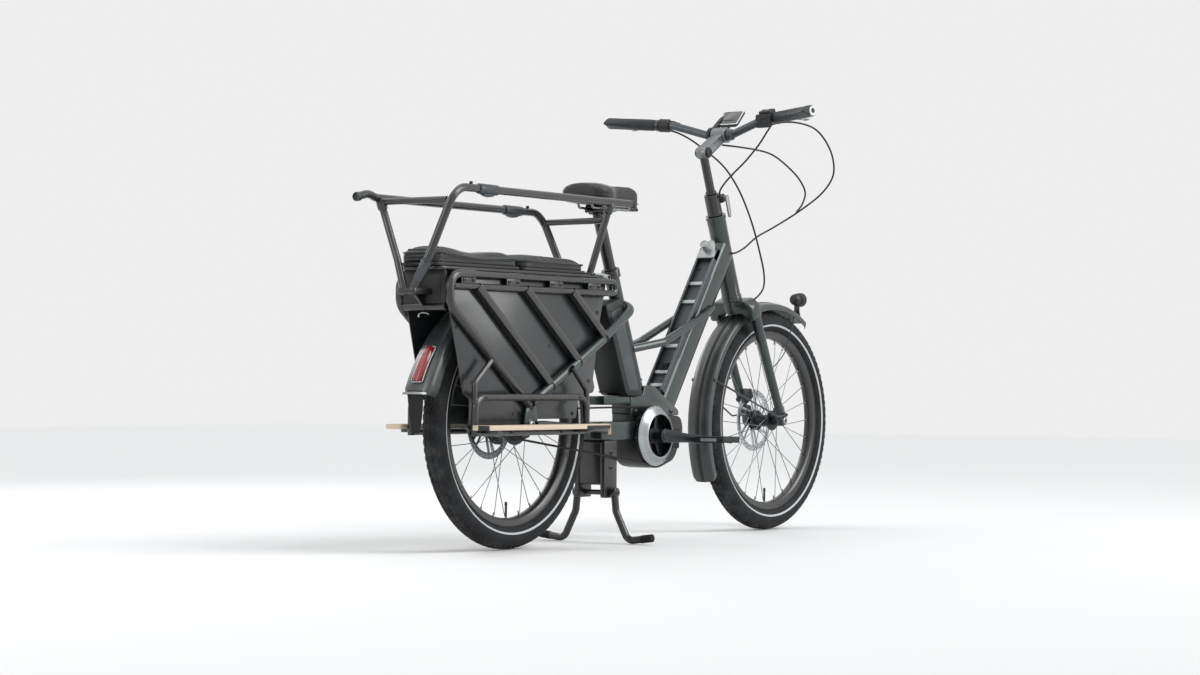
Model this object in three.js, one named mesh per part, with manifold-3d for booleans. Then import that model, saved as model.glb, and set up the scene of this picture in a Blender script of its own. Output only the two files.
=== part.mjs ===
// A longtail cargo bicycle with an electric mid motor, a passenger deck over the rear wheel,
// foot boards and a centre stand. Lengths are in millimetres. X points forwards, Y to the
// rider's left and Z up. The ground is at Z = 0, and X and Y are zero at the middle of the
// whole bicycle once the last group has moved it there.

import * as THREE from "three";
import { mergeVertices } from "three/addons/utils/BufferGeometryUtils.js";
import Module from "manifold-3d";

const wasm = await Module();
wasm.setup();

// General sizes
const clearance = 0.3; // gap between two pieces that meet
const overrun = 3; // how far a cut runs past the surface that it opens
const bite = 2; // how deep a welded piece goes into the one that carries it
const cornerTolerance = 1e-4; // corners closer than this are one corner
const bendStep = THREE.MathUtils.degToRad(26); // turn between two rings of a bent tube
const fullTurn = 2 * Math.PI;
const tubeSides = 8;
const thickSides = 14; // for the head tube, the seat tube and their like
const barSides = 8;

// Wheels, measured from their own axle
const wheelbase = 1233;
const wheelRadius = 318;
const tyreWidth = 62;
const treadFlat = 18;
const beadRadius = 260;
const beadWidth = 30;
const rimDepth = 22;
const rimTopWidth = 34;
const rimInnerWidth = 16;
const wheelSegments = 36;
const spokeCount = 28;
const spokeRadius = 1.2;
const spokeOffset = 1.6; // from the flange's middle, so that crossing spokes pass each other
const spokeSides = 3;
const spokeSweep = THREE.MathUtils.degToRad(48);
const flangeThickness = 6;
const flangeEdge = 4; // from the spoke holes to the edge of the flange
const axleRadius = 6;
const axleHeadRadius = 10;
const axleHeadThickness = 5;
const frontHubRadius = 17;
const frontHubEndRadius = 13;
const frontFlangeRadius = 29;
const frontFlangeSpread = 26;
const frontHubWidth = 90;
const rearHubRadius = 42;
const rearHubEndRadius = 16;
const rearFlangeRadius = 52;
const rearFlangeSpread = 27;
const rearHubWidth = 144;
const hubSegments = 18;
const rotorRadius = 90;
const rotorBand = 17;
const rotorCarrierRadius = 30;
const rotorArmCount = 6;
const rotorArmWidth = 9;
const rotorThickness = 2;
const frontRotorOffset = 38;
const rearRotorOffset = 56;

// Steering: head tube, fork, stem and handlebar. Heights run up the steering axis from the
// foot of the square dropped on it from the front axle; reaches are square to it, forwards.
const headAngle = THREE.MathUtils.degToRad(69.5);
const forkOffset = 45;
const crownBottom = 350;
const crownHeight = 38;
const crownDepth = 46;
const crownWidth = 150;
const crownShoulder = 22;
const forkLegSpread = 60;
const forkLegRadius = 15;
const forkLegTopReach = 12;
const dropoutHeight = 46;
const dropoutDepth = 30;
const steererRadius = 17;
const headsetHeight = 12;
const headsetRadius = 29;
const headTubeHeight = 229;
const headTubeRadius = 27;
const headTubeBore = 21;
const collarHeight = 62;
const collarRadius = 23;
const collarEarReach = 34;
const collarEarWidth = 46;
const collarEarHeight = 24;
const collarSlot = 2;
const collarLeverLength = 58;
const collarLeverWidth = 15;
const collarLeverThickness = 7;
const postRadius = 13.6;
const postInsertion = 130; // how much of the post stands inside the steerer and the collar
const postTravel = 70;
const kneeAboveCollar = 122.4;
const kneeRadius = 22;
const kneeWidth = 44;
const stemReach = 106;
const stemRise = 21;
const stemWidth = 42;
const stemDepth = 30;
const stemClampRadius = 25;
const stemClampWidth = 52;
const barCentreRadius = 15.9;
const barRadius = 12;
const barCentreWidth = 76;
const barRise = 38;
const barSweep = 30;
const barBendSpread = 150;
const gripInnerSpread = 203;
const gripEndSpread = 347;
const gripEndRise = 66;
const gripEndSweep = 46;
const gripRadius = 17;
const gripWingReach = 25;
const gripWingRise = 11;
const gripEndCap = 8;

// Brake levers, display and switch, placed along the handlebar
const brakeBodySpread = 176;
const brakeBodyLength = 46;
const brakeBodyHeight = 26;
const brakeClampRadius = 19;
const brakeLeverLength = 108;
const brakeLeverWidth = 15;
const brakeLeverThickness = 9;
const brakeLeverReach = 44;
const brakeLeverDrop = 12;
const brakePinRadius = 4;
const displayWidth = 70;
const displayLength = 60;
const displayThickness = 9;
const displayReach = 173;
const displayHeight = 877;
const displayTilt = THREE.MathUtils.degToRad(45);
const displayArmWidth = 14;
const displayArmThickness = 8;
const switchSpread = 176;
const switchWidth = 34;
const switchHeight = 12;
const switchLength = 40;
const switchCaseWidth = 48;
const switchCaseHeight = 38;
const switchCaseDepth = 15;
const switchCaseDrop = 7; // from the handlebar's axis down to the case's middle
const buttonRadius = 6;
const buttonHeight = 3;
const buttonTravel = 1.5;

// Front fender, lamp and brake, measured from the front axle
const fenderRoomOverTyre = 27;
const fenderRadius = wheelRadius + fenderRoomOverTyre;
const fenderThickness = 3;
const frontFenderHalfWidth = 36;
const frontFenderSkirt = 16;
const frontFenderFlare = 22;
const frontFenderTip = THREE.MathUtils.degToRad(57);
const frontFenderTail = THREE.MathUtils.degToRad(208);
const fenderCrown = 6;
const fenderStayRadius = 2.5;
const fenderStayAngle = THREE.MathUtils.degToRad(160);
const lampRadius = 21;
const lampLength = 44;
const lampReach = 178;
const lampAboveFender = 12;
const lampHeight = fenderRadius + lampAboveFender;
const lampBracketWidth = 18;
const lampBracketThickness = 4;
const caliperLength = 46;
const caliperWidth = 30;
const caliperInnerWidth = 11; // from the disc to the face beside the spokes
const caliperHeight = 30;
const caliperSlot = 4;
const frontCaliperAngle = THREE.MathUtils.degToRad(121);
const rearCaliperAngle = THREE.MathUtils.degToRad(56);
const caliperMountWidth = 12;

// Main frame, measured from the rear axle and the ground
const crankAxisX = 580;
const crankAxisZ = 283;
const seatAngle = THREE.MathUtils.degToRad(69);
const seatTubeAhead = 43; // the seat tube's axis passes this far ahead of the crank axis
const seatTubeRadius = 20;
const seatTubeBottom = 70;
const seatTubeTop = 470;
const seatTubeBoreDepth = 260;
const downTubeFootX = 663;
const downTubeFootZ = 403;
const downTubeAngle = THREE.MathUtils.degToRad(55.5);
const downTubeLength = 520;
const downTubeHalfWidth = 31;
const downTubeDepth = 78;
const downTubeBevelDepth = 52;
const downTubeKeelHalfWidth = 15;
const topTubeRadius = 11;
const topTubeSpread = 42.5;
const topTubeElbowX = 852;
const topTubeFrontX = 900;
const topTubeFrontZ = 634;
const topTubeBendX = 652;
const topTubeBendZ = 538;
const topTubeRearZ = 517;
const topTubeBend = 60;
const stayRadius = 12;
const staySpread = 79;
const stayTopZ = 640;
const stayShoulderX = 470;
const stayShoulderSpread = 61;
const stayShoulderZ = 624;
const stayElbowX = 300;
const stayElbowZ = 533;
const stayFootZ = 373;
const stayBend = 70;
const stayBridgeX = 340;
const stayBridgeRadius = 8;
const chainStayRadius = 10;
const chainStayFrontX = 390;
const chainStayFrontSpread = 38;
const chainStayBendX = 335;
const chainStayBendSpread = 49;
const chainStayZ = 303;
const chainStayRearX = 60;
const rearDropoutInner = 72;
const rearDropoutThickness = 8;
const rearDropoutHeight = 66;
const rearDropoutLength = 52;
const beamRearX = 385;
const beamHalfWidth = 30;
const beamBottomZ = 366;
const beamTopZ = 390;
const cradleHalfWidth = 32;
const cradleBottomZ = 336;
const cradleRearX = 506;
const cradleFrontX = 738;
const columnLength = 18;
const yokeRearX = 356;
const yokeHalfWidth = 44;
const yokeBottomZ = 272;
const yokeTopZ = 322;
const frameEdge = 5;

// Motor, cranks, pedals and belt drive
const motorHalfWidth = 44;
const motorBottomZ = 192;
const motorFrontX = 745;
const motorEdge = 6;
const spindleRadius = 11;
const crankLength = 164;
const crankDrop = THREE.MathUtils.degToRad(4.2);
const crankArmInner = 84;
const crankArmThickness = 13;
const crankArmRootRadius = 19;
const crankArmTipRadius = 13;
const ringRadius = 76;
const ringInner = 52;
const ringPlane = 56;
const ringThickness = 11;
const ringArmCount = 5;
const ringArmWidth = 14;
const ringHubRadius = 20;
const guardRadius = 82;
const guardInner = 58;
const guardInnerPlane = 63;
const guardOuterPlane = 80;
const guardWall = 3;
const sprocketRadius = 36;
const sprocketThickness = 11;
const beltThickness = 5;
const beltWidth = 10;
const beltSteps = 10;
const pedalSpindleRadius = 4.5;
const pedalLength = 96;
const pedalWidth = 84;
const pedalThickness = 18;
const pedalGap = 9;
const pedalWindowShare = 0.3;
const pedalCoreRadius = 10;

// Seat post and saddle
const seatClampHeight = 26;
const seatClampRadius = 25;
const seatLeverLength = 52;
const seatLeverWidth = 14;
const seatLeverThickness = 6;
const seatPostRadius = 15.9;
const seatPostBottom = 290;
const seatPostTop = 640;
const saddleHeadLength = 44;
const saddleHeadWidth = 56;
const saddleHeadHeight = 22;
const saddleRearX = 302;
const saddleFrontX = 570;
const saddleHalfWidth = 82;
const saddleNoseHalfWidth = 20;
const saddleTopZ = 957;
const saddleThickness = 46;
const saddleNoseDrop = 32;
const saddleRailRadius = 3.5;
const saddleRailSpread = 22;
const saddleRailRearX = 340;
const saddleRailFrontX = 500;
const saddleRailZ = 890;

// Battery behind the seat tube and dock on the down tube
const batteryHalfWidth = 45;
const batteryDepth = 80;
const batteryHeight = 262;
const batteryFootX = 469;
const batteryCorner = 10;
const dockLength = 489;
const dockHalfWidth = 30;
const dockThickness = 12;
const dockRailWidth = 7;
const dockRailHeight = 14;
const dockRungShares = [0.03, 0.12, 0.3, 0.38, 0.5, 0.74];
const dockRungWidth = 12;
const dockRungHeight = 8;
const dockLockRadius = 13;
const dockLockHeight = 30;

// Rear rack, deck, pads and passenger rails
const rackSpread = 79;
const rackRearX = -330;
const rackFrontX = 365;
const rackTopZ = 691;
const rackLowerZ = 661;
const rackBarRadius = 8;
const rackRearTubeRadius = 11;
const rackRearBend = 45;
const rackElbowZ = 613;
const rackFootX = -9;
const rackDiagonalPitch = 197;
const rackDiagonalFirstX = -224;
const rackDiagonalCount = 3;
const rackDiagonalAngle = THREE.MathUtils.degToRad(38.5);
const rackBlockLength = 56;
const rackBlockThickness = 7;
const rackBlockShares = [0.1, 0.36, 0.62, 0.86];
const sideGuardInner = 65; // the flat wheel guard behind each rack side
const sideGuardThickness = 3.8;
const sideGuardTopZ = 686;
const sideGuardBottomZ = 318;
const sideGuardTopRearX = -316;
const sideGuardTopFrontX = 338;
const sideGuardStepZ = 600;
const sideGuardWaistZ = 398;
const sideGuardWaistRearX = -265;
const sideGuardWaistFrontX = 275;
const sideGuardCorner = 12;
const deckHalfWidth = 64;
const deckRearX = -352;
const deckFrontX = 348;
const deckThickness = 10;
const deckPanelBottomZ = 600;
const deckPanelThickness = 8;
const deckCrossbarRadius = 9;
const deckCrossCount = 4;
const deckCrossRadius = 6;
const deckBracketRearX = -406;
const deckBracketHalfWidth = 27;
const deckBracketHeight = 16;
const deckBracketZ = 654;
const deckFenderTabLength = 40;
const padHalfWidth = 68;
const padRearX = -364;
const padSplitX = -18;
const padFrontX = 263;
const padSplitGap = 4;
const padHeight = 42;
const padCrown = 7;
const padDraw = 4;
const padCorner = 26;
const padFrontDrop = 12;
const padDip = 8; // the hollow in the rear pad's top
const padDipX = -190;
const padDipLength = 75;
const padChannelDepth = 4;
const padChannelWidth = 9;
const padRearChannelShares = [0.05, 0.1, 0.15];
const railRadius = 11;
const railCentreX = -30;
const railRightTopZ = 899;
const railLeftTopZ = 876; // the left rail stands lower than the right one
const railRearSpread = 114;
const railFrontSpread = 101;
const railCapU = 443;
const railBendU = -300;
const railBend = 60;
const railLegU = -337;
const railLegDrop = 24; // from a rail's top to the corner above its outer leg
const railFootU = -345;
const railFootSpread = 52;
const railWeldU = 338;
const railWeldSpread = 103;
const railWeldFootU = 316;
const railRightElbowX = -394;
const railRightElbowSpread = 61;
const railLeftElbowX = -384;
const railLeftElbowSpread = 38;
const railElbowZ = 722;
const railShelfX = -392;
const railShelfSpread = 16;
const railFrontCrossZ = 851;
const railRearCrossZ = 867;
const railCrossRadius = 9;
const railKnobRadius = 7;
const railKnobHeight = 9;
const railKnobU = -262;
const railFlange = 17;
const railFlangeThickness = 5;

// Foot boards and their hoops
const boardInner = 111;
const boardOuter = 165;
const boardRearX = -285;
const boardFrontX = 228;
const boardTopZ = 320;
const boardThickness = 13;
const boardCorner = 12;
const hoopRadius = 9;
const hoopSpread = 101;
const hoopRearX = -257;
const hoopFrontX = 207;
const hoopTopZ = 388;
const hoopCorner = 34;
const hoopFootZ = 292;
const hoopKeeperZ = 300;
const hoopStrutX = 150;
const hoopBraceX = 212;
const hoopBraceElbowZ = 405;
const boardBearerWidth = 26;
const boardBearerThickness = 8;
const boardBearerShares = [0.12, 0.86];
const hoopTieRadius = 7;

// Rear fender, flap and tail light, measured from the rear axle
const rearFenderRadius = 350;
const rearFenderHalfWidth = 40;
const rearFenderSkirt = 18;
const rearFenderFlare = 28;
const rearFenderFront = THREE.MathUtils.degToRad(14);
const rearFenderRear = THREE.MathUtils.degToRad(168);
const rearFenderFlareStart = THREE.MathUtils.degToRad(118);
const fenderSteps = 16;
const flapLength = 96;
const flapThickness = 4;
const flapHalfWidth = 30;
const tailLightStart = THREE.MathUtils.degToRad(147.5);
const tailLightEnd = THREE.MathUtils.degToRad(163.5);
const tailLightHalfWidth = 19;
const tailLightDepth = 13;
const tailLightSteps = 5;

// Centre stand
const standBlockRearX = 362;
const standBlockLength = 58;
const standBlockHalfWidth = 49;
const standBlockBottomZ = 120;
const standPivotZ = 134;
const standPivotX = 392;
const standPinRadius = 7;
const standSlotHalfWidth = 34;
const standSlotHeight = 34;
const standLegRadius = 10;
const standKneeSpread = 66;
const standKneeZ = 84;
const standHeelSpread = 105;
const standToeSpread = 183;
const standToeLift = 8;
const standHeelDrop = 2.2; // the heel's corner is this much lower than its rounded bend
const standBend = 26;

// Cables and hoses
const hoseRadius = 2.6;
const hoseSides = 8;

// Where the whole bicycle starts and ends, which sets its middle
const frontReach = wheelbase + wheelRadius;
const rearReach = railCentreX - railCapU;

// Colours and finishes
function finish(color, roughness, metalness) {
  return new THREE.MeshStandardMaterial({ color, roughness, metalness });
}
const framePaint = finish(0x2c3a3a, 0.38, 0.35);
const blackPaint = finish(0x16181a, 0.45, 0.2);
const blackPlastic = finish(0x1b1c1e, 0.6, 0.0);
const rubber = finish(0x141414, 0.85, 0.0);
const tyreRubber = finish(0x1a1b1d, 0.9, 0.0);
const paleMetal = finish(0xb9bcbd, 0.35, 0.8);
const darkMetal = finish(0x3c3f42, 0.35, 0.8);
const brightMetal = finish(0xd9dbdc, 0.25, 0.95);
const plywood = finish(0xcbb193, 0.6, 0.0);
const padFabric = finish(0x17191c, 0.8, 0.0);
const redLens = finish(0x8c0b12, 0.2, 0.0);
const clearLens = finish(0xe6e8ea, 0.15, 0.0);
const batteryShell = finish(0x24272a, 0.45, 0.1);

// Basic solids

// A solid for joining and cutting, from any closed geometry, with its faces pointing out.
function solid(geometry) {
  const bare = geometry.clone();
  bare.deleteAttribute("normal");
  bare.deleteAttribute("uv");
  const merged = mergeVertices(bare, cornerTolerance);
  const corners = [];
  const index = merged.index.array;
  for (let i = 0; i < index.length; i += 3) {
    const [a, b, c] = [index[i], index[i + 1], index[i + 2]];
    if (a !== b && b !== c && c !== a) corners.push(a, b, c);
  }
  const build = (triangles) =>
    new wasm.Manifold(
      new wasm.Mesh({
        numProp: 3,
        vertProperties: merged.attributes.position.array,
        triVerts: new Uint32Array(triangles),
      }),
    );
  const made = build(corners);
  if (made.volume() > 0) return made;
  for (let i = 0; i < corners.length; i += 3) {
    [corners[i], corners[i + 1]] = [corners[i + 1], corners[i]];
  }
  return build(corners);
}

function geometryOf(made) {
  const mesh = made.getMesh();
  const places = new Float32Array(mesh.numVert * 3);
  for (let i = 0; i < mesh.numVert; i++) {
    places.set(mesh.vertProperties.subarray(i * mesh.numProp, i * mesh.numProp + 3), i * 3);
  }
  const geometry = new THREE.BufferGeometry();
  geometry.setAttribute("position", new THREE.BufferAttribute(places, 3));
  geometry.setIndex(new THREE.BufferAttribute(mesh.triVerts, 1));
  return geometry;
}

function join(...pieces) {
  return pieces.reduce((whole, piece) => whole.add(piece));
}

function cut(whole, ...tools) {
  return tools.reduce((left, tool) => left.subtract(tool), whole);
}

function point(x, y, z) {
  return new THREE.Vector3(x, y, z);
}

function box(lowX, highX, lowY, highY, lowZ, highZ) {
  const geometry = new THREE.BoxGeometry(highX - lowX, highY - lowY, highZ - lowZ);
  geometry.translate((lowX + highX) / 2, (lowY + highY) / 2, (lowZ + highZ) / 2);
  return solid(geometry);
}

// A straight round bar from one point to another.
function bar(from, to, radius, sides = barSides, endRadius = radius) {
  const along = to.clone().sub(from);
  const geometry = new THREE.CylinderGeometry(endRadius, radius, along.length(), sides);
  const turn = new THREE.Quaternion().setFromUnitVectors(point(0, 1, 0), along.clone().normalize());
  geometry.applyQuaternion(turn);
  geometry.translate(...from.clone().add(to).divideScalar(2).toArray());
  return solid(geometry);
}

// A path through chosen stations, each with its own direction, so that a tube gets a ring
// only where it turns.
class StationPath extends THREE.Curve {
  constructor(stations) {
    super();
    this.stations = stations;
  }

  station(share) {
    return this.stations[Math.round(share * (this.stations.length - 1))];
  }

  getPoint(share, target = point(0, 0, 0)) {
    return target.copy(this.station(share).place);
  }

  getPointAt(share, target) {
    return this.getPoint(share, target);
  }

  getTangent(share, target = point(0, 0, 0)) {
    return target.copy(this.station(share).heading);
  }

  getTangentAt(share, target) {
    return this.getTangent(share, target);
  }
}

// The stations of a route with straight runs and round bends.
function bentStations(corners, bendRadius) {
  const stations = [];
  const last = corners.length - 1;
  const headings = corners.slice(1).map((corner, i) => corner.clone().sub(corners[i]).normalize());
  stations.push({ place: corners[0], heading: headings[0] });
  for (let i = 1; i < last; i++) {
    const arriving = headings[i - 1];
    const leaving = headings[i];
    const turn = arriving.angleTo(leaving);
    if (turn < cornerTolerance) continue;
    const room = Math.min(corners[i].distanceTo(corners[i - 1]), corners[i].distanceTo(corners[i + 1]));
    const setback = Math.min(bendRadius * Math.tan(turn / 2), room * 0.49);
    const radius = setback / Math.tan(turn / 2);
    const across = leaving.clone().sub(arriving.clone().multiplyScalar(Math.cos(turn))).normalize();
    const start = corners[i].clone().addScaledVector(arriving, -setback);
    const steps = Math.max(2, Math.ceil(turn / bendStep));
    for (let k = 0; k <= steps; k++) {
      const angle = (turn * k) / steps;
      const place = start.clone();
      place.addScaledVector(arriving, radius * Math.sin(angle));
      place.addScaledVector(across, radius * (1 - Math.cos(angle)));
      const heading = arriving.clone().multiplyScalar(Math.cos(angle));
      heading.addScaledVector(across, Math.sin(angle));
      stations.push({ place, heading });
    }
  }
  stations.push({ place: corners[last], heading: headings[last - 1] });
  return stations;
}

function roundShape(radius, sides) {
  const outline = [];
  for (let i = 0; i < sides; i++) {
    const angle = (fullTurn * i) / sides;
    outline.push(new THREE.Vector2(radius * Math.cos(angle), radius * Math.sin(angle)));
  }
  return new THREE.Shape(outline);
}

function sweep(shape, stations) {
  const geometry = new THREE.ExtrudeGeometry(shape, {
    steps: stations.length - 1,
    extrudePath: new StationPath(stations),
  });
  return solid(geometry);
}

function bentTube(corners, bendRadius, radius, sides = tubeSides) {
  return sweep(roundShape(radius, sides), bentStations(corners, bendRadius));
}

// A tube on a smooth curve through the points of a cable's route.
function cord(points, radius, sides, steps) {
  const curve = new THREE.CatmullRomCurve3(points, false, "centripetal");
  const geometry = new THREE.ExtrudeGeometry(roundShape(radius, sides), { steps, extrudePath: curve });
  return solid(geometry);
}

// An outline in the X-Z plane with its corners rounded.
function roundedOutline(corners, radius) {
  const shape = new THREE.Shape();
  corners.forEach((corner, i) => {
    const before = corners[(i + corners.length - 1) % corners.length];
    const after = corners[(i + 1) % corners.length];
    const arriving = new THREE.Vector2(...before).sub(new THREE.Vector2(...corner));
    const leaving = new THREE.Vector2(...after).sub(new THREE.Vector2(...corner));
    const setback = Math.min(radius, arriving.length() / 2.1, leaving.length() / 2.1);
    const start = arriving.setLength(setback).add(new THREE.Vector2(...corner));
    const end = leaving.setLength(setback).add(new THREE.Vector2(...corner));
    if (i === 0) shape.moveTo(start.x, start.y);
    else shape.lineTo(start.x, start.y);
    shape.quadraticCurveTo(corner[0], corner[1], end.x, end.y);
  });
  shape.closePath();
  return shape;
}

// A plate whose outline lies in the X-Z plane, from one Y to another, with small bevels.
function plate(shape, lowY, highY, bevel = 0, curveSegments = 3) {
  const geometry = new THREE.ExtrudeGeometry(shape, {
    depth: highY - lowY - 2 * bevel,
    bevelEnabled: bevel > 0,
    bevelSize: bevel,
    bevelOffset: -bevel,
    bevelThickness: bevel,
    bevelSegments: 1,
    curveSegments,
  });
  geometry.rotateX(Math.PI / 2);
  geometry.translate(0, highY - bevel, 0);
  return solid(geometry);
}

// A plate whose outline lies in the X-Y plane, from one height to another.
function slab(shape, lowZ, highZ, bevel = 0, curveSegments = 3) {
  const geometry = new THREE.ExtrudeGeometry(shape, {
    depth: highZ - lowZ - 2 * bevel,
    bevelEnabled: bevel > 0,
    bevelSize: bevel,
    bevelOffset: -bevel,
    bevelThickness: bevel,
    bevelSegments: 1,
    curveSegments,
  });
  geometry.translate(0, 0, lowZ + bevel);
  return solid(geometry);
}

// A body turned about the Y axis, from pairs of radius and Y.
function turned(profile, segments, x = 0, z = 0) {
  const points = profile.map(([radius, y]) => new THREE.Vector2(radius, y));
  const geometry = new THREE.LatheGeometry(points, segments);
  geometry.translate(x, 0, z);
  return solid(geometry);
}

// A pierced round body: its profile closes on itself.
function turnedRing(profile, segments, x = 0, z = 0) {
  return turned([...profile, profile[0]], segments, x, z);
}

// A body through a row of rings that have the same number of corners.
function loft(rings, capOutline) {
  const count = rings[0].length;
  const places = rings.flat().flatMap((corner) => corner.toArray());
  const index = [];
  for (let r = 0; r + 1 < rings.length; r++) {
    for (let i = 0; i < count; i++) {
      const next = (i + 1) % count;
      const [a, b] = [r * count + i, r * count + next];
      const [c, d] = [a + count, b + count];
      index.push(a, b, d, a, d, c);
    }
  }
  const last = (rings.length - 1) * count;
  const clockwise = THREE.ShapeUtils.isClockWise(capOutline);
  THREE.ShapeUtils.triangulateShape(capOutline, []).forEach(([a, b, c]) => {
    const [second, third] = clockwise ? [c, b] : [b, c];
    index.push(a, third, second);
    index.push(last + a, last + second, last + third);
  });
  const geometry = new THREE.BufferGeometry();
  geometry.setAttribute("position", new THREE.Float32BufferAttribute(places, 3));
  geometry.setIndex(index);
  return solid(geometry);
}

function mirrored(geometry) {
  return geometry.clone().scale(1, -1, 1);
}

function mirroredSolid(piece) {
  return solid(mirrored(geometryOf(piece)));
}

// The radius of a round hole whose flat sides all stay clear of a pin of the given radius.
function holeFor(radius, sides = barSides) {
  return (radius + clearance) / Math.cos(Math.PI / sides);
}

function axialPin(radius, lowY, highY, x = 0, z = 0, sides = barSides) {
  return bar(point(x, lowY, z), point(x, highY, z), radius, sides);
}

// Frames of reference

function alongHead(height, reach = 0, y = 0) {
  return point(reach, y, height);
}

// A point of the seat tube's own frame, in the bicycle's frame.
function alongSeat(height, ahead = 0, y = 0) {
  const x = crankAxisX + seatTubeAhead - height * Math.cos(seatAngle) + ahead * Math.sin(seatAngle);
  const z = crankAxisZ + height * Math.sin(seatAngle) + ahead * Math.cos(seatAngle);
  return point(x, y, z);
}

function seatAxisX(z) {
  return crankAxisX + seatTubeAhead - (z - crankAxisZ) / Math.tan(seatAngle);
}

// A point of the down tube's own frame: along it from the dock's foot, and below the dock.
function alongDownTube(along, below = 0, y = 0) {
  const x = downTubeFootX + along * Math.cos(downTubeAngle) + below * Math.sin(downTubeAngle);
  const z = downTubeFootZ + along * Math.sin(downTubeAngle) - below * Math.cos(downTubeAngle);
  return point(x, y, z);
}

const steeringFoot = point(
  wheelbase - forkOffset * Math.sin(headAngle),
  0,
  wheelRadius - forkOffset * Math.cos(headAngle),
);
const steeringLean = Math.PI / 2 - headAngle;

// A point of the bicycle's frame, in the steering's own frame.
function toSteering(place) {
  return place.clone().sub(steeringFoot).applyAxisAngle(point(0, 1, 0), steeringLean);
}

// Wheels

function tyre() {
  const sectionRadius = tyreWidth / 2;
  const centre = wheelRadius - sectionRadius;
  const start = Math.asin(treadFlat / tyreWidth);
  const end = Math.PI - Math.asin(beadWidth / tyreWidth);
  const steps = 3;
  const half = [];
  for (let i = 0; i <= steps; i++) {
    const angle = start + ((end - start) * i) / steps;
    const radius = i === 0 ? wheelRadius : centre + sectionRadius * Math.cos(angle);
    half.push([Math.max(radius, beadRadius), sectionRadius * Math.sin(angle)]);
  }
  half[steps] = [beadRadius, beadWidth / 2];
  const otherHalf = half.map(([radius, y]) => [radius, -y]).reverse();
  return turnedRing([...half, ...otherHalf], wheelSegments);
}

function rim() {
  const top = beadRadius - clearance;
  return turnedRing(
    [
      [top, rimTopWidth / 2],
      [top - rimDepth, rimInnerWidth / 2],
      [top - rimDepth, -rimInnerWidth / 2],
      [top, -rimTopWidth / 2],
    ],
    wheelSegments,
  );
}

// One half of the spokes leaves each flange, leaning forwards and backwards in turn.
function spokes(flangeRadius, flangeSpread) {
  const rimInner = beadRadius - clearance - rimDepth;
  const step = fullTurn / spokeCount;
  const bars = [];
  for (let i = 0; i < spokeCount; i++) {
    const side = i % 2 ? 1 : -1;
    const lean = i % 4 < 2 ? 1 : -1;
    const rimAngle = step * i;
    const hubAngle = rimAngle + lean * spokeSweep;
    const holeRadius = flangeRadius - flangeEdge;
    const away = side * flangeSpread + lean * spokeOffset;
    const from = point(holeRadius * Math.cos(hubAngle), away, holeRadius * Math.sin(hubAngle));
    const reach = rimInner * Math.cos(Math.PI / wheelSegments) - clearance - spokeRadius / 2;
    const offset = (side * rimInnerWidth) / 4 + lean * spokeOffset;
    const to = point(reach * Math.cos(rimAngle), offset, reach * Math.sin(rimAngle));
    bars.push(bar(from, to, spokeRadius, spokeSides));
  }
  return bars;
}

function spokedHub(profile, flangeRadius, flangeSpread) {
  return join(turnedRing(profile, hubSegments), ...spokes(flangeRadius, flangeSpread));
}

function frontHub() {
  const end = frontHubWidth / 2 - clearance;
  const seat = frontRotorOffset - rotorThickness / 2 - clearance;
  const flangeInner = frontFlangeSpread - flangeThickness / 2;
  const flangeOuter = frontFlangeSpread + flangeThickness / 2;
  const bore = holeFor(axleRadius, hubSegments);
  return spokedHub(
    [
      [bore, -end],
      [frontHubEndRadius, -end],
      [frontHubEndRadius, -flangeOuter],
      [frontFlangeRadius, -flangeOuter],
      [frontFlangeRadius, -flangeInner],
      [frontHubRadius, -flangeInner],
      [frontHubRadius, flangeInner],
      [frontFlangeRadius, flangeInner],
      [frontFlangeRadius, flangeOuter],
      [frontHubRadius, flangeOuter],
      [frontHubRadius, seat],
      [frontHubEndRadius, seat],
      [frontHubEndRadius, end],
      [bore, end],
    ],
    frontFlangeRadius,
    frontFlangeSpread,
  );
}

function rearHub() {
  const end = rearHubWidth / 2 - clearance;
  const driver = ringPlane - sprocketThickness / 2 - clearance;
  const seat = rearRotorOffset - rotorThickness / 2 - clearance;
  const flangeInner = rearFlangeSpread - flangeThickness / 2;
  const flangeOuter = rearFlangeSpread + flangeThickness / 2;
  const bore = holeFor(axleRadius, hubSegments);
  return spokedHub(
    [
      [bore, -end],
      [rearHubEndRadius, -end],
      [rearHubEndRadius, -driver],
      [rearHubRadius * 0.8, -driver],
      [rearHubRadius, -flangeOuter],
      [rearFlangeRadius, -flangeOuter],
      [rearFlangeRadius, -flangeInner],
      [rearHubRadius, -flangeInner],
      [rearHubRadius, flangeInner],
      [rearFlangeRadius, flangeInner],
      [rearFlangeRadius, flangeOuter],
      [rotorCarrierRadius, flangeOuter],
      [rotorCarrierRadius * 0.8, seat],
      [rearHubEndRadius, seat],
      [rearHubEndRadius, end],
      [bore, end],
    ],
    rearFlangeRadius,
    rearFlangeSpread,
  );
}

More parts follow.
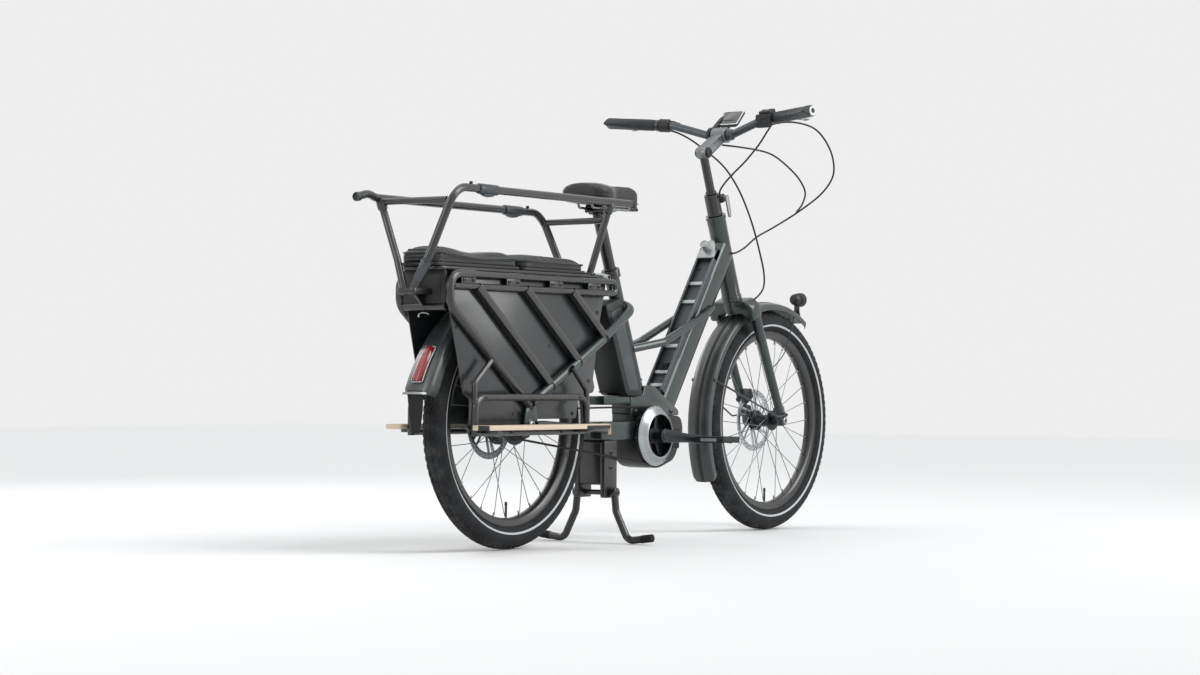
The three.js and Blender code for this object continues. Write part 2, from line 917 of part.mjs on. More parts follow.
function rotor(offset, hubEndRadius) {
  const disc = new THREE.Shape();
  disc.absarc(0, 0, rotorRadius, 0, fullTurn);
  const low = offset - rotorThickness / 2;
  const high = offset + rotorThickness / 2;
  const rimInner = rotorRadius - rotorBand;
  const windows = [];
  for (let i = 0; i < rotorArmCount; i++) {
    const middle = (fullTurn * (i + 0.5)) / rotorArmCount;
    const window = new THREE.Shape();
    const outerTurn = Math.PI / rotorArmCount - rotorArmWidth / 2 / rimInner;
    const innerTurn = Math.PI / rotorArmCount - rotorArmWidth / 2 / rotorCarrierRadius;
    window.absarc(0, 0, rimInner, middle - outerTurn, middle + outerTurn, false);
    window.absarc(0, 0, rotorCarrierRadius, middle + innerTurn, middle - innerTurn, true);
    windows.push(plate(window, low - overrun, high + overrun, 0, 3));
  }
  const bore = axialPin(holeFor(hubEndRadius, hubSegments), low - overrun, high + overrun, 0, 0, hubSegments);
  return cut(plate(disc, low, high, 0, 10), bore, ...windows);
}

function axle(halfLength) {
  return join(
    axialPin(axleRadius, -halfLength, halfLength),
    axialPin(axleHeadRadius, -halfLength - axleHeadThickness, -halfLength, 0, 0, 6),
    axialPin(axleHeadRadius, halfLength, halfLength + axleHeadThickness, 0, 0, 6),
  );
}

// A fender's section, as pairs of Y and distance from the path of its edge line.
function fenderSection(halfWidth, skirt) {
  const shoulder = halfWidth * 0.72;
  const inset = fenderThickness;
  return [
    [-halfWidth, -skirt],
    [-halfWidth, -fenderCrown * 0.6],
    [-shoulder, fenderCrown * 0.4],
    [0, fenderCrown],
    [shoulder, fenderCrown * 0.4],
    [halfWidth, -fenderCrown * 0.6],
    [halfWidth, -skirt],
    [halfWidth - inset, -skirt],
    [halfWidth - inset, -fenderCrown * 0.6 - inset],
    [shoulder - inset, fenderCrown * 0.4 - inset],
    [0, fenderCrown - inset],
    [-shoulder + inset, fenderCrown * 0.4 - inset],
    [-halfWidth + inset, -fenderCrown * 0.6 - inset],
    [-halfWidth + inset, -skirt],
  ];
}

// A fender about its axle: radiusAt gives the edge line's radius at each angle.
function fenderShell(start, end, halfWidth, skirtAt, radiusAt) {
  const rings = [];
  for (let i = 0; i <= fenderSteps; i++) {
    const angle = start + ((end - start) * i) / fenderSteps;
    const section = fenderSection(halfWidth, skirtAt(angle));
    rings.push(
      section.map(([y, out]) => {
        const radius = radiusAt(angle) - fenderCrown + out;
        return point(radius * Math.cos(angle), y, radius * Math.sin(angle));
      }),
    );
  }
  const cap = fenderSection(halfWidth, skirtAt(start)).map(([y, out]) => new THREE.Vector2(y, out));
  return loft(rings, cap);
}

function frontFenderRadiusAt(angle) {
  const share = Math.max(0, (angle - Math.PI / 2) / (frontFenderTail - Math.PI / 2));
  return fenderRadius + frontFenderFlare * share * share;
}

// The front fender, with the stay that runs down from its rear to the dropouts.
function frontFender() {
  const shell = fenderShell(
    frontFenderTip,
    frontFenderTail,
    frontFenderHalfWidth,
    () => frontFenderSkirt,
    frontFenderRadiusAt,
  );
  const radius = frontFenderRadiusAt(fenderStayAngle) - fenderCrown * 2;
  const edge = frontFenderHalfWidth - fenderThickness / 2;
  const stays = [-1, 1].map((side) => {
    const top = point(radius * Math.cos(fenderStayAngle), side * edge, radius * Math.sin(fenderStayAngle));
    const out = forkLegSpread + forkLegRadius + fenderStayRadius + clearance;
    const foot = point(0, side * out, dropoutHeight / 2);
    const shoulder = point(-forkLegRadius * 3, side * out, forkLegRadius * 2);
    return bentTube([top, shoulder, foot], forkLegRadius, fenderStayRadius, hoseSides);
  });
  return join(shell, ...stays);
}

function rearFenderRadiusAt(angle) {
  const share = Math.max(0, (angle - rearFenderFlareStart) / (rearFenderRear - rearFenderFlareStart));
  return rearFenderRadius + rearFenderFlare * share * share;
}

function rearFenderSkirtAt(angle) {
  const share = Math.max(0, (angle - rearFenderFlareStart) / (rearFenderRear - rearFenderFlareStart));
  return rearFenderSkirt * (1 + share);
}

// The rear fender with its rubber flap, which hangs behind the tyre.
function rearFender() {
  const shell = fenderShell(
    rearFenderFront,
    rearFenderRear,
    rearFenderHalfWidth,
    rearFenderSkirtAt,
    rearFenderRadiusAt,
  );
  const end = rearFenderRadiusAt(rearFenderRear) - fenderThickness;
  const topX = end * Math.cos(rearFenderRear);
  const topZ = end * Math.sin(rearFenderRear);
  const flap = plate(
    new THREE.Shape([
      new THREE.Vector2(topX + flapThickness, topZ + bite * 4),
      new THREE.Vector2(topX, topZ + bite * 4),
      new THREE.Vector2(topX + flapThickness, topZ - flapLength),
      new THREE.Vector2(topX + flapThickness * 2, topZ - flapLength),
    ]),
    -flapHalfWidth,
    flapHalfWidth,
  );
  return join(shell, flap);
}

function tailLight() {
  const outline = [];
  for (let i = 0; i <= tailLightSteps; i++) {
    const angle = tailLightStart + ((tailLightEnd - tailLightStart) * i) / tailLightSteps;
    const radius = rearFenderRadiusAt(angle) + clearance;
    outline.push(new THREE.Vector2(radius * Math.cos(angle), radius * Math.sin(angle)));
  }
  for (let i = tailLightSteps; i >= 0; i--) {
    const angle = tailLightStart + ((tailLightEnd - tailLightStart) * i) / tailLightSteps;
    const radius = rearFenderRadiusAt(angle) + tailLightDepth;
    outline.push(new THREE.Vector2(radius * Math.cos(angle), radius * Math.sin(angle)));
  }
  return plate(new THREE.Shape(outline), -tailLightHalfWidth, tailLightHalfWidth, bite);
}

// Main frame

// The head tube with the two bearing cups pressed into its ends.
function headTube() {
  const low = crownBottom + crownHeight + clearance;
  const tubeLow = low + headsetHeight;
  const tubeHigh = tubeLow + headTubeHeight;
  return join(
    bar(alongHead(tubeLow), alongHead(tubeHigh), headTubeRadius, thickSides),
    bar(alongHead(low), alongHead(tubeLow), headsetRadius, thickSides),
    bar(alongHead(tubeHigh), alongHead(tubeHigh + headsetHeight), headsetRadius, thickSides),
  );
}

// The cups close in on the steerer; between them the head tube is wide inside.
function headTubeHole() {
  const low = crownBottom + crownHeight;
  const high = low + 2 * headsetHeight + headTubeHeight;
  return join(
    bar(alongHead(low - overrun), alongHead(high + overrun), holeFor(steererRadius, thickSides), thickSides),
    bar(alongHead(low + headsetHeight * 2), alongHead(high - headsetHeight * 2), headTubeBore, thickSides),
  );
}

// Pieces made in the steering's frame, moved to where the head tube stands.
function placedAtHead(piece) {
  const geometry = geometryOf(piece);
  geometry.rotateY(-steeringLean);
  geometry.translate(...steeringFoot.toArray());
  return solid(geometry);
}

function downTube() {
  const top = dockThickness + clearance;
  const outline = [
    [-downTubeHalfWidth, top],
    [downTubeHalfWidth, top],
    [downTubeHalfWidth, top + downTubeBevelDepth],
    [downTubeKeelHalfWidth, top + downTubeDepth],
    [-downTubeKeelHalfWidth, top + downTubeDepth],
    [-downTubeHalfWidth, top + downTubeBevelDepth],
  ];
  const rings = [-dockThickness, downTubeLength].map((along) =>
    outline.map(([y, below]) => alongDownTube(along, below, y)),
  );
  return loft(rings, outline.map(([y, below]) => new THREE.Vector2(y, below)));
}

function seatTube() {
  return bar(alongSeat(seatTubeBottom), alongSeat(seatTubeTop), seatTubeRadius, thickSides);
}

function seatTubeHole() {
  return bar(
    alongSeat(seatTubeTop - seatTubeBoreDepth),
    alongSeat(seatTubeTop + overrun),
    holeFor(seatPostRadius, thickSides),
    thickSides,
  );
}

function topTube(side) {
  const rearX = seatAxisX(topTubeRearZ);
  const slope = (topTubeFrontZ - topTubeBendZ) / (topTubeFrontX - topTubeBendX);
  return bentTube(
    [
      point(topTubeFrontX, side * (downTubeHalfWidth + bite), topTubeFrontZ),
      point(topTubeElbowX, side * topTubeSpread, topTubeBendZ + (topTubeElbowX - topTubeBendX) * slope),
      point(topTubeBendX, side * topTubeSpread, topTubeBendZ),
      point(rearX, side * (seatTubeRadius - topTubeRadius / 2), topTubeRearZ),
    ],
    topTubeBend,
    topTubeRadius,
  );
}

// The long stay that runs from the seat tube out and down to the rear dropout.
function upperStayCorners(side) {
  return [
    point(seatAxisX(stayTopZ), side * (seatTubeRadius - stayRadius), stayTopZ),
    point(stayShoulderX, side * stayShoulderSpread, stayShoulderZ),
    point(stayElbowX, side * staySpread, stayElbowZ),
    point(0, side * staySpread, stayFootZ),
  ];
}

function upperStay(side, grow = 0) {
  return bentTube(upperStayCorners(side), stayBend, stayRadius + grow);
}

function upperStayZ(x) {
  return stayFootZ + (x * (stayElbowZ - stayFootZ)) / stayElbowX;
}

function chainStay(side) {
  const rearSpread = rearDropoutInner + rearDropoutThickness / 2;
  return bentTube(
    [
      point(chainStayFrontX, side * chainStayFrontSpread, chainStayZ - chainStayRadius / 2),
      point(chainStayBendX, side * chainStayBendSpread, chainStayZ),
      point(chainStayRearX, side * rearSpread, wheelRadius),
      point(rearDropoutLength / 2 - bite * 2, side * rearSpread, wheelRadius),
    ],
    stayBend,
    chainStayRadius,
  );
}

function rearDropout(side) {
  const low = wheelRadius - rearDropoutHeight / 4;
  const high = wheelRadius + rearDropoutHeight;
  const half = rearDropoutLength / 2;
  const shape = roundedOutline(
    [
      [-half, low],
      [half, low],
      [half, wheelRadius + rearDropoutHeight / 3],
      [half / 2, high],
      [-half / 2, high],
      [-half, wheelRadius + rearDropoutHeight / 3],
    ],
    rearDropoutHeight / 6,
  );
  const inner = rearDropoutInner;
  const outer = rearDropoutInner + rearDropoutThickness;
  return side > 0 ? plate(shape, inner, outer) : plate(shape, -outer, -inner);
}

function motorCradle() {
  const shape = roundedOutline(
    [
      [cradleRearX, cradleBottomZ],
      [cradleFrontX, cradleBottomZ],
      [cradleFrontX, cradleBottomZ + frameEdge * 3],
      [downTubeFootX, downTubeFootZ - dockThickness],
      [seatAxisX(downTubeFootZ) + seatTubeRadius * 2, downTubeFootZ + frameEdge * 3],
      [seatAxisX(downTubeFootZ) - frameEdge, downTubeFootZ + frameEdge * 3],
      [seatAxisX(beamTopZ) - seatTubeRadius, beamTopZ],
      [cradleRearX, beamTopZ],
    ],
    frameEdge * 2,
  );
  return plate(shape, -cradleHalfWidth, cradleHalfWidth, frameEdge / 2);
}

function mainFrame() {
  const beam = box(beamRearX, cradleRearX + bite, -beamHalfWidth, beamHalfWidth, beamBottomZ, beamTopZ);
  const column = box(
    cradleRearX,
    cradleRearX + columnLength,
    -beamHalfWidth,
    beamHalfWidth,
    yokeTopZ - frameEdge,
    cradleBottomZ + frameEdge,
  );
  const yoke = plate(
    roundedOutline(
      [
        [yokeRearX, yokeBottomZ],
        [cradleRearX + columnLength, yokeBottomZ],
        [cradleRearX + columnLength, yokeTopZ],
        [yokeRearX, yokeTopZ],
      ],
      frameEdge * 2,
    ),
    -yokeHalfWidth,
    yokeHalfWidth,
    frameEdge,
  );
  const bridgeZ = upperStayZ(Math.min(stayBridgeX, stayElbowX)) + (stayBridgeX - stayElbowX) / 2;
  const bridge = bar(
    point(stayBridgeX, -staySpread, bridgeZ),
    point(stayBridgeX, staySpread, bridgeZ),
    stayBridgeRadius,
  );
  const sides = [-1, 1].flatMap((side) => [
    topTube(side),
    upperStay(side),
    chainStay(side),
    rearDropout(side),
  ]);
  const axleHole = axialPin(holeFor(axleRadius), -staySpread * 2, staySpread * 2, 0, wheelRadius);
  const tubes = join(placedAtHead(headTube()), downTube(), seatTube(), ...sides);
  const whole = join(tubes, motorCradle(), beam, column, yoke, bridge);
  return cut(whole, placedAtHead(headTubeHole()), seatTubeHole(), axleHole);
}

// Battery, dock and motor

function battery() {
  const rear = batteryFootX - seatAxisX(beamTopZ);
  const foot = (beamTopZ + clearance - crankAxisZ) / Math.sin(seatAngle);
  const rise = Math.tan(Math.PI / 2 - seatAngle);
  const corners = [
    [batteryFootX, beamTopZ + clearance],
    [batteryFootX + batteryDepth, beamTopZ + clearance],
    [batteryFootX + batteryDepth - batteryHeight * rise, beamTopZ + batteryHeight],
    [batteryFootX - batteryHeight * rise, beamTopZ + batteryHeight - batteryCorner * 2],
  ];
  const shape = roundedOutline(corners, batteryCorner * 1.5);
  const body = plate(shape, -batteryHalfWidth, batteryHalfWidth, batteryCorner * 0.4);
  const roomRadius = holeFor(seatTubeRadius, thickSides);
  const postRoom = bar(alongSeat(foot + rear), alongSeat(seatTubeTop), roomRadius, thickSides);
  return cut(body, postRoom);
}

function dock() {
  const block = (from, to, low, high, lowY, highY) => {
    const outline = [
      [lowY, low],
      [highY, low],
      [highY, high],
      [lowY, high],
    ];
    const rings = [from, to].map((along) => outline.map(([y, below]) => alongDownTube(along, below, y)));
    return loft(rings, outline.map(([y, below]) => new THREE.Vector2(y, below)));
  };
  const floor = block(0, dockLength, dockThickness / 2, dockThickness, -dockHalfWidth, dockHalfWidth);
  const rails = [-1, 1].map((side) => {
    const outer = side * dockHalfWidth;
    const inner = side * (dockHalfWidth - dockRailWidth);
    const [low, high] = side > 0 ? [inner, outer] : [outer, inner];
    return block(0, dockLength, -dockRailHeight / 2, dockThickness, low, high);
  });
  const rungs = dockRungShares.map((share) => {
    const from = share * dockLength;
    return block(
      from,
      from + dockRungWidth,
      dockThickness / 2 - dockRungHeight,
      dockThickness,
      -dockHalfWidth + bite,
      dockHalfWidth - bite,
    );
  });
  const head = block(
    dockLength - dockLockRadius * 3,
    dockLength,
    -dockRailHeight / 2,
    dockThickness,
    -dockHalfWidth,
    dockHalfWidth,
  );
  return join(floor, ...rails, ...rungs, head, dockLock());
}

function dockLock() {
  const along = dockLength - dockLockRadius * 1.5;
  const low = alongDownTube(along, dockThickness / 2);
  const high = alongDownTube(along, -dockRailHeight / 2 - dockLockHeight);
  return bar(low, high, dockLockRadius, 20, dockLockRadius * 0.92);
}

function motor() {
  const top = cradleBottomZ - clearance;
  const rear = cradleRearX + columnLength + clearance;
  const height = top - motorBottomZ;
  const length = motorFrontX - rear;
  const outlineShares = [
    [0, 1],
    [0.94, 1],
    [1, 0.72],
    [0.8, 0.16],
    [0.45, 0],
    [0.15, 0.06],
    [0, 0.32],
  ];
  const corners = outlineShares.map(([along, up]) => [rear + along * length, motorBottomZ + up * height]);
  const shape = roundedOutline(corners, motorEdge * 3);
  const body = plate(shape, -motorHalfWidth, motorHalfWidth, motorEdge * 0.6);
  const bore = axialPin(
    holeFor(spindleRadius, 16),
    -motorHalfWidth * 2,
    motorHalfWidth * 2,
    crankAxisX,
    crankAxisZ,
    16,
  );
  return cut(body, bore);
}

// Cranks, pedals and belt

const pedalAxis = point(crankLength * Math.cos(crankDrop), 0, -crankLength * Math.sin(crankDrop));
const crankTip = crankArmInner + crankArmThickness;

// A crank arm about the crank axis, on the right; the left one is turned half round.
function crankArm() {
  const outline = new THREE.Shape();
  const heading = -crankDrop;
  outline.absarc(0, 0, crankArmRootRadius, heading + Math.PI / 2, heading - Math.PI / 2 + fullTurn, false);
  const quarter = Math.PI / 2;
  outline.absarc(pedalAxis.x, pedalAxis.z, crankArmTipRadius, heading - quarter, heading + quarter, false);
  outline.closePath();
  const arm = plate(outline, -crankTip, -crankArmInner, bite, 8);
  const spindle = axialPin(
    pedalSpindleRadius,
    -crankTip - pedalGap - pedalLength + pedalGap,
    -crankTip + bite,
    pedalAxis.x,
    pedalAxis.z,
  );
  return join(arm, spindle);
}

function rightCrank() {
  const spindle = axialPin(spindleRadius, -crankArmInner - bite, crankArmInner - clearance, 0, 0, 12);
  return join(crankArm(), spindle);
}

function leftCrank() {
  const geometry = mirrored(geometryOf(crankArm()));
  geometry.rotateY(Math.PI);
  return solid(geometry);
}

function beltRing() {
  const disc = new THREE.Shape();
  disc.absarc(0, 0, ringRadius, 0, fullTurn);
  const low = -ringPlane - ringThickness / 2;
  const high = -ringPlane + ringThickness / 2;
  const windows = [];
  for (let i = 0; i < ringArmCount; i++) {
    const middle = (fullTurn * (i + 0.5)) / ringArmCount;
    const outerTurn = Math.PI / ringArmCount - ringArmWidth / 2 / ringInner;
    const innerTurn = Math.PI / ringArmCount - ringArmWidth / 2 / ringHubRadius;
    const window = new THREE.Shape();
    window.absarc(0, 0, ringInner, middle - outerTurn, middle + outerTurn, false);
    window.absarc(0, 0, ringHubRadius + bite, middle + innerTurn, middle - innerTurn, true);
    windows.push(plate(window, low - overrun, high + overrun, 0, 3));
  }
  const bore = axialPin(holeFor(spindleRadius, 12), low - overrun, high + overrun, 0, 0, 12);
  return cut(plate(disc, low, high, 0, 10), bore, ...windows);
}

// The bright cone outside the belt ring, which keeps trousers off the belt.
function beltGuard() {
  return turnedRing(
    [
      [guardRadius, -guardInnerPlane],
      [guardInner, -guardOuterPlane],
      [guardInner, -guardOuterPlane + guardWall],
      [guardInner - guardWall, -guardInnerPlane],
      [guardInner - guardWall, -ringPlane - ringThickness / 2 + bite / 2],
      [ringRadius - beltThickness, -ringPlane - ringThickness / 2 + bite / 2],
      [ringRadius - beltThickness, -guardInnerPlane],
    ],
    20,
  );
}

function sprocket() {
  const low = -ringPlane - sprocketThickness / 2;
  const high = -ringPlane + sprocketThickness / 2;
  return cut(
    axialPin(sprocketRadius, low, high, 0, 0, 22),
    axialPin(holeFor(rearHubEndRadius, 16), low - overrun, high + overrun, 0, 0, 16),
  );
}

// The belt's loop: two straight runs that touch both pulleys, and an arc round each.
function drivenLoop(grow) {
  const rearZ = wheelRadius;
  const distance = Math.hypot(crankAxisX, crankAxisZ - rearZ);
  const heading = Math.atan2(crankAxisZ - rearZ, crankAxisX);
  const spread = Math.acos((ringRadius - sprocketRadius) / distance);
  const frontRadius = ringRadius + grow;
  const rearRadius = sprocketRadius + grow;
  const front = Math.PI - spread;
  const shape = [];
  const arc = (x, z, radius, from, to) => {
    const reach = radius / Math.cos((to - from) / beltSteps / 2);
    for (let i = 0; i <= beltSteps; i++) {
      const angle = heading + from + ((to - from) * i) / beltSteps;
      shape.push(new THREE.Vector2(x + reach * Math.cos(angle), z + reach * Math.sin(angle)));
    }
  };
  arc(crankAxisX, crankAxisZ, frontRadius, -front, front);
  arc(0, rearZ, rearRadius, front, fullTurn - front);
  return shape;
}

function belt() {
  const low = -ringPlane - beltWidth / 2;
  const high = -ringPlane + beltWidth / 2;
  const outer = plate(new THREE.Shape(drivenLoop(clearance + beltThickness)), low, high);
  const inner = plate(new THREE.Shape(drivenLoop(clearance)), low - overrun, high + overrun);
  return cut(outer, inner);
}

// A pedal about its own spindle, to the right of the crank arm.
function pedal() {
  const low = -crankTip - pedalGap - pedalLength;
  const high = -crankTip - pedalGap;
  const half = pedalWidth / 2;
  const cage = plate(
    roundedOutline(
      [
        [-half, -pedalThickness / 2],
        [half, -pedalThickness / 2],
        [half, pedalThickness / 2],
        [-half, pedalThickness / 2],
      ],
      pedalThickness / 4,
    ),
    low,
    high,
    bite,
  );
  const windowY = pedalLength * pedalWindowShare;
  const windows = [-1, 1].flatMap((end) =>
    [-1, 1].map((row) => {
      const middleX = (end * (half + pedalCoreRadius)) / 2;
      const middleY = (low + high) / 2 + (row * windowY) / 2 + row * bite;
      const reach = (half - pedalCoreRadius) / 2 - bite * 2;
      return box(
        middleX - reach,
        middleX + reach,
        middleY - windowY / 2,
        middleY + windowY / 2,
        -pedalThickness,
        pedalThickness,
      );
    }),
  );
  const bore = axialPin(holeFor(pedalSpindleRadius), low + pedalGap, high + overrun, 0, 0, barSides);
  return cut(cage, bore, ...windows);
}

// Fork and what it carries, in the steering's frame

function forkLeg(side, grow = 0) {
  const top = alongHead(crownBottom + bite, forkLegTopReach, side * forkLegSpread);
  const foot = alongHead(dropoutHeight / 2, forkOffset - bite, side * forkLegSpread);
  return bar(foot, top, forkLegRadius * 0.8 + grow, barSides, forkLegRadius + grow);
}

function forkDropout(side) {
  const half = dropoutDepth / 2;
  const shape = roundedOutline(
    [
      [forkOffset - half, -half],
      [forkOffset + half, -half],
      [forkOffset + half, dropoutHeight],
      [forkOffset - half, dropoutHeight],
    ],
    half / 2,
  );
  const inner = frontHubWidth / 2;
  const outer = forkLegSpread + forkLegRadius / 2;
  return side > 0 ? plate(shape, inner, outer) : plate(shape, -outer, -inner);
}

function fork() {
  const half = crownWidth / 2;
  const top = crownBottom + crownHeight;
  const front = new THREE.Shape([
    new THREE.Vector2(-half, crownBottom - crownShoulder),
    new THREE.Vector2(-half + forkLegRadius * 2, crownBottom - crownShoulder),
    new THREE.Vector2(-half + forkLegRadius * 2 + bite, crownBottom),
    new THREE.Vector2(half - forkLegRadius * 2 - bite, crownBottom),
    new THREE.Vector2(half - forkLegRadius * 2, crownBottom - crownShoulder),
    new THREE.Vector2(half, crownBottom - crownShoulder),
    new THREE.Vector2(half, top - crownShoulder),
    new THREE.Vector2(half - crownShoulder, top - bite),
    new THREE.Vector2(steererRadius * 2, top - bite),
    new THREE.Vector2(-steererRadius * 2, top - bite),
    new THREE.Vector2(-half + crownShoulder, top - bite),
    new THREE.Vector2(-half, top - crownShoulder),
  ]);
  const block = new THREE.ExtrudeGeometry(front, { depth: crownDepth, bevelEnabled: false });
  block.rotateX(Math.PI / 2);
  block.rotateZ(Math.PI / 2);
  block.translate(-crownDepth / 2 + forkLegTopReach / 2, 0, 0);
  const steererTop = collarBottom + collarHeight / 2 - clearance;
  const steerer = bar(alongHead(crownBottom + bite), alongHead(steererTop), steererRadius, thickSides);
  const base = bar(alongHead(crownBottom + bite), alongHead(top - clearance), headTubeRadius, thickSides);
  const postHole = bar(
    alongHead(collarBottom + collarHeight - postInsertion - postTravel),
    alongHead(steererTop + overrun),
    holeFor(postRadius, thickSides),
    thickSides,
  );
  const bossAxis = forkLegTopReach / 2;
  const bossFoot = alongHead(crownBottom - headsetHeight, bossAxis);
  const fenderRoom = holeFor(fenderRadius + clearance, wheelSegments);
  const boss = cut(
    bar(bossFoot, alongHead(crownBottom + bite, bossAxis), headsetHeight),
    axialPin(fenderRoom, -crownWidth, crownWidth, forkOffset, 0, wheelSegments),
  );
  const axleHole = axialPin(holeFor(axleRadius), -crownWidth, crownWidth, forkOffset, 0);
  const legs = [-1, 1].flatMap((side) => [forkLeg(side), forkDropout(side)]);
  return cut(join(solid(block), base, boss, steerer, ...legs), axleHole, postHole);
}

// The caliper's body bridges the rotor, and its mount reaches the fork leg or the stay.
function caliper(angle, rotorOffset, mountOffset) {
  const radius = rotorRadius - rotorBand / 2;
  const body = box(
    -caliperLength / 2,
    caliperLength / 2,
    rotorOffset - caliperInnerWidth,
    rotorOffset + caliperWidth / 2,
    -caliperHeight / 2,
    caliperHeight / 2,
  );
  const slot = box(
    -caliperLength,
    caliperLength,
    rotorOffset - caliperSlot / 2,
    rotorOffset + caliperSlot / 2,
    -caliperHeight,
    caliperHeight * 0.36,
  );
  const mount = box(
    -caliperLength / 2,
    caliperLength / 2,
    rotorOffset + caliperSlot,
    mountOffset,
    -caliperMountWidth / 2,
    caliperMountWidth / 2,
  );
  const geometry = geometryOf(join(cut(body, slot), mount));
  geometry.rotateY(Math.PI / 2 - angle);
  geometry.translate(radius * Math.cos(angle), 0, radius * Math.sin(angle));
  return solid(geometry);
}

// The rear caliper, fitted under the left upper stay.
function rearCaliper() {
  const stay = geometryOf(upperStay(1, clearance)).translate(0, 0, -wheelRadius);
  return cut(caliper(rearCaliperAngle, rearRotorOffset, staySpread), solid(stay));
}

// The front caliper, fitted to the back of the left fork leg.
function frontCaliper() {
  const body = geometryOf(caliper(frontCaliperAngle, frontRotorOffset, forkLegSpread));
  body.translate(forkOffset, 0, 0);
  return cut(solid(body), forkLeg(1, clearance));
}

function lamp() {
  const front = lampReach + lampLength / 2;
  const rear = lampReach - lampLength / 2;
  const barrelRear = point(rear, 0, lampHeight);
  const barrel = bar(barrelRear, point(front, 0, lampHeight), lampRadius * 0.8, 20, lampRadius);
  const tipX = fenderRadius * Math.cos(frontFenderTip);
  const onFender = (x) => new THREE.Vector2(x, Math.sqrt(fenderRadius * fenderRadius - x * x) + clearance);
  const half = lampBracketThickness / 2;
  const bracket = plate(
    new THREE.Shape([
      new THREE.Vector2(lampReach - half * 2, lampHeight),
      new THREE.Vector2(lampReach + half * 2, lampHeight),
      onFender(tipX - half * 2),
      onFender(tipX - half * 8),
    ]),
    -lampBracketWidth / 2,
    lampBracketWidth / 2,
  );
  return join(barrel, bracket);
}

// Stem, handlebar and controls, in the steering's frame

const collarBottom = crownBottom + crownHeight + 2 * headsetHeight + headTubeHeight + 2 * clearance;
const kneeHeight = collarBottom + collarHeight + kneeAboveCollar;
const barHeight = kneeHeight + stemRise;

// The collar sits on the steerer's top and grips the post above it, with two ears in front.
function stemCollar() {
  const low = collarBottom + clearance;
  const high = collarBottom + collarHeight;
  const middle = collarBottom + collarHeight / 2;
  const ring = bar(alongHead(low), alongHead(high), collarRadius, thickSides);
  const ear = box(
    0,
    collarEarReach,
    -collarEarWidth / 2,
    collarEarWidth / 2,
    middle,
    middle + collarEarHeight,
  );
  const steererHole = holeFor(steererRadius, thickSides);
  const postHole = holeFor(postRadius, thickSides);
  const lowBore = bar(alongHead(low - overrun), alongHead(middle), steererHole, thickSides);
  const highBore = bar(alongHead(low), alongHead(high + overrun), postHole, thickSides);
  const slot = box(
    postRadius / 2,
    collarEarReach + overrun,
    -collarSlot / 2,
    collarSlot / 2,
    low - overrun,
    high + overrun,
  );
  return cut(join(ring, ear), lowBore, highBore, slot);
}

const collarPinX = collarEarReach - collarLeverWidth / 2;
const collarPinZ = collarBottom + collarHeight / 2 + collarEarHeight / 2;

// The quick lever that clamps the collar: a round cam beside the ears and a blade outside
// the head tube.
function stemCollarLever() {
  const inner = -collarRadius - clearance;
  const outer = -headsetRadius - clearance - collarLeverThickness;
  const cam = axialPin(collarLeverWidth / 2, outer, inner, collarPinX, collarPinZ, 14);
  const half = collarLeverWidth / 2;
  const blade = plate(
    roundedOutline(
      [
        [collarPinX - half, collarPinZ],
        [collarPinX + half, collarPinZ],
        [collarPinX + half * 0.2, collarPinZ - collarLeverLength],
        [collarPinX - half * 1.2, collarPinZ - collarLeverLength],
      ],
      bite,
    ),
    outer,
    outer + collarLeverThickness,
    bite / 4,
  );
  return join(cam, blade);
}

function stem() {
  const postBottom = collarBottom + collarHeight - postInsertion;
  const post = bar(alongHead(postBottom), alongHead(kneeHeight), postRadius, thickSides);
  const knee = axialPin(kneeRadius, -kneeWidth / 2, kneeWidth / 2, 0, kneeHeight, 16);
  const half = stemDepth / 2;
  const box1 = plate(
    roundedOutline(
      [
        [0, kneeHeight - half],
        [stemReach, barHeight - half],
        [stemReach, barHeight + half],
        [0, kneeHeight + half],
      ],
      bite * 2,
    ),
    -stemWidth / 2,
    stemWidth / 2,
    bite,
  );
  const clampHalf = stemClampWidth / 2;
  const clampRing = axialPin(stemClampRadius, -clampHalf, clampHalf, stemReach, barHeight, 18);
  const barHole = axialPin(
    holeFor(barCentreRadius, 16),
    -stemClampWidth,
    stemClampWidth,
    stemReach,
    barHeight,
    16,
  );
  return cut(join(post, knee, box1, clampRing), barHole);
}

// The handlebar's corners on one side: out of the stem, up and back to the grip's end.
function barCorners(side) {
  return [
    point(stemReach, side * barCentreWidth * 0.5, barHeight),
    point(stemReach - barSweep * 0.25, side * barBendSpread, barHeight + barRise),
    point(stemReach - gripEndSweep, side * (gripEndSpread - gripEndCap), barHeight + gripEndRise),
  ];
}

// Where the handlebar's axis is at a distance from the middle, beyond its bend.
function barAt(side, spread) {
  const [, bend, end] = barCorners(side);
  const share = (spread - barBendSpread) / (gripEndSpread - gripEndCap - barBendSpread);
  return bend.clone().lerp(end, share);
}

function handlebar() {
  const corners = [...barCorners(1).reverse(), ...barCorners(-1)];
  const tube = bentTube(corners, stemClampRadius * 2, barRadius);
  const centre = axialPin(barCentreRadius, -barCentreWidth / 2, barCentreWidth / 2, stemReach, barHeight, 16);
  return join(tube, centre);
}

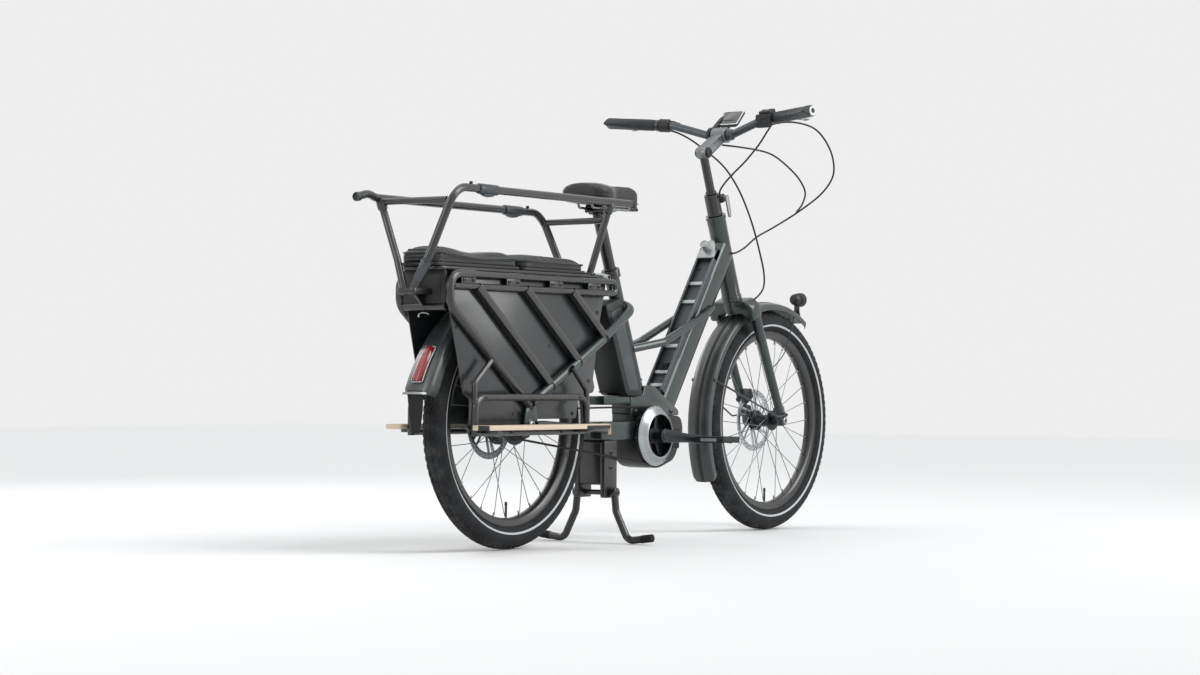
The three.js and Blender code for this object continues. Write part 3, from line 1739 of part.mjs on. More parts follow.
// A grip with a wing for the palm that grows towards its end.
function grip(side) {
  const from = barAt(side, gripInnerSpread);
  const to = barAt(side, gripEndSpread - gripEndCap);
  const heading = to.clone().sub(from).normalize();
  const steps = 4;
  const sides = 12;
  const rings = [];
  for (let i = 0; i <= steps; i++) {
    const share = i / steps;
    const centre = from.clone().lerp(to, share).addScaledVector(heading, share * gripEndCap);
    const wing = gripWingReach * Math.pow(share, 2.2);
    rings.push(gripRing(centre, wing, i === 0 || i === steps ? gripRadius * 0.9 : gripRadius, sides));
  }
  const cap = rings[steps].map((corner) => new THREE.Vector2(corner.x, corner.z));
  const body = loft(rings, cap);
  const tube = bar(
    from.clone().addScaledVector(heading, -gripRadius),
    to.clone().addScaledVector(heading, clearance),
    holeFor(barRadius, tubeSides),
    tubeSides,
  );
  return cut(body, tube);
}

function gripRing(centre, wing, radius, sides) {
  const ring = [];
  for (let k = 0; k < sides; k++) {
    const angle = (fullTurn * k) / sides;
    const back = Math.max(0, -Math.cos(angle));
    const x = centre.x + radius * Math.cos(angle) - wing * back * back;
    const flatten = 1 - 0.45 * (wing / gripWingReach) * back * back;
    const z = centre.z + radius * Math.sin(angle) * flatten + gripWingRise * (wing / gripWingReach) * back;
    ring.push(point(x, centre.y, z));
  }
  return ring;
}

function leverPivot(side) {
  const at = barAt(side, brakeBodySpread + brakeBodyLength / 2 - brakePinRadius * 2);
  return point(at.x + brakeLeverReach, at.y, at.z - brakeLeverDrop);
}

function brakeBody(side) {
  const at = barAt(side, brakeBodySpread);
  const ahead = barAt(side, brakeBodySpread + brakeBodyLength / 2);
  const behind = barAt(side, brakeBodySpread - brakeBodyLength / 2);
  const lowY = Math.min(ahead.y, behind.y);
  const highY = Math.max(ahead.y, behind.y);
  const body = plate(
    roundedOutline(
      [
        [at.x, at.z - brakeBodyHeight / 2],
        [at.x + brakeLeverReach + brakePinRadius * 2, at.z - brakeBodyHeight / 2 - brakeLeverDrop / 2],
        [at.x + brakeLeverReach + brakePinRadius * 2, at.z + brakeBodyHeight / 4],
        [at.x, at.z + brakeBodyHeight / 2],
      ],
      bite * 3,
    ),
    lowY,
    highY,
    0,
    2,
  );
  const from = barAt(side, brakeBodySpread - brakeBodyLength / 3);
  const to = barAt(side, brakeBodySpread + brakeBodyLength / 3);
  const ring = bar(from, to, brakeClampRadius, 14);
  const hole = bar(
    barAt(side, brakeBodySpread - brakeBodyLength),
    barAt(side, brakeBodySpread + brakeBodyLength),
    holeFor(barRadius, tubeSides),
    tubeSides,
  );
  const pivot = leverPivot(side);
  const room = box(
    pivot.x - brakeLeverWidth,
    pivot.x + brakeLeverWidth * 2,
    Math.min(pivot.y - side * brakeLeverWidth, pivot.y + side * brakeBodyLength),
    Math.max(pivot.y - side * brakeLeverWidth, pivot.y + side * brakeBodyLength),
    pivot.z - brakeLeverThickness / 2 - clearance,
    pivot.z + brakeLeverThickness / 2 + clearance,
  );
  return cut(join(body, ring), hole, room);
}

// A brake lever: a blade that lies in front of the grip and turns about an upright pin.
function brakeLever(side) {
  const pivot = leverPivot(side);
  const tipY = side * (Math.abs(pivot.y) + brakeLeverLength);
  const tipX = barAt(side, gripEndSpread - gripEndCap).x + brakeLeverReach * 0.9;
  const w = brakeLeverWidth / 2;
  const corners = [
    [pivot.x - w, pivot.y - side * w],
    [pivot.x + w, pivot.y - side * w],
    [pivot.x + w * 0.8, pivot.y + side * w * 3],
    [tipX + w * 1.4, tipY],
    [tipX, tipY],
    [pivot.x - w, pivot.y + side * w * 3],
  ];
  const half = brakeLeverThickness / 2;
  return slab(roundedOutline(corners, bite * 2), pivot.z - half, pivot.z + half, bite / 4);
}

// The display on its arm, which is clamped round the thick middle of the handlebar.
function displayUnit() {
  const outerY = barCentreWidth / 2 - bite;
  const innerY = stemClampWidth / 2 + clearance * 2;
  const clampRing = axialPin(barCentreRadius + displayArmThickness, innerY, outerY, stemReach, barHeight, 16);
  const hole = axialPin(
    holeFor(barCentreRadius, 16),
    innerY - overrun,
    outerY + overrun,
    stemReach,
    barHeight,
    16,
  );
  const arm = plate(
    roundedOutline(
      [
        [stemReach, barHeight + barCentreRadius + clearance],
        [stemReach + barCentreRadius, barHeight],
        [displayReach + displayArmWidth, displayHeight - bite],
        [displayReach - displayArmWidth, displayHeight - bite],
      ],
      bite,
    ),
    innerY,
    outerY,
  );
  const foot = box(
    displayReach - displayArmWidth,
    displayReach + displayArmWidth,
    -displayWidth / 4,
    outerY,
    displayHeight - displayThickness,
    displayHeight,
  );
  const screen = new THREE.BoxGeometry(displayLength, displayWidth, displayThickness);
  screen.rotateY(steeringLean - displayTilt);
  screen.translate(displayReach, 0, displayHeight);
  return cut(join(clampRing, arm, foot, solid(screen)), hole);
}

function switchPod() {
  const at = barAt(-1, switchSpread);
  return point(at.x, at.y, at.z + brakeClampRadius - bite * 2);
}

function switchBody() {
  const at = switchPod();
  const holeLow = at.z + switchHeight - buttonTravel * 2 - buttonHeight;
  const hole = bar(
    point(at.x, at.y, holeLow),
    point(at.x, at.y, at.z + switchHeight + overrun),
    buttonRadius + clearance,
    16,
  );
  const pod = slab(
    roundedOutline(
      [
        [at.x - switchWidth / 2, at.y - switchLength / 2],
        [at.x + switchWidth / 2, at.y - switchLength / 2],
        [at.x + switchWidth / 2, at.y + switchLength / 2],
        [at.x - switchWidth / 2, at.y + switchLength / 2],
      ],
      switchHeight / 3,
    ),
    at.z,
    at.z + switchHeight,
    bite / 2,
  );
  return join(cut(pod, hole), switchCase());
}

// The flat case of the switch, which hangs behind the handlebar and faces the rider.
function switchCase() {
  const at = barAt(-1, switchSpread);
  const near = at.x - brakeClampRadius + bite;
  const middleZ = at.z - switchCaseDrop;
  const corners = [
    [-switchCaseWidth / 2, -switchCaseHeight / 2],
    [switchCaseWidth / 2, -switchCaseHeight / 2],
    [switchCaseWidth / 2, switchCaseHeight / 2],
    [-switchCaseWidth / 2, switchCaseHeight / 2],
  ];
  const flat = slab(roundedOutline(corners, switchCaseDepth / 3), 0, switchCaseDepth, bite / 2);
  return flat.rotate([0, -90, 0]).rotate([-90, 0, 0]).translate([near, at.y, middleZ]);
}

// The switch's round button, which stands in its own hole in the pod.
function switchButton() {
  const at = switchPod();
  const low = at.z + switchHeight - buttonTravel - buttonHeight;
  const high = at.z + switchHeight + buttonHeight;
  return bar(point(at.x, at.y, low), point(at.x, at.y, high), buttonRadius, 16);
}

// Seat post, saddle and clamp

function seatClamp() {
  const low = seatTubeTop - seatClampHeight * 0.55;
  const high = seatTubeTop + seatClampHeight * 0.3;
  const ring = bar(alongSeat(low), alongSeat(high), seatClampRadius, thickSides);
  const ear = bar(
    alongSeat((low + high) / 2, -seatClampRadius * 1.3, -seatClampRadius * 0.4),
    alongSeat((low + high) / 2, -seatClampRadius * 1.3, seatClampRadius * 0.4),
    seatClampHeight * 0.3,
    12,
  );
  const earWeb = bar(
    alongSeat((low + high) / 2, -seatClampRadius * 1.3),
    alongSeat((low + high) / 2, -seatClampRadius * 0.7),
    seatClampHeight * 0.28,
    8,
  );
  const lowBore = bar(
    alongSeat(low - overrun),
    alongSeat(seatTubeTop + clearance),
    holeFor(seatTubeRadius, thickSides),
    thickSides,
  );
  const postHole = holeFor(seatPostRadius, thickSides);
  const highBore = bar(alongSeat(low), alongSeat(high + overrun), postHole, thickSides);
  return cut(join(ring, ear, earWeb), lowBore, highBore);
}

const seatLeverAxis = alongSeat(
  seatTubeTop - seatClampHeight * 0.125,
  -seatClampRadius * 1.3,
);

function seatLever() {
  const y = seatClampRadius * 0.4 + clearance;
  const { x, z } = seatLeverAxis;
  const w = seatLeverWidth / 2;
  const hub = axialPin(w, -y - seatLeverThickness, -y, x, z, 14);
  const blade = plate(
    roundedOutline(
      [
        [x, z - w],
        [x, z + w],
        [x - seatLeverLength, z + w * 1.4],
        [x - seatLeverLength, z + w * 0.2],
      ],
      bite,
    ),
    -y - seatLeverThickness,
    -y,
    bite / 2,
  );
  return join(hub, blade);
}

const saddleHeadPlace = alongSeat(seatPostTop);

function seatPost() {
  const post = bar(alongSeat(seatPostBottom), saddleHeadPlace, seatPostRadius, thickSides);
  const head = plate(
    roundedOutline(
      [
        [saddleHeadPlace.x - saddleHeadLength / 2, saddleRailZ - saddleHeadHeight / 2],
        [saddleHeadPlace.x + saddleHeadLength / 2, saddleRailZ - saddleHeadHeight / 2],
        [saddleHeadPlace.x + saddleHeadLength / 2, saddleRailZ + saddleHeadHeight / 2],
        [saddleHeadPlace.x - saddleHeadLength / 2, saddleRailZ + saddleHeadHeight / 2],
      ],
      bite * 2,
    ),
    -saddleHeadWidth / 2,
    saddleHeadWidth / 2,
    bite,
  );
  const grooves = [-1, 1].map((side) =>
    bar(
      point(saddleHeadPlace.x - saddleHeadLength, side * saddleRailSpread, saddleRailZ),
      point(saddleHeadPlace.x + saddleHeadLength, side * saddleRailSpread, saddleRailZ),
      saddleRailRadius + clearance,
      hoseSides,
    ),
  );
  return cut(join(post, head), ...grooves);
}

// A box whose corners are moved by a rule: the start of every padded form.
function padded(lengthSteps, widthSteps, heightSteps, place) {
  const geometry = new THREE.BoxGeometry(2, 2, 2, lengthSteps, widthSteps, heightSteps);
  const positions = geometry.attributes.position;
  for (let i = 0; i < positions.count; i++) {
    const moved = place(positions.getX(i), positions.getY(i), positions.getZ(i));
    positions.setXYZ(i, moved.x, moved.y, moved.z);
  }
  return solid(geometry);
}

// The saddle's cushion: a narrow nose, a wide crowned tail and sides that turn under.
function saddleCushion() {
  const length = saddleFrontX - saddleRearX;
  return padded(10, 6, 3, (u, v, w) => {
    const along = (u + 1) / 2;
    const widen = 1 / (1 + Math.exp((along - 0.42) * 11));
    const tailRound = Math.sqrt(Math.max(0, 1 - Math.pow(Math.max(0, 0.16 - along) / 0.16, 2) * 0.55));
    const noseRound = Math.sqrt(Math.max(0, 1 - Math.pow(Math.max(0, along - 0.9) / 0.1, 2) * 0.6));
    const widened = saddleNoseHalfWidth + (saddleHalfWidth - saddleNoseHalfWidth) * widen;
    const half = widened * tailRound * noseRound;
    const under = 1 - 0.16 * Math.pow((1 - w) / 2, 2) - 0.12 * Math.pow((1 + w) / 2, 4);
    const crown = saddleThickness * 0.22 * (1 - v * v);
    const seatRise = 8 * Math.pow(Math.sin(Math.PI * Math.min(1, along * 1.2)), 2);
    const swoop = saddleNoseDrop * Math.pow(along, 1.4) - seatRise;
    const top = saddleTopZ - saddleThickness * 0.22 - swoop * 0.9;
    const bottom = saddleTopZ - saddleThickness - saddleNoseDrop * 0.55 * along;
    const share = (w + 1) / 2;
    const edge = Math.max(Math.abs(v), Math.abs(u)) === 1 ? 0.5 : 1;
    const z = bottom + (top - bottom) * share + crown * share * edge;
    return point(saddleRearX + length * along, v * half * under, z);
  });
}

function saddle() {
  const rails = [-1, 1].map((side) => {
    const y = side * saddleRailSpread;
    return bentTube(
      [
        point(saddleRailRearX - saddleHeadHeight / 2, y, saddleTopZ - saddleThickness + bite * 3),
        point(saddleRailRearX, y, saddleRailZ),
        point(saddleRailFrontX, y, saddleRailZ),
        point(saddleRailFrontX + saddleHeadHeight * 1.5, y * 0.5, saddleTopZ - saddleThickness - bite),
      ],
      saddleHeadHeight / 3,
      saddleRailRadius,
      hoseSides,
    );
  });
  return join(saddleCushion(), ...rails);
}

// Rear rack and deck

function rackDiagonal(side, index) {
  const topX = rackDiagonalFirstX + index * rackDiagonalPitch;
  const slope = Math.tan(rackDiagonalAngle);
  const staySlope = (stayElbowZ - stayFootZ) / stayElbowX;
  const run = (rackLowerZ - upperStayZ(topX)) / (slope + staySlope);
  const footX = topX + run;
  return bar(
    point(footX, side * rackSpread, rackLowerZ - run * slope),
    point(topX, side * rackSpread, rackLowerZ),
    rackRearTubeRadius,
    tubeSides,
  );
}

// The flat guard that keeps feet and coats out of the wheel; it narrows to the foot hoop and
// steps up over the axle and the chain stay.
function wheelGuard(side) {
  const lowRearX = hoopRearX + hoopRadius * 2;
  const stepX = -rearDropoutLength / 2 - sideGuardCorner / 2;
  const overStayZ = wheelRadius + chainStayRadius + sideGuardThickness;
  const shape = roundedOutline(
    [
      [sideGuardTopRearX, sideGuardTopZ],
      [sideGuardTopRearX, sideGuardStepZ],
      [sideGuardWaistRearX, sideGuardWaistZ],
      [lowRearX, sideGuardWaistZ - sideGuardCorner],
      [lowRearX, sideGuardBottomZ],
      [stepX, sideGuardBottomZ],
      [stepX + sideGuardCorner, overStayZ],
      [hoopFrontX, overStayZ],
      [hoopFrontX + hoopRadius, sideGuardWaistZ - sideGuardCorner],
      [sideGuardWaistFrontX, sideGuardWaistZ],
      [sideGuardTopFrontX - sideGuardCorner * 2, sideGuardStepZ],
      [sideGuardTopFrontX, sideGuardTopZ],
    ],
    sideGuardCorner / 2,
  );
  const outer = sideGuardInner + sideGuardThickness;
  const sheet = side > 0 ? plate(shape, sideGuardInner, outer) : plate(shape, -outer, -sideGuardInner);
  const hubRoom = axialPin(
    rearHubEndRadius + sideGuardThickness,
    -staySpread * 2,
    staySpread * 2,
    0,
    wheelRadius,
  );
  if (side < 0) return cut(sheet, hubRoom);
  const caliperReach = rotorRadius - rotorBand / 2;
  const caliperRoom = axialPin(
    caliperLength,
    0,
    staySpread * 2,
    caliperReach * Math.cos(rearCaliperAngle),
    wheelRadius + caliperReach * Math.sin(rearCaliperAngle),
  );
  return cut(sheet, hubRoom, caliperRoom);
}

function rackSide(side) {
  const y = side * rackSpread;
  const rear = bentTube(
    [
      point(rackFootX, y, upperStayZ(rackFootX)),
      point(rackRearX, y, rackElbowZ),
      point(rackRearX, y, rackTopZ),
      point(rackRearX + rackRearBend * 2, y, rackTopZ),
    ],
    rackRearBend,
    rackRearTubeRadius,
  );
  const noseRadius = (rackTopZ - rackLowerZ) / 2;
  const loop = bentTube(
    [
      point(rackRearX + rackRearBend, y, rackTopZ),
      point(rackFrontX, y, rackTopZ),
      point(rackFrontX, y, rackLowerZ),
      point(rackRearX, y, rackLowerZ),
    ],
    noseRadius,
    rackBarRadius,
  );
  const length = rackFrontX - rackRearX;
  const blocks = rackBlockShares.map((share) => {
    const middle = rackRearX + share * length;
    return box(
      middle - rackBlockLength / 2,
      middle + rackBlockLength / 2,
      y - rackBlockThickness / 2,
      y + rackBlockThickness / 2,
      rackLowerZ,
      rackTopZ,
    );
  });
  const diagonals = [];
  for (let i = 0; i < rackDiagonalCount; i++) diagonals.push(rackDiagonal(side, i));
  const whole = join(rear, loop, wheelGuard(side), ...blocks, ...diagonals);
  const dropoutRoom = box(
    -rearDropoutLength,
    rearDropoutLength,
    side > 0 ? rearDropoutInner - clearance : -rearDropoutInner - rearDropoutThickness - clearance,
    side > 0 ? rearDropoutInner + rearDropoutThickness + clearance : -rearDropoutInner + clearance,
    wheelRadius - rearDropoutHeight,
    wheelRadius + rearDropoutHeight + clearance,
  );
  return cut(whole, upperStay(side, clearance), dropoutRoom);
}

function deckCrossX(index) {
  const first = rackRearX + rackRearBend * 2.5;
  const last = deckFrontX - rackRearBend;
  return first + ((last - first) * index) / (deckCrossCount - 1);
}

const deckBottomZ = rackTopZ + rackBarRadius;
const deckTopZ = deckBottomZ + deckThickness;

function rackDeck() {
  const half = deckHalfWidth;
  const top = slab(
    roundedOutline(
      [
        [deckRearX, -half],
        [deckFrontX, -half],
        [deckFrontX, half],
        [deckRearX, half],
      ],
      padCorner,
    ),
    deckBottomZ,
    deckTopZ,
  );
  const inner = rackSpread - rackBarRadius - clearance;
  const crossbars = [];
  for (let i = 0; i < deckCrossCount; i++) {
    const x = deckCrossX(i);
    const z = deckBottomZ - deckCrossRadius / 2;
    crossbars.push(bar(point(x, -inner, z), point(x, inner, z), deckCrossRadius, 8));
  }
  const panelHalf = rackSpread - rackRearTubeRadius - clearance;
  const panel = box(
    rackRearX - deckPanelThickness / 2,
    rackRearX + deckPanelThickness / 2,
    -panelHalf,
    panelHalf,
    deckPanelBottomZ,
    deckBottomZ + bite,
  );
  const lowerBar = bar(
    point(rackRearX, -panelHalf, deckPanelBottomZ + deckCrossbarRadius),
    point(rackRearX, panelHalf, deckPanelBottomZ + deckCrossbarRadius),
    deckCrossbarRadius,
  );
  return join(top, panel, lowerBar, deckBracket(), fenderTab(), ...crossbars);
}

// The shelf behind the rack on which the rails' rear legs end.
function deckBracket(grow = 0) {
  return box(
    deckBracketRearX - grow,
    rackRearX + grow,
    -deckBracketHalfWidth - grow,
    deckBracketHalfWidth + grow,
    deckBracketZ - deckBracketHeight - grow,
    deckBracketZ + grow,
  );
}

function fenderTab() {
  const half = deckFenderTabLength / 2;
  const low = wheelRadius + rearFenderRadius + clearance;
  return box(-half, half, -half / 2, half / 2, low, deckBottomZ + bite);
}

// A seat pad: crowned, with drawn-in sides, rounded corners and sewn channels across it.
function seatPad(rearX, frontX, channelShares) {
  const length = frontX - rearX;
  return padded(14, 6, 3, (u, v, w) => {
    const along = (u + 1) / 2;
    const ends = Math.max(0, Math.abs(u) * (length / 2) - (length / 2 - padCorner)) / padCorner;
    const round = Math.sqrt(Math.max(0, 1 - ends * ends * 0.55));
    const draw = padDraw * (1 - Math.pow(u, 4));
    const half = padHalfWidth * round - draw * (w < 1 ? 1 : 0.4);
    const belly = 1 - 0.03 * w * w;
    const share = (w + 1) / 2;
    const channel = channelShares.reduce((depth, at) => {
      const away = ((along - at) * length) / padChannelWidth;
      return depth + padChannelDepth * Math.exp(-away * away);
    }, 0);
    const crown = padCrown * (1 - Math.pow(Math.abs(v), 3)) * (1 - Math.pow(Math.abs(u), 8));
    const edge = w === 1 ? padCrown * 0.6 * Math.pow(Math.abs(v), 6) : 0;
    const x = rearX + length * along;
    const drop = (padFrontDrop * (x - padRearX)) / (padFrontX - padRearX);
    const dip = padDip * Math.exp(-Math.pow((x - padDipX) / padDipLength, 2));
    const height = padHeight - drop - dip + crown - channel - edge - ends * padCrown * 0.6;
    const z = deckTopZ + clearance + height * share;
    return point(rearX + length / 2 + (u * length * belly) / 2, v * half * belly, z);
  });
}

// Passenger rails

function railPlace(turn, u, outward, z) {
  return point(railCentreX + turn * u, -turn * outward, z);
}

// A rail's leg ends on the shelf behind the rack, or on the deck in front of the pads.
function railLegEnd(turn, u) {
  const rear = turn * u < 0;
  const elbowX = turn > 0 ? railRightElbowX : railLeftElbowX;
  const elbowSpread = turn > 0 ? railRightElbowSpread : railLeftElbowSpread;
  if (rear) {
    return [
      point(railShelfX, -turn * railShelfSpread, deckBracketZ - bite),
      point(elbowX, -turn * elbowSpread, railElbowZ),
    ];
  }
  const low = deckTopZ + clearance;
  return [point(railCentreX + turn * u, -turn * railFootSpread, low)];
}

function railTopZ(turn) {
  return turn > 0 ? railRightTopZ : railLeftTopZ;
}

function railTube(turn, grow = 0) {
  const topZ = railTopZ(turn);
  const corners = [
    ...railLegEnd(turn, railFootU),
    railPlace(turn, railLegU, railRearSpread, topZ - railLegDrop),
    railPlace(turn, railBendU, railRearSpread, topZ),
    railPlace(turn, railCapU - railRadius / 2, railFrontSpread, topZ),
  ];
  return bentTube(corners, railBend, railRadius + grow);
}

// One passenger rail; the other is the same part turned half round about the upright, but
// for its height and the lower ends of its legs.
function rail(turn) {
  const topZ = railTopZ(turn);
  const legs = railLegEnd(turn, railWeldFootU);
  const legFoot = legs[legs.length - 1];
  const weldTop = railPlace(turn, railWeldU, railWeldSpread, topZ - bite);
  const weldedLeg = bentTube([...legs, weldTop], railBend / 2, railRadius * 0.9);
  const cap = bar(
    railPlace(turn, railCapU - railRadius, railFrontSpread, topZ),
    railPlace(turn, railCapU, railFrontSpread, topZ),
    railRadius + bite / 2,
    tubeSides,
  );
  const flangeAt = railLegEnd(turn, turn > 0 ? railWeldFootU : railFootU)[0];
  const flange = bar(
    flangeAt,
    point(flangeAt.x, flangeAt.y, flangeAt.z + railFlangeThickness),
    railFlange,
    tubeSides,
  );
  const knobFoot = railPlace(turn, railKnobU, railRearSpread - bite, topZ);
  const knobTop = point(knobFoot.x, knobFoot.y, topZ + railRadius + railKnobHeight);
  const crossZ = turn > 0 ? railFrontCrossZ : railRearCrossZ;
  const crossStart = legFoot.clone().lerp(weldTop, (crossZ - legFoot.z) / (weldTop.z - legFoot.z));
  const crossEnd = railPlace(-turn, railLegU, railRearSpread, crossZ);
  const crossbar = cut(bar(crossStart, crossEnd, railCrossRadius), railTube(-turn, clearance));
  const kept = crossbar.decompose().sort((a, b) => b.volume() - a.volume())[0];
  const knob = bar(knobFoot, knobTop, railKnobRadius);
  const whole = join(railTube(turn), weldedLeg, cap, knob, kept, flange);
  const floor = box(
    -rearFenderRadius,
    wheelbase,
    -railRearSpread,
    railRearSpread,
    deckBottomZ,
    deckTopZ + clearance,
  );
  return cut(whole, floor, deckBracket(clearance));
}

// Foot boards and hoops

function hoopLine(side) {
  const y = side * hoopSpread;
  return [
    point(hoopRearX, y, hoopFootZ),
    point(hoopRearX, y, hoopTopZ),
    point(hoopFrontX, y, hoopTopZ),
    point(hoopFrontX, y, hoopFootZ),
  ];
}

// The hoop keeps feet off the wheel, carries the board on two bearers and hangs from the
// rack's diagonals.
function footHoop(side) {
  const hoop = bentTube(hoopLine(side), hoopCorner, hoopRadius);
  const y = side * hoopSpread;
  const keeper = bar(point(hoopRearX, y, hoopKeeperZ), point(hoopFrontX, y, hoopKeeperZ), hoopRadius * 0.9);
  const bearers = boardBearerShares.map((share) => {
    const x = boardRearX + share * (boardFrontX - boardRearX);
    const top = boardTopZ - boardThickness - clearance;
    const inner = side * hoopSpread;
    const outer = side * (boardOuter - boardCorner);
    return box(
      x - boardBearerWidth / 2,
      x + boardBearerWidth / 2,
      Math.min(inner, outer),
      Math.max(inner, outer),
      top - boardBearerThickness,
      top,
    );
  });
  const tieY = side * (rackSpread + rackRearTubeRadius + clearance + hoopTieRadius);
  const frontTie = bentTube(
    [
      point(hoopStrutX, tieY, upperStayZ(hoopStrutX) + stayRadius),
      point(hoopBraceX, tieY, hoopBraceElbowZ),
      point(hoopBraceX, y, hoopTopZ - hoopCorner),
    ],
    hoopTieRadius * 3,
    hoopTieRadius,
    hoseSides,
  );
  const rearTie = bentTube(
    [
      point(hoopRearX + hoopCorner * 2, tieY, rackElbowZ - rackRearBend * 3),
      point(hoopRearX + bite, tieY, hoopTopZ + hoopCorner),
      point(hoopRearX, y, hoopTopZ - hoopCorner),
    ],
    hoopTieRadius * 3,
    hoopTieRadius,
    hoseSides,
  );
  const whole = join(hoop, keeper, frontTie, rearTie, ...bearers);
  return cut(whole, upperStay(side, clearance));
}

function footBoard(side) {
  const low = side > 0 ? boardInner : -boardOuter;
  const high = side > 0 ? boardOuter : -boardInner;
  const cornerShape = roundedOutline(
    [
      [boardRearX, low],
      [boardFrontX, low],
      [boardFrontX, high],
      [boardRearX, high],
    ],
    boardCorner,
  );
  return slab(cornerShape, boardTopZ - boardThickness, boardTopZ, bite / 2);
}

// Centre stand

function standBlock() {
  const rear = standBlockRearX;
  const front = standBlockRearX + standBlockLength;
  const top = yokeBottomZ - clearance;
  const shape = roundedOutline(
    [
      [rear, standBlockBottomZ],
      [front, standBlockBottomZ],
      [front, top],
      [rear, top],
    ],
    frameEdge,
  );
  const body = plate(shape, -standBlockHalfWidth, standBlockHalfWidth, bite);
  const slot = box(
    rear - overrun,
    front + overrun,
    -standSlotHalfWidth,
    standSlotHalfWidth,
    standBlockBottomZ - overrun,
    standBlockBottomZ + standSlotHeight,
  );
  const hole = axialPin(
    standPinRadius + clearance,
    -standBlockHalfWidth * 2,
    standBlockHalfWidth * 2,
    standPivotX,
    standPivotZ,
    16,
  );
  return cut(body, slot, hole);
}

// The two legs and the pin that joins them through the block, folding together.
function standLegs() {
  const pin = axialPin(
    standPinRadius,
    -standBlockHalfWidth - standLegRadius * 2,
    standBlockHalfWidth + standLegRadius * 2,
    standPivotX,
    standPivotZ,
    16,
  );
  const legTop = standBlockHalfWidth + clearance + standLegRadius;
  const legs = [-1, 1].map((side) =>
    bentTube(
      [
        point(standPivotX, side * legTop, standPivotZ + standLegRadius),
        point(standPivotX, side * standKneeSpread, standKneeZ),
        point(standPivotX, side * standHeelSpread, standLegRadius - standHeelDrop),
        point(standPivotX, side * standToeSpread, standLegRadius + standToeLift),
      ],
      standBend,
      standLegRadius,
    ),
  );
  return join(pin, ...legs);
}

// Cables and hoses, in the steering's frame; the routes are chosen by hand

const longHoseRoute = [
  [984, -186, 1155.4],
  [1003.5, -189, 1160.3],
  [1050, -214, 1163],
  [1107, -240, 1150],
  [1152, -250, 1119],
  [1213, -240, 1070],
  [1247, -220, 1024],
  [1255, -180, 978],
  [1216, -122, 922],
  [1146, -80, 874],
  [1096, -56, 845],
  [1056, -42, 814],
  [1024, -35, 799],
  [1002, -34, 795],
];
const secondHoseRoute = [
  [980.8, -12, 1103.8],
  [990, -24, 1102],
  [1003, -34, 1101],
  [1040, -46, 1099],
  [1085, -58, 1096],
  [1142, -76, 1086],
  [1201, -90, 1058],
  [1246, -108, 1018],
  [1262, -118, 981],
  [1245, -118, 946],
  [1214, -117, 921],
];
const frontHoseRoute = [
  [984, 186, 1155.4],
  [1002, 180, 1156],
  [1016, 160, 1148],
  [1018, 120, 1128],
  [1026, 70, 1092],
  [1018, 20, 1058],
  [1010, -16, 1026],
  [1042, -34, 972],
  [1095, -40, 889],
  [1130, -44, 810],
  [1147, -50, 742],
  [1136, -56, 704],
  [1106, -60, 680],
  [1080, -62, 668],
];
const displayCableRoute = [
  [993.9, -170, 1157.4],
  [1008, -156, 1150],
  [1018, -138, 1136],
  [1020, -112, 1104],
  [1004, -76, 1056],
  [985, -50, 1023],
  [957, -35, 990],
  [946, -27.6, 968],
  [949.5, -26.2, 949],
];

function routeInSteering(route) {
  return route.map(([x, y, z]) => toSteering(point(x, y, z)));
}

function rearHoses() {
  return join(
    cord(routeInSteering(longHoseRoute), hoseRadius, hoseSides, 34),
    cord(routeInSteering(secondHoseRoute), hoseRadius, hoseSides, 20),
  );
}

function frontHose() {
  return cord(routeInSteering(frontHoseRoute), hoseRadius, hoseSides, 32);
}

function displayCable() {
  return cord(routeInSteering(displayCableRoute), hoseRadius, hoseSides, 14);
}

// Assembly

function mesh(name, piece, material) {
  const made = new THREE.Mesh(geometryOf(piece), material);
  made.geometry.computeVertexNormals();
  made.name = name;
  return made;
}

function wheelAt(x, z, pieces) {
  const group = new THREE.Group();
  group.add(...pieces);
  group.position.set(x, 0, z);
  return group;
}

function frontWheel() {
  return wheelAt(forkOffset, 0, [
    mesh("front_tyre", tyre(), tyreRubber),
    mesh("front_rim", rim(), blackPaint),
    mesh("front_hub_and_spokes", frontHub(), darkMetal),
    mesh("front_brake_disc", rotor(frontRotorOffset, frontHubEndRadius), brightMetal),
    mesh("front_axle", axle(forkLegSpread + forkLegRadius / 2 + clearance), darkMetal),
    mesh("front_fender", frontFender(), blackPlastic),
    mesh("front_lamp", lamp(), clearLens),
  ]);
}

function steering() {
  const level = frontWheel();
  level.rotation.y = steeringLean;
  const group = new THREE.Group();
  group.add(
    level,
    mesh("fork", fork(), blackPaint),
    mesh("front_brake_caliper", frontCaliper(), darkMetal),
    mesh("stem_collar", stemCollar(), blackPaint),
    mesh("stem_collar_lever", stemCollarLever(), darkMetal),
    mesh("stem", stem(), paleMetal),
    mesh("handlebar", handlebar(), blackPaint),
    mesh("grip_left", grip(1), rubber),
    mesh("grip_right", grip(-1), rubber),
    mesh("brake_body_left", brakeBody(1), blackPlastic),
    mesh("brake_body_right", join(brakeBody(-1), switchBody()), blackPlastic),
    mesh("brake_lever_left", brakeLever(1), darkMetal),
    mesh("brake_lever_right", brakeLever(-1), darkMetal),
    mesh("display", displayUnit(), blackPlastic),
    mesh("switch_button", switchButton(), paleMetal),
    mesh("rear_hoses", rearHoses(), rubber),
    mesh("front_brake_hose", frontHose(), rubber),
    mesh("display_cable", displayCable(), rubber),
  );
  group.position.copy(steeringFoot);
  group.rotation.y = -steeringLean;
  return group;
}

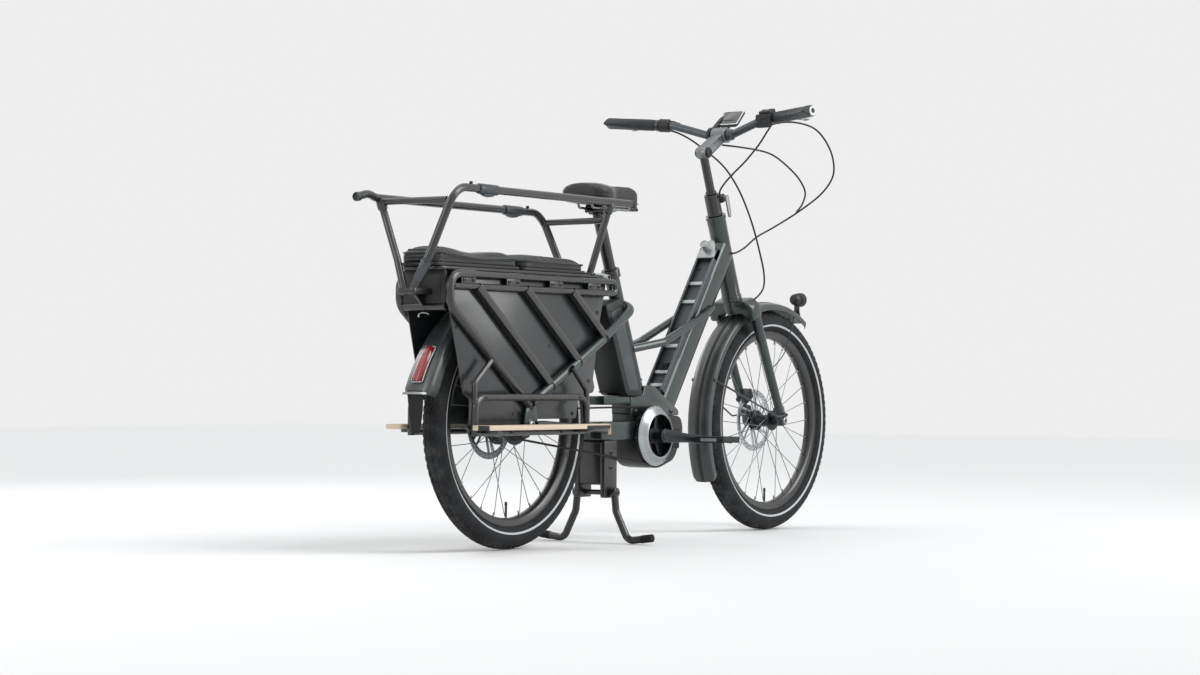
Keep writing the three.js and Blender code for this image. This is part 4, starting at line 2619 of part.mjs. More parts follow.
function rearWheel() {
  return wheelAt(0, wheelRadius, [
    mesh("rear_tyre", tyre(), tyreRubber),
    mesh("rear_rim", rim(), blackPaint),
    mesh("rear_hub_and_spokes", rearHub(), darkMetal),
    mesh("rear_brake_disc", rotor(rearRotorOffset, rearHubEndRadius), brightMetal),
    mesh("rear_axle", axle(rearDropoutInner + rearDropoutThickness + clearance), darkMetal),
    mesh("rear_sprocket", sprocket(), darkMetal),
    mesh("rear_fender", rearFender(), blackPlastic),
    mesh("tail_light", tailLight(), redLens),
    mesh("rear_brake_caliper", rearCaliper(), darkMetal),
  ]);
}

function drive() {
  const group = new THREE.Group();
  const rightPedal = mesh("pedal_right", pedal(), blackPlastic);
  rightPedal.position.copy(pedalAxis);
  const leftPedal = mesh("pedal_left", mirroredSolid(pedal()), blackPlastic);
  leftPedal.position.copy(pedalAxis.clone().negate());
  group.add(
    mesh("crank_right", rightCrank(), darkMetal),
    mesh("crank_left", leftCrank(), darkMetal),
    mesh("belt_ring_and_guard", join(beltRing(), beltGuard()), brightMetal),
    rightPedal,
    leftPedal,
  );
  group.position.set(crankAxisX, 0, crankAxisZ);
  return group;
}

function bicycle() {
  const group = new THREE.Group();
  group.add(
    mesh("main_frame", mainFrame(), framePaint),
    mesh("rear_battery", battery(), batteryShell),
    mesh("battery_dock", dock(), darkMetal),
    mesh("motor", motor(), blackPlastic),
    mesh("drive_belt", belt(), rubber),
    mesh("seat_clamp", seatClamp(), blackPaint),
    mesh("seat_clamp_lever", seatLever(), darkMetal),
    mesh("seat_post", seatPost(), blackPaint),
    mesh("saddle", saddle(), padFabric),
    mesh("rack_side_left", rackSide(1), blackPaint),
    mesh("rack_side_right", rackSide(-1), blackPaint),
    mesh("rack_deck", rackDeck(), blackPaint),
    mesh("seat_pad_rear", seatPad(padRearX, padSplitX - padSplitGap / 2, padRearChannelShares), padFabric),
    mesh("seat_pad_front", seatPad(padSplitX + padSplitGap / 2, padFrontX, []), padFabric),
    mesh("passenger_rail_right", rail(1), blackPaint),
    mesh("passenger_rail_left", rail(-1), blackPaint),
    mesh("foot_hoop_left", footHoop(1), blackPaint),
    mesh("foot_hoop_right", footHoop(-1), blackPaint),
    mesh("foot_board_left", footBoard(1), plywood),
    mesh("foot_board_right", footBoard(-1), plywood),
    mesh("stand_block", standBlock(), framePaint),
    mesh("stand_legs", standLegs(), blackPaint),
    steering(),
    rearWheel(),
    drive(),
  );
  group.position.x = -(frontReach + rearReach) / 2;
  return group;
}

const model = new THREE.Group();
model.add(bicycle());

export default model;
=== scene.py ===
# %% [markdown]
# # A longtail cargo bicycle, dressed for the camera
#
# The packed model gives the frame: where every piece sits and what it moves with. This lesson
# builds the visible pieces on it, from the cables to the tyres, with their finishes, then the
# floor, the lamps and the camera. Lengths below are in millimetres, measured from the rear
# axle and the ground, and become metres in the frame's own place when a mesh is made.

# %% The frame
import math

import bmesh
import bpy
from mathutils import Matrix, Vector


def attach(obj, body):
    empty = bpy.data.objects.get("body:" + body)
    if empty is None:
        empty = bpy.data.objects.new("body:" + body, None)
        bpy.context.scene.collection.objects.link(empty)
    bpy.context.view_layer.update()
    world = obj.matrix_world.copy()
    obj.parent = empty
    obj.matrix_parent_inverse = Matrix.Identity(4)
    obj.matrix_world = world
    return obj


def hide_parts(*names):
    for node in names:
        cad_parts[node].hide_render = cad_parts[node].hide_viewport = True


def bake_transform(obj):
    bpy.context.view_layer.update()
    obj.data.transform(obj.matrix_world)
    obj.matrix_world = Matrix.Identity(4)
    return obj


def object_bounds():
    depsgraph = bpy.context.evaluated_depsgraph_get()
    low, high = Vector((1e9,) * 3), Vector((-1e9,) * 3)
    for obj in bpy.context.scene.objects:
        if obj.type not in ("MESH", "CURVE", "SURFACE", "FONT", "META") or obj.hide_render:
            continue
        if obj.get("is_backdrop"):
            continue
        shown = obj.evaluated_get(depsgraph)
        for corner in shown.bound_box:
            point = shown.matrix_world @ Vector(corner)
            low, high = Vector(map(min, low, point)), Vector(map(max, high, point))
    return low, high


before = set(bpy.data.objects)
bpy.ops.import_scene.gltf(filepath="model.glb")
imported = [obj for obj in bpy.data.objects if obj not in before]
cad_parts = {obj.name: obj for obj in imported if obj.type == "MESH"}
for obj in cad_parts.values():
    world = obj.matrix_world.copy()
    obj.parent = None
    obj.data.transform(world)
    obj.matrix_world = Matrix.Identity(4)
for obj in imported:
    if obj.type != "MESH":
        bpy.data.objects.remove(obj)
cad_bounds = [list(corner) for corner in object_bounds()]
MIDDLE_X = 539  # the middle of the bicycle, ahead of the rear axle


def place(x, y, z):
    """A point in the frame's metres, from millimetres ahead of the rear axle."""
    return Vector(((x - MIDDLE_X) / 1000, y / 1000, z / 1000))


print("frame box", [[round(c, 3) for c in corner] for corner in cad_bounds])

# %% [markdown]
# ## The camera
#
# The bicycle is seen from behind on its right side, a little above the hubs. The three turns
# and the place were fitted to both wheels, the bar and the rack, so they are written as plain
# numbers. A long lens keeps the rear wheel from looking swollen.

# %% Camera
def show(name, data):
    """A new object in the scene, at the frame's origin."""
    made = bpy.data.objects.new(name, data)
    bpy.context.scene.collection.objects.link(made)
    return made


camera_data = bpy.data.cameras.new("camera")
camera = show("camera", camera_data)
yaw, pitch, roll = (math.radians(a) for a in (35.6911, 0.96178, 0.30009))
ahead = Vector((math.cos(pitch) * math.cos(yaw), math.cos(pitch) * math.sin(yaw), math.sin(pitch)))
level_right = Vector((math.sin(yaw), -math.cos(yaw), 0))
level_up = level_right.cross(ahead)
right = level_right * math.cos(roll) + level_up * math.sin(roll)
up = -level_right * math.sin(roll) + level_up * math.cos(roll)
camera.matrix_world = Matrix((
    (right.x, up.x, -ahead.x, -5.95076),
    (right.y, up.y, -ahead.y, -4.17974),
    (right.z, up.z, -ahead.z, 0.42588),
    (0, 0, 0, 1),
))
camera_data.lens = 80.434
camera_data.sensor_width = 36
camera_data.sensor_fit = "HORIZONTAL"
camera_data.clip_end = 100
bpy.context.scene.camera = camera
bpy.context.scene.view_settings.view_transform = "Standard"
print("camera", tuple(round(c, 3) for c in camera.location))

# %% [markdown]
# ## Lines and outlines
#
# Cables hang in smooth curves, tubes are bent with one radius, and sheet parts have rounded
# corners. Curve objects could draw all three. Plain lists of points are easier to measure and
# to sweep, so each helper here returns points.

# %% A smooth line through chosen points
def catmull(points, steps):
    """A smooth line through given points, with the same number of steps in each stretch."""
    line = [Vector(p) for p in points]
    line = [2 * line[0] - line[1], *line, 2 * line[-1] - line[-2]]
    made = []
    for p0, p1, p2, p3 in zip(line, line[1:], line[2:], line[3:]):
        t01 = max((p1 - p0).length, 1e-6) ** 0.5
        t12 = max((p2 - p1).length, 1e-6) ** 0.5
        t23 = max((p3 - p2).length, 1e-6) ** 0.5
        m1 = (p2 - p1) + t12 * ((p1 - p0) / t01 - (p2 - p0) / (t01 + t12))
        m2 = (p2 - p1) + t12 * ((p3 - p2) / t23 - (p3 - p1) / (t12 + t23))
        a, b = 2 * (p1 - p2) + m1 + m2, -3 * (p1 - p2) - 2 * m1 - m2
        for k in range(steps):
            t = k / steps
            made.append(a * t**3 + b * t**2 + m1 * t + p1)
    made.append(line[-2].copy())
    return made


print("a line through 3 points has", len(catmull([(0, 0, 0), (1, 1, 0), (2, 0, 0)], 4)), "points")

# %% The path of a bent tube
def rounded(corners, radius, step=math.radians(9)):
    """The path of a bent tube: straight runs, and an arc of one radius at each corner."""
    corners = [Vector(c) for c in corners]
    path = [corners[0]]
    for last_corner, corner, next_corner in zip(corners, corners[1:], corners[2:]):
        before, after = last_corner - corner, next_corner - corner
        most = 0.48 * min(before.length, after.length)
        before.normalize()
        after.normalize()
        turn = math.pi - before.angle(after)
        if turn < 1e-3:
            continue
        reach = min(radius * math.tan(turn / 2), most)
        arc = reach / math.tan(turn / 2)
        centre = corner + (before + after).normalized() * (arc / math.cos(turn / 2))
        first, last = corner + before * reach - centre, corner + after * reach - centre
        count = max(2, math.ceil(turn / step))
        for k in range(count + 1):
            share = k / count
            blend = math.sin((1 - share) * turn) * first + math.sin(share * turn) * last
            path.append(centre + blend / math.sin(turn))
    path.append(corners[-1])
    return path


print("a tube bent once has", len(rounded([(0, 0, 0), (50, 0, 0), (50, 50, 0)], 20)), "points")

# %% Flat outlines
def outline(corners, radius, steps=5):
    """A flat outline with rounded corners, as pairs."""
    made = []
    for i, corner in enumerate(corners):
        here = Vector(corner)
        before = Vector(corners[i - 1]) - here
        after = Vector(corners[(i + 1) % len(corners)]) - here
        reach = min(radius, 0.45 * before.length, 0.45 * after.length)
        start, end = here + before.normalized() * reach, here + after.normalized() * reach
        for k in range(steps + 1):
            t = k / steps
            made.append(start * (1 - t) ** 2 + here * 2 * t * (1 - t) + end * t * t)
    return [(p.x, p.y) for p in made]


def rectangle(u0, v0, u1, v1, radius, steps=5):
    return outline([(u0, v0), (u1, v0), (u1, v1), (u0, v1)], radius, steps)


def inset(points, depth):
    """The outline drawn in by a small depth."""
    area = sum(a[0] * b[1] - b[0] * a[1] for a, b in zip(points, points[1:] + points[:1]))
    turn = 1 if area > 0 else -1
    made = []
    for i, p in enumerate(points):
        along = Vector(points[(i + 1) % len(points)]) - Vector(points[i - 1])
        if along.length < 1e-9:
            made.append(p)
            continue
        along.normalize()
        made.append((p[0] - along.y * depth * turn, p[1] + along.x * depth * turn))
    return made


def mirrored(side, near, far):
    """The span from near to far on the left side, or the same span on the right."""
    return (near, far) if side > 0 else (-far, -near)


print("a board's outline has", len(rectangle(0, 0, 100, 20, 4)), "points")

# %% [markdown]
# ## Round stock
#
# Tubes, axles, rings, bolts and weld beads are all rings of points joined by faces. Cylinder
# primitives would need to be bent, scaled and joined afterwards. Sweeping the rings directly
# gives the right radius everywhere and closed ends.

# %% Directions across an axis
def sideways(axis):
    """Two directions across an axis, square to it and to each other."""
    side = Vector((0, 0, 1)) if abs(axis.z) < 0.9 else Vector((1, 0, 0))
    side = (side - axis * side.dot(axis)).normalized()
    return side, axis.cross(side)


def circle(centre, side, other, radius, count):
    """A ring of points round a centre."""
    turns = [math.tau * k / count for k in range(count)]
    return [centre + (side * math.cos(a) + other * math.sin(a)) * radius for a in turns]


print("across an upright axis:", [tuple(v) for v in sideways(Vector((0, 0, 1)))])

# %% Tubes, bars and turned rings
class RoundStock:
    """Everything with a round section."""

    def tube(self, path, radius, sides=20, end_radius=None, squash=1.0, flat_axis=None, dome=0.0):
        """A round tube along a path, with its ends closed; dome rounds them over."""
        path = [Vector(p) for p in path]
        end_radius = radius if end_radius is None else end_radius
        lengths = [0.0]
        for a, b in zip(path, path[1:]):
            lengths.append(lengths[-1] + (b - a).length)
        heading = (path[1] - path[0]).normalized()
        side = Vector(flat_axis) if flat_axis else sideways(heading)[0]
        side = (side - heading * side.dot(heading)).normalized()
        rows = []
        for i, point in enumerate(path):
            before = (point - path[i - 1]).normalized() if i else heading
            after = (path[i + 1] - point).normalized() if i + 1 < len(path) else before
            now = (before + after).normalized()
            side = (side - now * side.dot(now)).normalized()
            size = radius + (end_radius - radius) * lengths[i] / max(lengths[-1], 1e-9)
            rows.append((point, side.copy(), now.cross(side), now, size))

        def over(row, share, way):
            point, a, b, now, size = row
            turn = share * math.pi / 2
            return point + now * dome * math.cos(turn) * way, a, b, now, size * math.sin(turn)

        if dome:
            rows = ([over(rows[0], k, -1) for k in (0.25, 0.6, 0.88)] + rows
                    + [over(rows[-1], k, 1) for k in (0.88, 0.6, 0.25)])
        turns = [math.tau * k / sides for k in range(sides)]
        return self.rings([[point + a * size * math.cos(t) + b * size * squash * math.sin(t) for t in turns]
                           for point, a, b, _, size in rows])

    def bar(self, start, end, radius, sides=20, end_radius=None, edge=0.0):
        """A straight round bar; edge softens its two ends."""
        start, end = Vector(start), Vector(end)
        if not edge:
            return self.tube([start, end], radius, sides, end_radius)
        end_radius = radius if end_radius is None else end_radius
        axis = (end - start).normalized()
        rows = ((start, radius - edge), (start + axis * edge * 0.3, radius - edge * 0.3),
                (start + axis * edge, radius), (end - axis * edge, end_radius),
                (end - axis * edge * 0.3, end_radius - edge * 0.3), (end, end_radius - edge))
        return self.rings([circle(at, *sideways(axis), size, sides) for at, size in rows])

    def turned(self, profile, centre, axis=(0, 1, 0), segments=64, closed=True):
        """A ring turned about an axis: the profile holds pairs of radius and height."""
        centre, axis = Vector(centre), Vector(axis).normalized()
        side, other = sideways(axis)
        verts, faces, width = [], [], len(profile)
        for i in range(segments):
            angle = math.tau * i / segments
            out = side * math.cos(angle) + other * math.sin(angle)
            verts += [centre + out * r + axis * h for r, h in profile]
            a, b = i * width, ((i + 1) % segments) * width
            for k in range(width if closed else width - 1):
                n = (k + 1) % width
                faces.append((a + k, b + k, b + n, a + n))
        return self.add(verts, faces)

    def cap(self, profile, centre, axis=(0, 1, 0), segments=64):
        """A turned cap, whose profile starts at the axis and ends at its open rim."""
        return self.turned(profile, centre, axis, segments, closed=False)


print("round stock:", [name for name in vars(RoundStock) if not name.startswith("_")])

# %% [markdown]
# ## Sheet stock, welds and bolts
#
# A flat part is an outline pulled to its thickness, with edges drawn in a little so that they
# catch the light. A Bevel modifier would do it too, but slows every piece down and can pinch
# at tight corners. Weld beads and bolts are made once here because they are everywhere.

# %% Sheets, welds and bolts
class SheetStock:
    """Everything cut from sheet, and the small hardware that holds it."""

    def slab(self, points, to_world, low, high, edge=0.6):
        """An outline pulled from low to high, with softened edges; to_world makes 3-D points."""
        turns = [math.pi / 4 * k for k in range(3)]
        rows = [(edge * (1 - math.sin(t)), low + edge * (1 - math.cos(t))) for t in turns]
        rows += [(edge * (1 - math.cos(t)), high - edge * (1 - math.sin(t))) for t in turns]
        return self.rings([[to_world(u, v, w) for u, v in inset(points, depth)] for depth, w in rows])

    def plate(self, points, low_y, high_y, edge=0.6):
        return self.slab(points, lambda u, v, w: (u, w, v), low_y, high_y, edge)

    def layer(self, points, low_z, high_z, edge=0.6):
        return self.slab(points, lambda u, v, w: (u, v, w), low_z, high_z, edge)

    def box(self, low, high, edge=0.8, corner=2.0):
        (x0, y0, z0), (x1, y1, z1) = low, high
        corner = min(corner, (x1 - x0) * 0.3, (z1 - z0) * 0.3)
        return self.plate(rectangle(x0, z0, x1, z1, corner, 3), y0, y1, min(edge, (y1 - y0) * 0.3))

    def weld(self, centre, axis, radius, bead=2.4, segments=40):
        """A weld bead round the end of a tube."""
        centre, axis = Vector(centre), Vector(axis).normalized()
        side, other = sideways(axis)
        skin = []
        for angle in (math.tau * k / segments for k in range(segments)):
            out = side * math.cos(angle) + other * math.sin(angle)
            thick = bead * (1 + 0.12 * math.sin(angle * 17))
            turns = [math.tau * j / 8 for j in range(8)]
            skin.append([centre + out * (radius + thick * math.cos(t)) + axis * thick * math.sin(t)
                         for t in turns])
        return self.rings(skin, caps=False, closed=True)

    def bolt(self, centre, axis, radius=4.0, height=2.4):
        """A round-headed bolt with a socket."""
        floor_now = height - radius * 0.55
        return self.cap([(0.01, floor_now), (radius * 0.5, floor_now), (radius * 0.52, height),
                         (radius * 0.8, height * 0.93), (radius, height * 0.6), (radius, -0.5)],
                        centre, axis, 24)


print("sheet stock:", [name for name in vars(SheetStock) if not name.startswith("_")])

# %% [markdown]
# ## From faces to an object
#
# A form gathers faces in millimetres and becomes one object at the end. It then rides on the
# body that carries it and stands in for the packed node. Normals are turned outwards before
# the piece is shaded.

# %% The form
def outwards(mesh):
    work = bmesh.new()
    work.from_mesh(mesh)
    bmesh.ops.recalc_face_normals(work, faces=work.faces)
    work.to_mesh(mesh)
    work.free()


class Form(RoundStock, SheetStock):
    """Faces collected in millimetres, which become one object in the frame's metres."""

    def __init__(self, name):
        self.name, self.verts, self.faces = name, [], []

    def add(self, verts, faces):
        first = len(self.verts)
        self.verts += [Vector(v) for v in verts]
        self.faces += [tuple(first + i for i in face) for face in faces]
        return self

    def rings(self, rings, caps=True, closed=False):
        """A skin over rings of equal count; caps fill the first and last ring."""
        count, total = len(rings[0]), len(rings)
        faces = []
        for i in range(total if closed else total - 1):
            a, b = i * count, ((i + 1) % total) * count
            for k in range(count):
                n = (k + 1) % count
                faces.append((a + k, a + n, b + n, b + k))
        if caps and not closed:
            faces.append(tuple(reversed(range(count))))
            faces.append(tuple(range((total - 1) * count, total * count)))
        return self.add([p for ring in rings for p in ring], faces)

    def done(self, body, finish, replaced=None, slot=None, sharp=34, bevel=0.0):
        """Makes the object, rides it on its body and stands it in for a CAD node."""
        mesh = bpy.data.meshes.new(self.name)
        mesh.from_pydata([place(*v) for v in self.verts], [], self.faces)
        mesh.validate()
        outwards(mesh)
        mesh.materials.append(finish)
        mesh.shade_smooth()
        mesh.set_sharp_from_angle(angle=math.radians(sharp))
        made = show(self.name, mesh)
        if bevel:
            soft = made.modifiers.new("soft_edges", "BEVEL")
            soft.width = bevel / 1000
            soft.segments = 2
            soft.limit_method = "ANGLE"
            soft.angle_limit = math.radians(40)
            soft.harden_normals = True
        if body:
            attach(made, body)
        if replaced:
            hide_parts(replaced)
        print(self.name, len(self.faces), "faces")
        return made


print("a form knows", len([name for name in dir(Form) if not name.startswith("_")]), "ways to add faces")

# %% [markdown]
# ## Places on the bicycle
#
# Steering, seat tube and down tube all lean. Each has its own foot and directions, so a piece
# on it can be written square to the tube, and wheel parts are written by angle and radius.

# %% Slanted parts and wheels
STEER_FOOT = Vector((1190.85, 0, 302.24))
STEER_AHEAD = Vector((0.936672, 0, 0.350207))
STEER_UP = Vector((-0.350207, 0, 0.936672))
SEAT_FOOT = Vector((623, 0, 283))
SEAT_AHEAD = Vector((0.93358, 0, 0.358368))
SEAT_UP = Vector((-0.358368, 0, 0.93358))
SEAT_LEAN = math.radians(21)
DOWN_FOOT = Vector((663, 0, 403))
DOWN_ALONG = Vector((0.566406, 0, 0.824126))
DOWN_BELOW = Vector((0.824126, 0, -0.566406))
SIDE = Vector((0, 1, 0))
FRONT_X, AXLE_Z = 1233.0, 318.0
CRANK = Vector((580, 0, 283))


def steer(reach, y, height):
    return STEER_FOOT + STEER_AHEAD * reach + SIDE * y + STEER_UP * height


def on_steering(u, v, w):
    return steer(u, w, v)


def seat(height, reach=0.0, y=0.0):
    return SEAT_FOOT + SEAT_UP * height + SEAT_AHEAD * reach + SIDE * y


def down(along, below=0.0, y=0.0):
    return DOWN_FOOT + DOWN_ALONG * along + DOWN_BELOW * below + SIDE * y


def seat_axis_x(z):
    return SEAT_FOOT.x - (z - SEAT_FOOT.z) * math.tan(SEAT_LEAN)


def polar(angle, radius, y=0.0, x=0.0, z=AXLE_Z):
    """A point round a wheel's axle: the angle in degrees from straight ahead, upwards."""
    a = math.radians(angle)
    return Vector((x + radius * math.cos(a), y, z + radius * math.sin(a)))


print("the bar's middle is at", tuple(round(c) for c in steer(106, 0, 847)))

# %% [markdown]
# ## Sums inside a material
#
# Each finish is a small node tree. Laying out dozens of Math nodes by hand hides what they
# mean, so a `Field` wraps a socket and takes plain + - * signs. Any other node comes
# from `add_node`, which sets a node's settings first and then its sockets.

# %% Nodes written as sums
def add_node(tree, kind, settings=None, sockets=None, out=0):
    """One node: its settings first, then a value or a link for each socket."""
    made = tree.nodes.new(kind)
    for name, value in (settings or {}).items():
        setattr(made, name, value)
    for name, value in (sockets or {}).items():
        if isinstance(value, Field):
            tree.links.new(value.socket, made.inputs[name])
        else:
            made.inputs[name].default_value = value
    return Field(tree, made.outputs[out]) if made.outputs else None


class Field:
    """A value or a colour in a node tree, which takes plain + - * signs."""

    def __init__(self, tree, socket):
        self.tree, self.socket = tree, socket

    def math(self, operation, *others):
        values = dict(enumerate((self, *others)))
        return add_node(self.tree, "ShaderNodeMath", {"operation": operation}, values)

    def __add__(self, other):
        return self.math("ADD", other)

    def __sub__(self, other):
        return self.math("SUBTRACT", other)

    def __rsub__(self, other):
        return (self * -1.0) + other

    def __mul__(self, other):
        return self.math("MULTIPLY", other)

    __radd__, __rmul__ = __add__, __mul__

    def sin(self):
        return self.math("SINE")

    def abs(self):
        return self.math("ABSOLUTE")

    def sqrt(self):
        return self.math("SQRT")

    def most(self, other):
        return self.math("MAXIMUM", other)

    def step(self, low, high):
        """0 below low, 1 above high, and a soft ramp between."""
        return add_node(self.tree, "ShaderNodeMapRange", {"interpolation_type": "SMOOTHSTEP"},
                    {"Value": self, "From Min": low, "From Max": high}, "Result")

    def band(self, middle, half, soft):
        """1 within half of the middle value, falling to 0 over soft."""
        return 1.0 - (self - middle).abs().step(half, half + soft)

    def parts(self):
        """The three numbers of a vector."""
        split = add_node(self.tree, "ShaderNodeSeparateXYZ", {}, {0: self}).socket.node
        return [Field(self.tree, split.outputs[i]) for i in range(3)]


print("signs of a field:", sorted(name for name in vars(Field) if name.startswith("__")))

# %% Colours
def linear(code):
    """A colour written as it looks on a screen, as the shader wants it."""
    channels = [int(code[i:i + 2], 16) / 255 for i in (0, 2, 4)]
    return tuple(c / 12.92 if c <= 0.04045 else ((c + 0.055) / 1.055) ** 2.4 for c in channels)


def scaled(code, factor, lift=0.0):
    """A darker or lighter version of a colour."""
    return tuple(min(1.0, c * factor + lift) for c in linear(code))


def as_colour(colour):
    if isinstance(colour, Field):
        return colour
    return (*(linear(colour) if isinstance(colour, str) else colour), 1)


print("middle grey is", tuple(round(c, 3) for c in linear("808080")))

# %% A material with its helpers
SOCKETS = {
    "color": "Base Color", "roughness": "Roughness", "metallic": "Metallic", "coat": "Coat Weight",
    "coat_roughness": "Coat Roughness", "ior": "IOR", "sheen": "Sheen Weight",
    "sheen_roughness": "Sheen Roughness", "emission": "Emission Color",
    "emission_strength": "Emission Strength", "specular": "Specular IOR Level",
}


class Paint:
    """A principled material with helpers for its noise, its edges and its shader."""

    def __init__(self, name):
        self.material = bpy.data.materials.new(name)
        self.material.use_nodes = True
        self.tree = self.material.node_tree
        self.shader = self.tree.nodes["Principled BSDF"]
        self.where = add_node(self.tree, "ShaderNodeTexCoord", out="Object")
        self.x, self.y, self.z = self.where.parts()

    def stretched(self, stretch):
        if not stretch:
            return self.where
        return add_node(self.tree, "ShaderNodeMapping", {}, {"Scale": stretch, "Vector": self.where},
                        "Vector")

    def noise(self, size_mm, detail=3.0, rough=0.55, stretch=None):
        return add_node(self.tree, "ShaderNodeTexNoise", {}, {
            "Scale": 1000 / size_mm, "Detail": detail, "Roughness": rough,
            "Vector": self.stretched(stretch)}, "Fac")

    def cells(self, size_mm, stretch=None):
        return add_node(self.tree, "ShaderNodeTexVoronoi", {"feature": "F1"}, {
            "Scale": 1000 / size_mm, "Vector": self.stretched(stretch)}, "Distance")

    def mix(self, share, first, second):
        """A colour between two, each a code, a triple or another colour."""
        return add_node(self.tree, "ShaderNodeMix", {"data_type": "RGBA"}, {
            0: share, 6: as_colour(first), 7: as_colour(second)}, 2)

    def edges(self, size_mm=1.2):
        """1 along worn edges, from the bevelled normal's turn away from the true one."""
        bevel = add_node(self.tree, "ShaderNodeBevel", {"samples": 4}, {"Radius": size_mm / 1000})
        true_normal = add_node(self.tree, "ShaderNodeNewGeometry", out="Normal")
        same = add_node(self.tree, "ShaderNodeVectorMath", {"operation": "DOT_PRODUCT"},
                    {0: bevel, 1: true_normal}, "Value")
        return (1.0 - same).step(0.02, 0.3)

    def set(self, **values):
        for key, value in values.items():
            socket = self.shader.inputs[SOCKETS[key]]
            if isinstance(value, Field):
                self.tree.links.new(value.socket, socket)
            else:
                socket.default_value = as_colour(value) if isinstance(value, (str, tuple)) else value
        return self

    def bump(self, height, depth_mm):
        bump = add_node(self.tree, "ShaderNodeBump", {}, {
            "Strength": 1.0, "Distance": depth_mm / 1000, "Height": height})
        self.tree.links.new(bump.socket, self.shader.inputs["Normal"])
        return self.material


print("a material sets", len(SOCKETS), "sockets by name")

# %% [markdown]
# ## Paint and powder coat
#
# The frame wears a dark green metallic paint under clear coat, the racks a black powder coat.
# A flat colour would look like plastic. Flakes, a slow cloud, dust in the gloss and paler worn
# edges each come from one noise or cell texture, read in the piece's own coordinates.

# %% Frame paint
def painted(name, base, light, dark, roughness, metallic, coat):
    """Metallic paint: fine flakes, slow cloudiness, dust in the low gloss and pale worn edges."""
    p = Paint(name)
    flakes, cloud, dust = p.cells(0.5), p.noise(160, 2), p.noise(24, 5)
    tone = p.mix(cloud.step(0.35, 0.68), dark, base)
    tone = p.mix((1.0 - flakes.step(0.05, 0.42)) * 0.5, tone, light)
    tone = p.mix(p.edges(0.9) * dust.step(0.5, 0.75) * 0.35, tone, "8d9896")
    p.set(color=tone, roughness=roughness + dust.step(0.42, 0.8) * 0.16, metallic=metallic,
          coat=coat, coat_roughness=0.12)
    return p.bump(p.noise(1.6, 2) * 0.6 + flakes * 0.4, 0.012)


# %% Powder coat
def satin(name, base, roughness=0.42, metallic=0.0, coat=0.25):
    """Satin powder coat: a fine orange-peel skin, dust, and rubbed edges."""
    p = Paint(name)
    peel, dust, streaks = p.noise(2.4, 2), p.noise(30, 5), p.noise(9, 4, stretch=(0.25, 1, 1))
    tone = p.mix(dust.step(0.4, 0.8) * 0.35, base, scaled(base, 2.1, 0.004))
    tone = p.mix(p.edges(1.0) * streaks.step(0.48, 0.7) * 0.4, tone, "6f7476")
    p.set(color=tone, roughness=roughness + dust.step(0.4, 0.8) * 0.14 - peel * 0.06,
          metallic=metallic, coat=coat, coat_roughness=0.2)
    return p.bump(peel, 0.03)


# %% [markdown]
# ## Plastics and rubbers
#
# Motor covers, battery, pod and fenders are moulded plastic, the grips and tyres are rubber.
# What tells them apart is the grain: leathery pits with polished high spots on plastic, a dull
# bloom on rubber. Both are small cell and noise textures that also tilt the normal.

# %% Moulded plastic and soft rubber
def moulded(name, base, roughness=0.55, grain=0.9, depth=0.05):
    """Moulded plastic: a fine leathery grain with polished high spots and light scuffs."""
    p = Paint(name)
    pits, cloud, scuffs = p.cells(grain), p.noise(50, 4), p.noise(5, 6, 0.7, stretch=(0.4, 1, 1.6))
    tone = p.mix(cloud.step(0.35, 0.75) * 0.4, base, scaled(base, 1.8, 0.004))
    tone = p.mix(scuffs.step(0.68, 0.8) * 0.18, tone, "7a7c7e")
    tone = p.mix(p.edges(0.8) * 0.12, tone, "8a8c8e")
    p.set(color=tone, roughness=roughness + pits * 0.12 - cloud.step(0.5, 0.8) * 0.06, specular=0.45)
    return p.bump(pits + scuffs * 0.3, depth)


def soft_rubber(name, base, roughness=0.78):
    """Grips, hoses and feet: a dull surface with a pale bloom."""
    p = Paint(name)
    fine, bloom = p.noise(0.8, 3), p.noise(28, 5)
    tone = p.mix(bloom.step(0.4, 0.78) * 0.5, base, scaled(base, 2.2, 0.006))
    p.set(color=tone, roughness=roughness + bloom.step(0.4, 0.8) * 0.12 - fine * 0.05, specular=0.35)
    return p.bump(fine + bloom * 0.4, 0.06)


# %% Tyre rubber
def from_axle(p, centre):
    """The distance from an axle, in metres, as a field."""
    dx, dz = p.x - centre[0], p.z - centre[1]
    return (dx * dx + dz * dz).sqrt()


def tyre_rubber(name, centre):
    """Tyre rubber with moulded rings on its walls and the thin grey stripe that shines back light."""
    p = Paint(name)
    radius, fine, bloom = from_axle(p, centre), p.noise(1.1, 3), p.noise(34, 5)
    rings = radius.band(0.2685, 0.0006, 0.0004).most(radius.band(0.2865, 0.0006, 0.0004))
    ribs = (radius * 2400.0).sin() * 0.5 + 0.5
    wall = p.y.abs().step(0.0175, 0.0215)
    stripe = radius.band(0.2772, 0.0024, 0.0004) * wall
    weave = ((p.z + p.x) * 4200.0).sin() * ((p.z - p.x) * 4200.0).sin()
    dust = bloom.step(0.35, 0.75) * (0.35 + radius.step(0.296, 0.314) * 0.65)
    tone = p.mix(dust, "191a1c", "3a3b3c")
    tone = p.mix(rings * 0.35, tone, "353638")
    tone = p.mix(stripe, tone, p.mix(weave.step(-0.4, 0.6), "a8adb0", "c9ced1"))
    p.set(color=tone, roughness=0.82 - stripe * 0.42 + fine * 0.06, specular=0.35)
    return p.bump(fine * 0.5 + ribs * 0.25 * wall + rings * 1.5 + stripe * 0.6, 0.12)


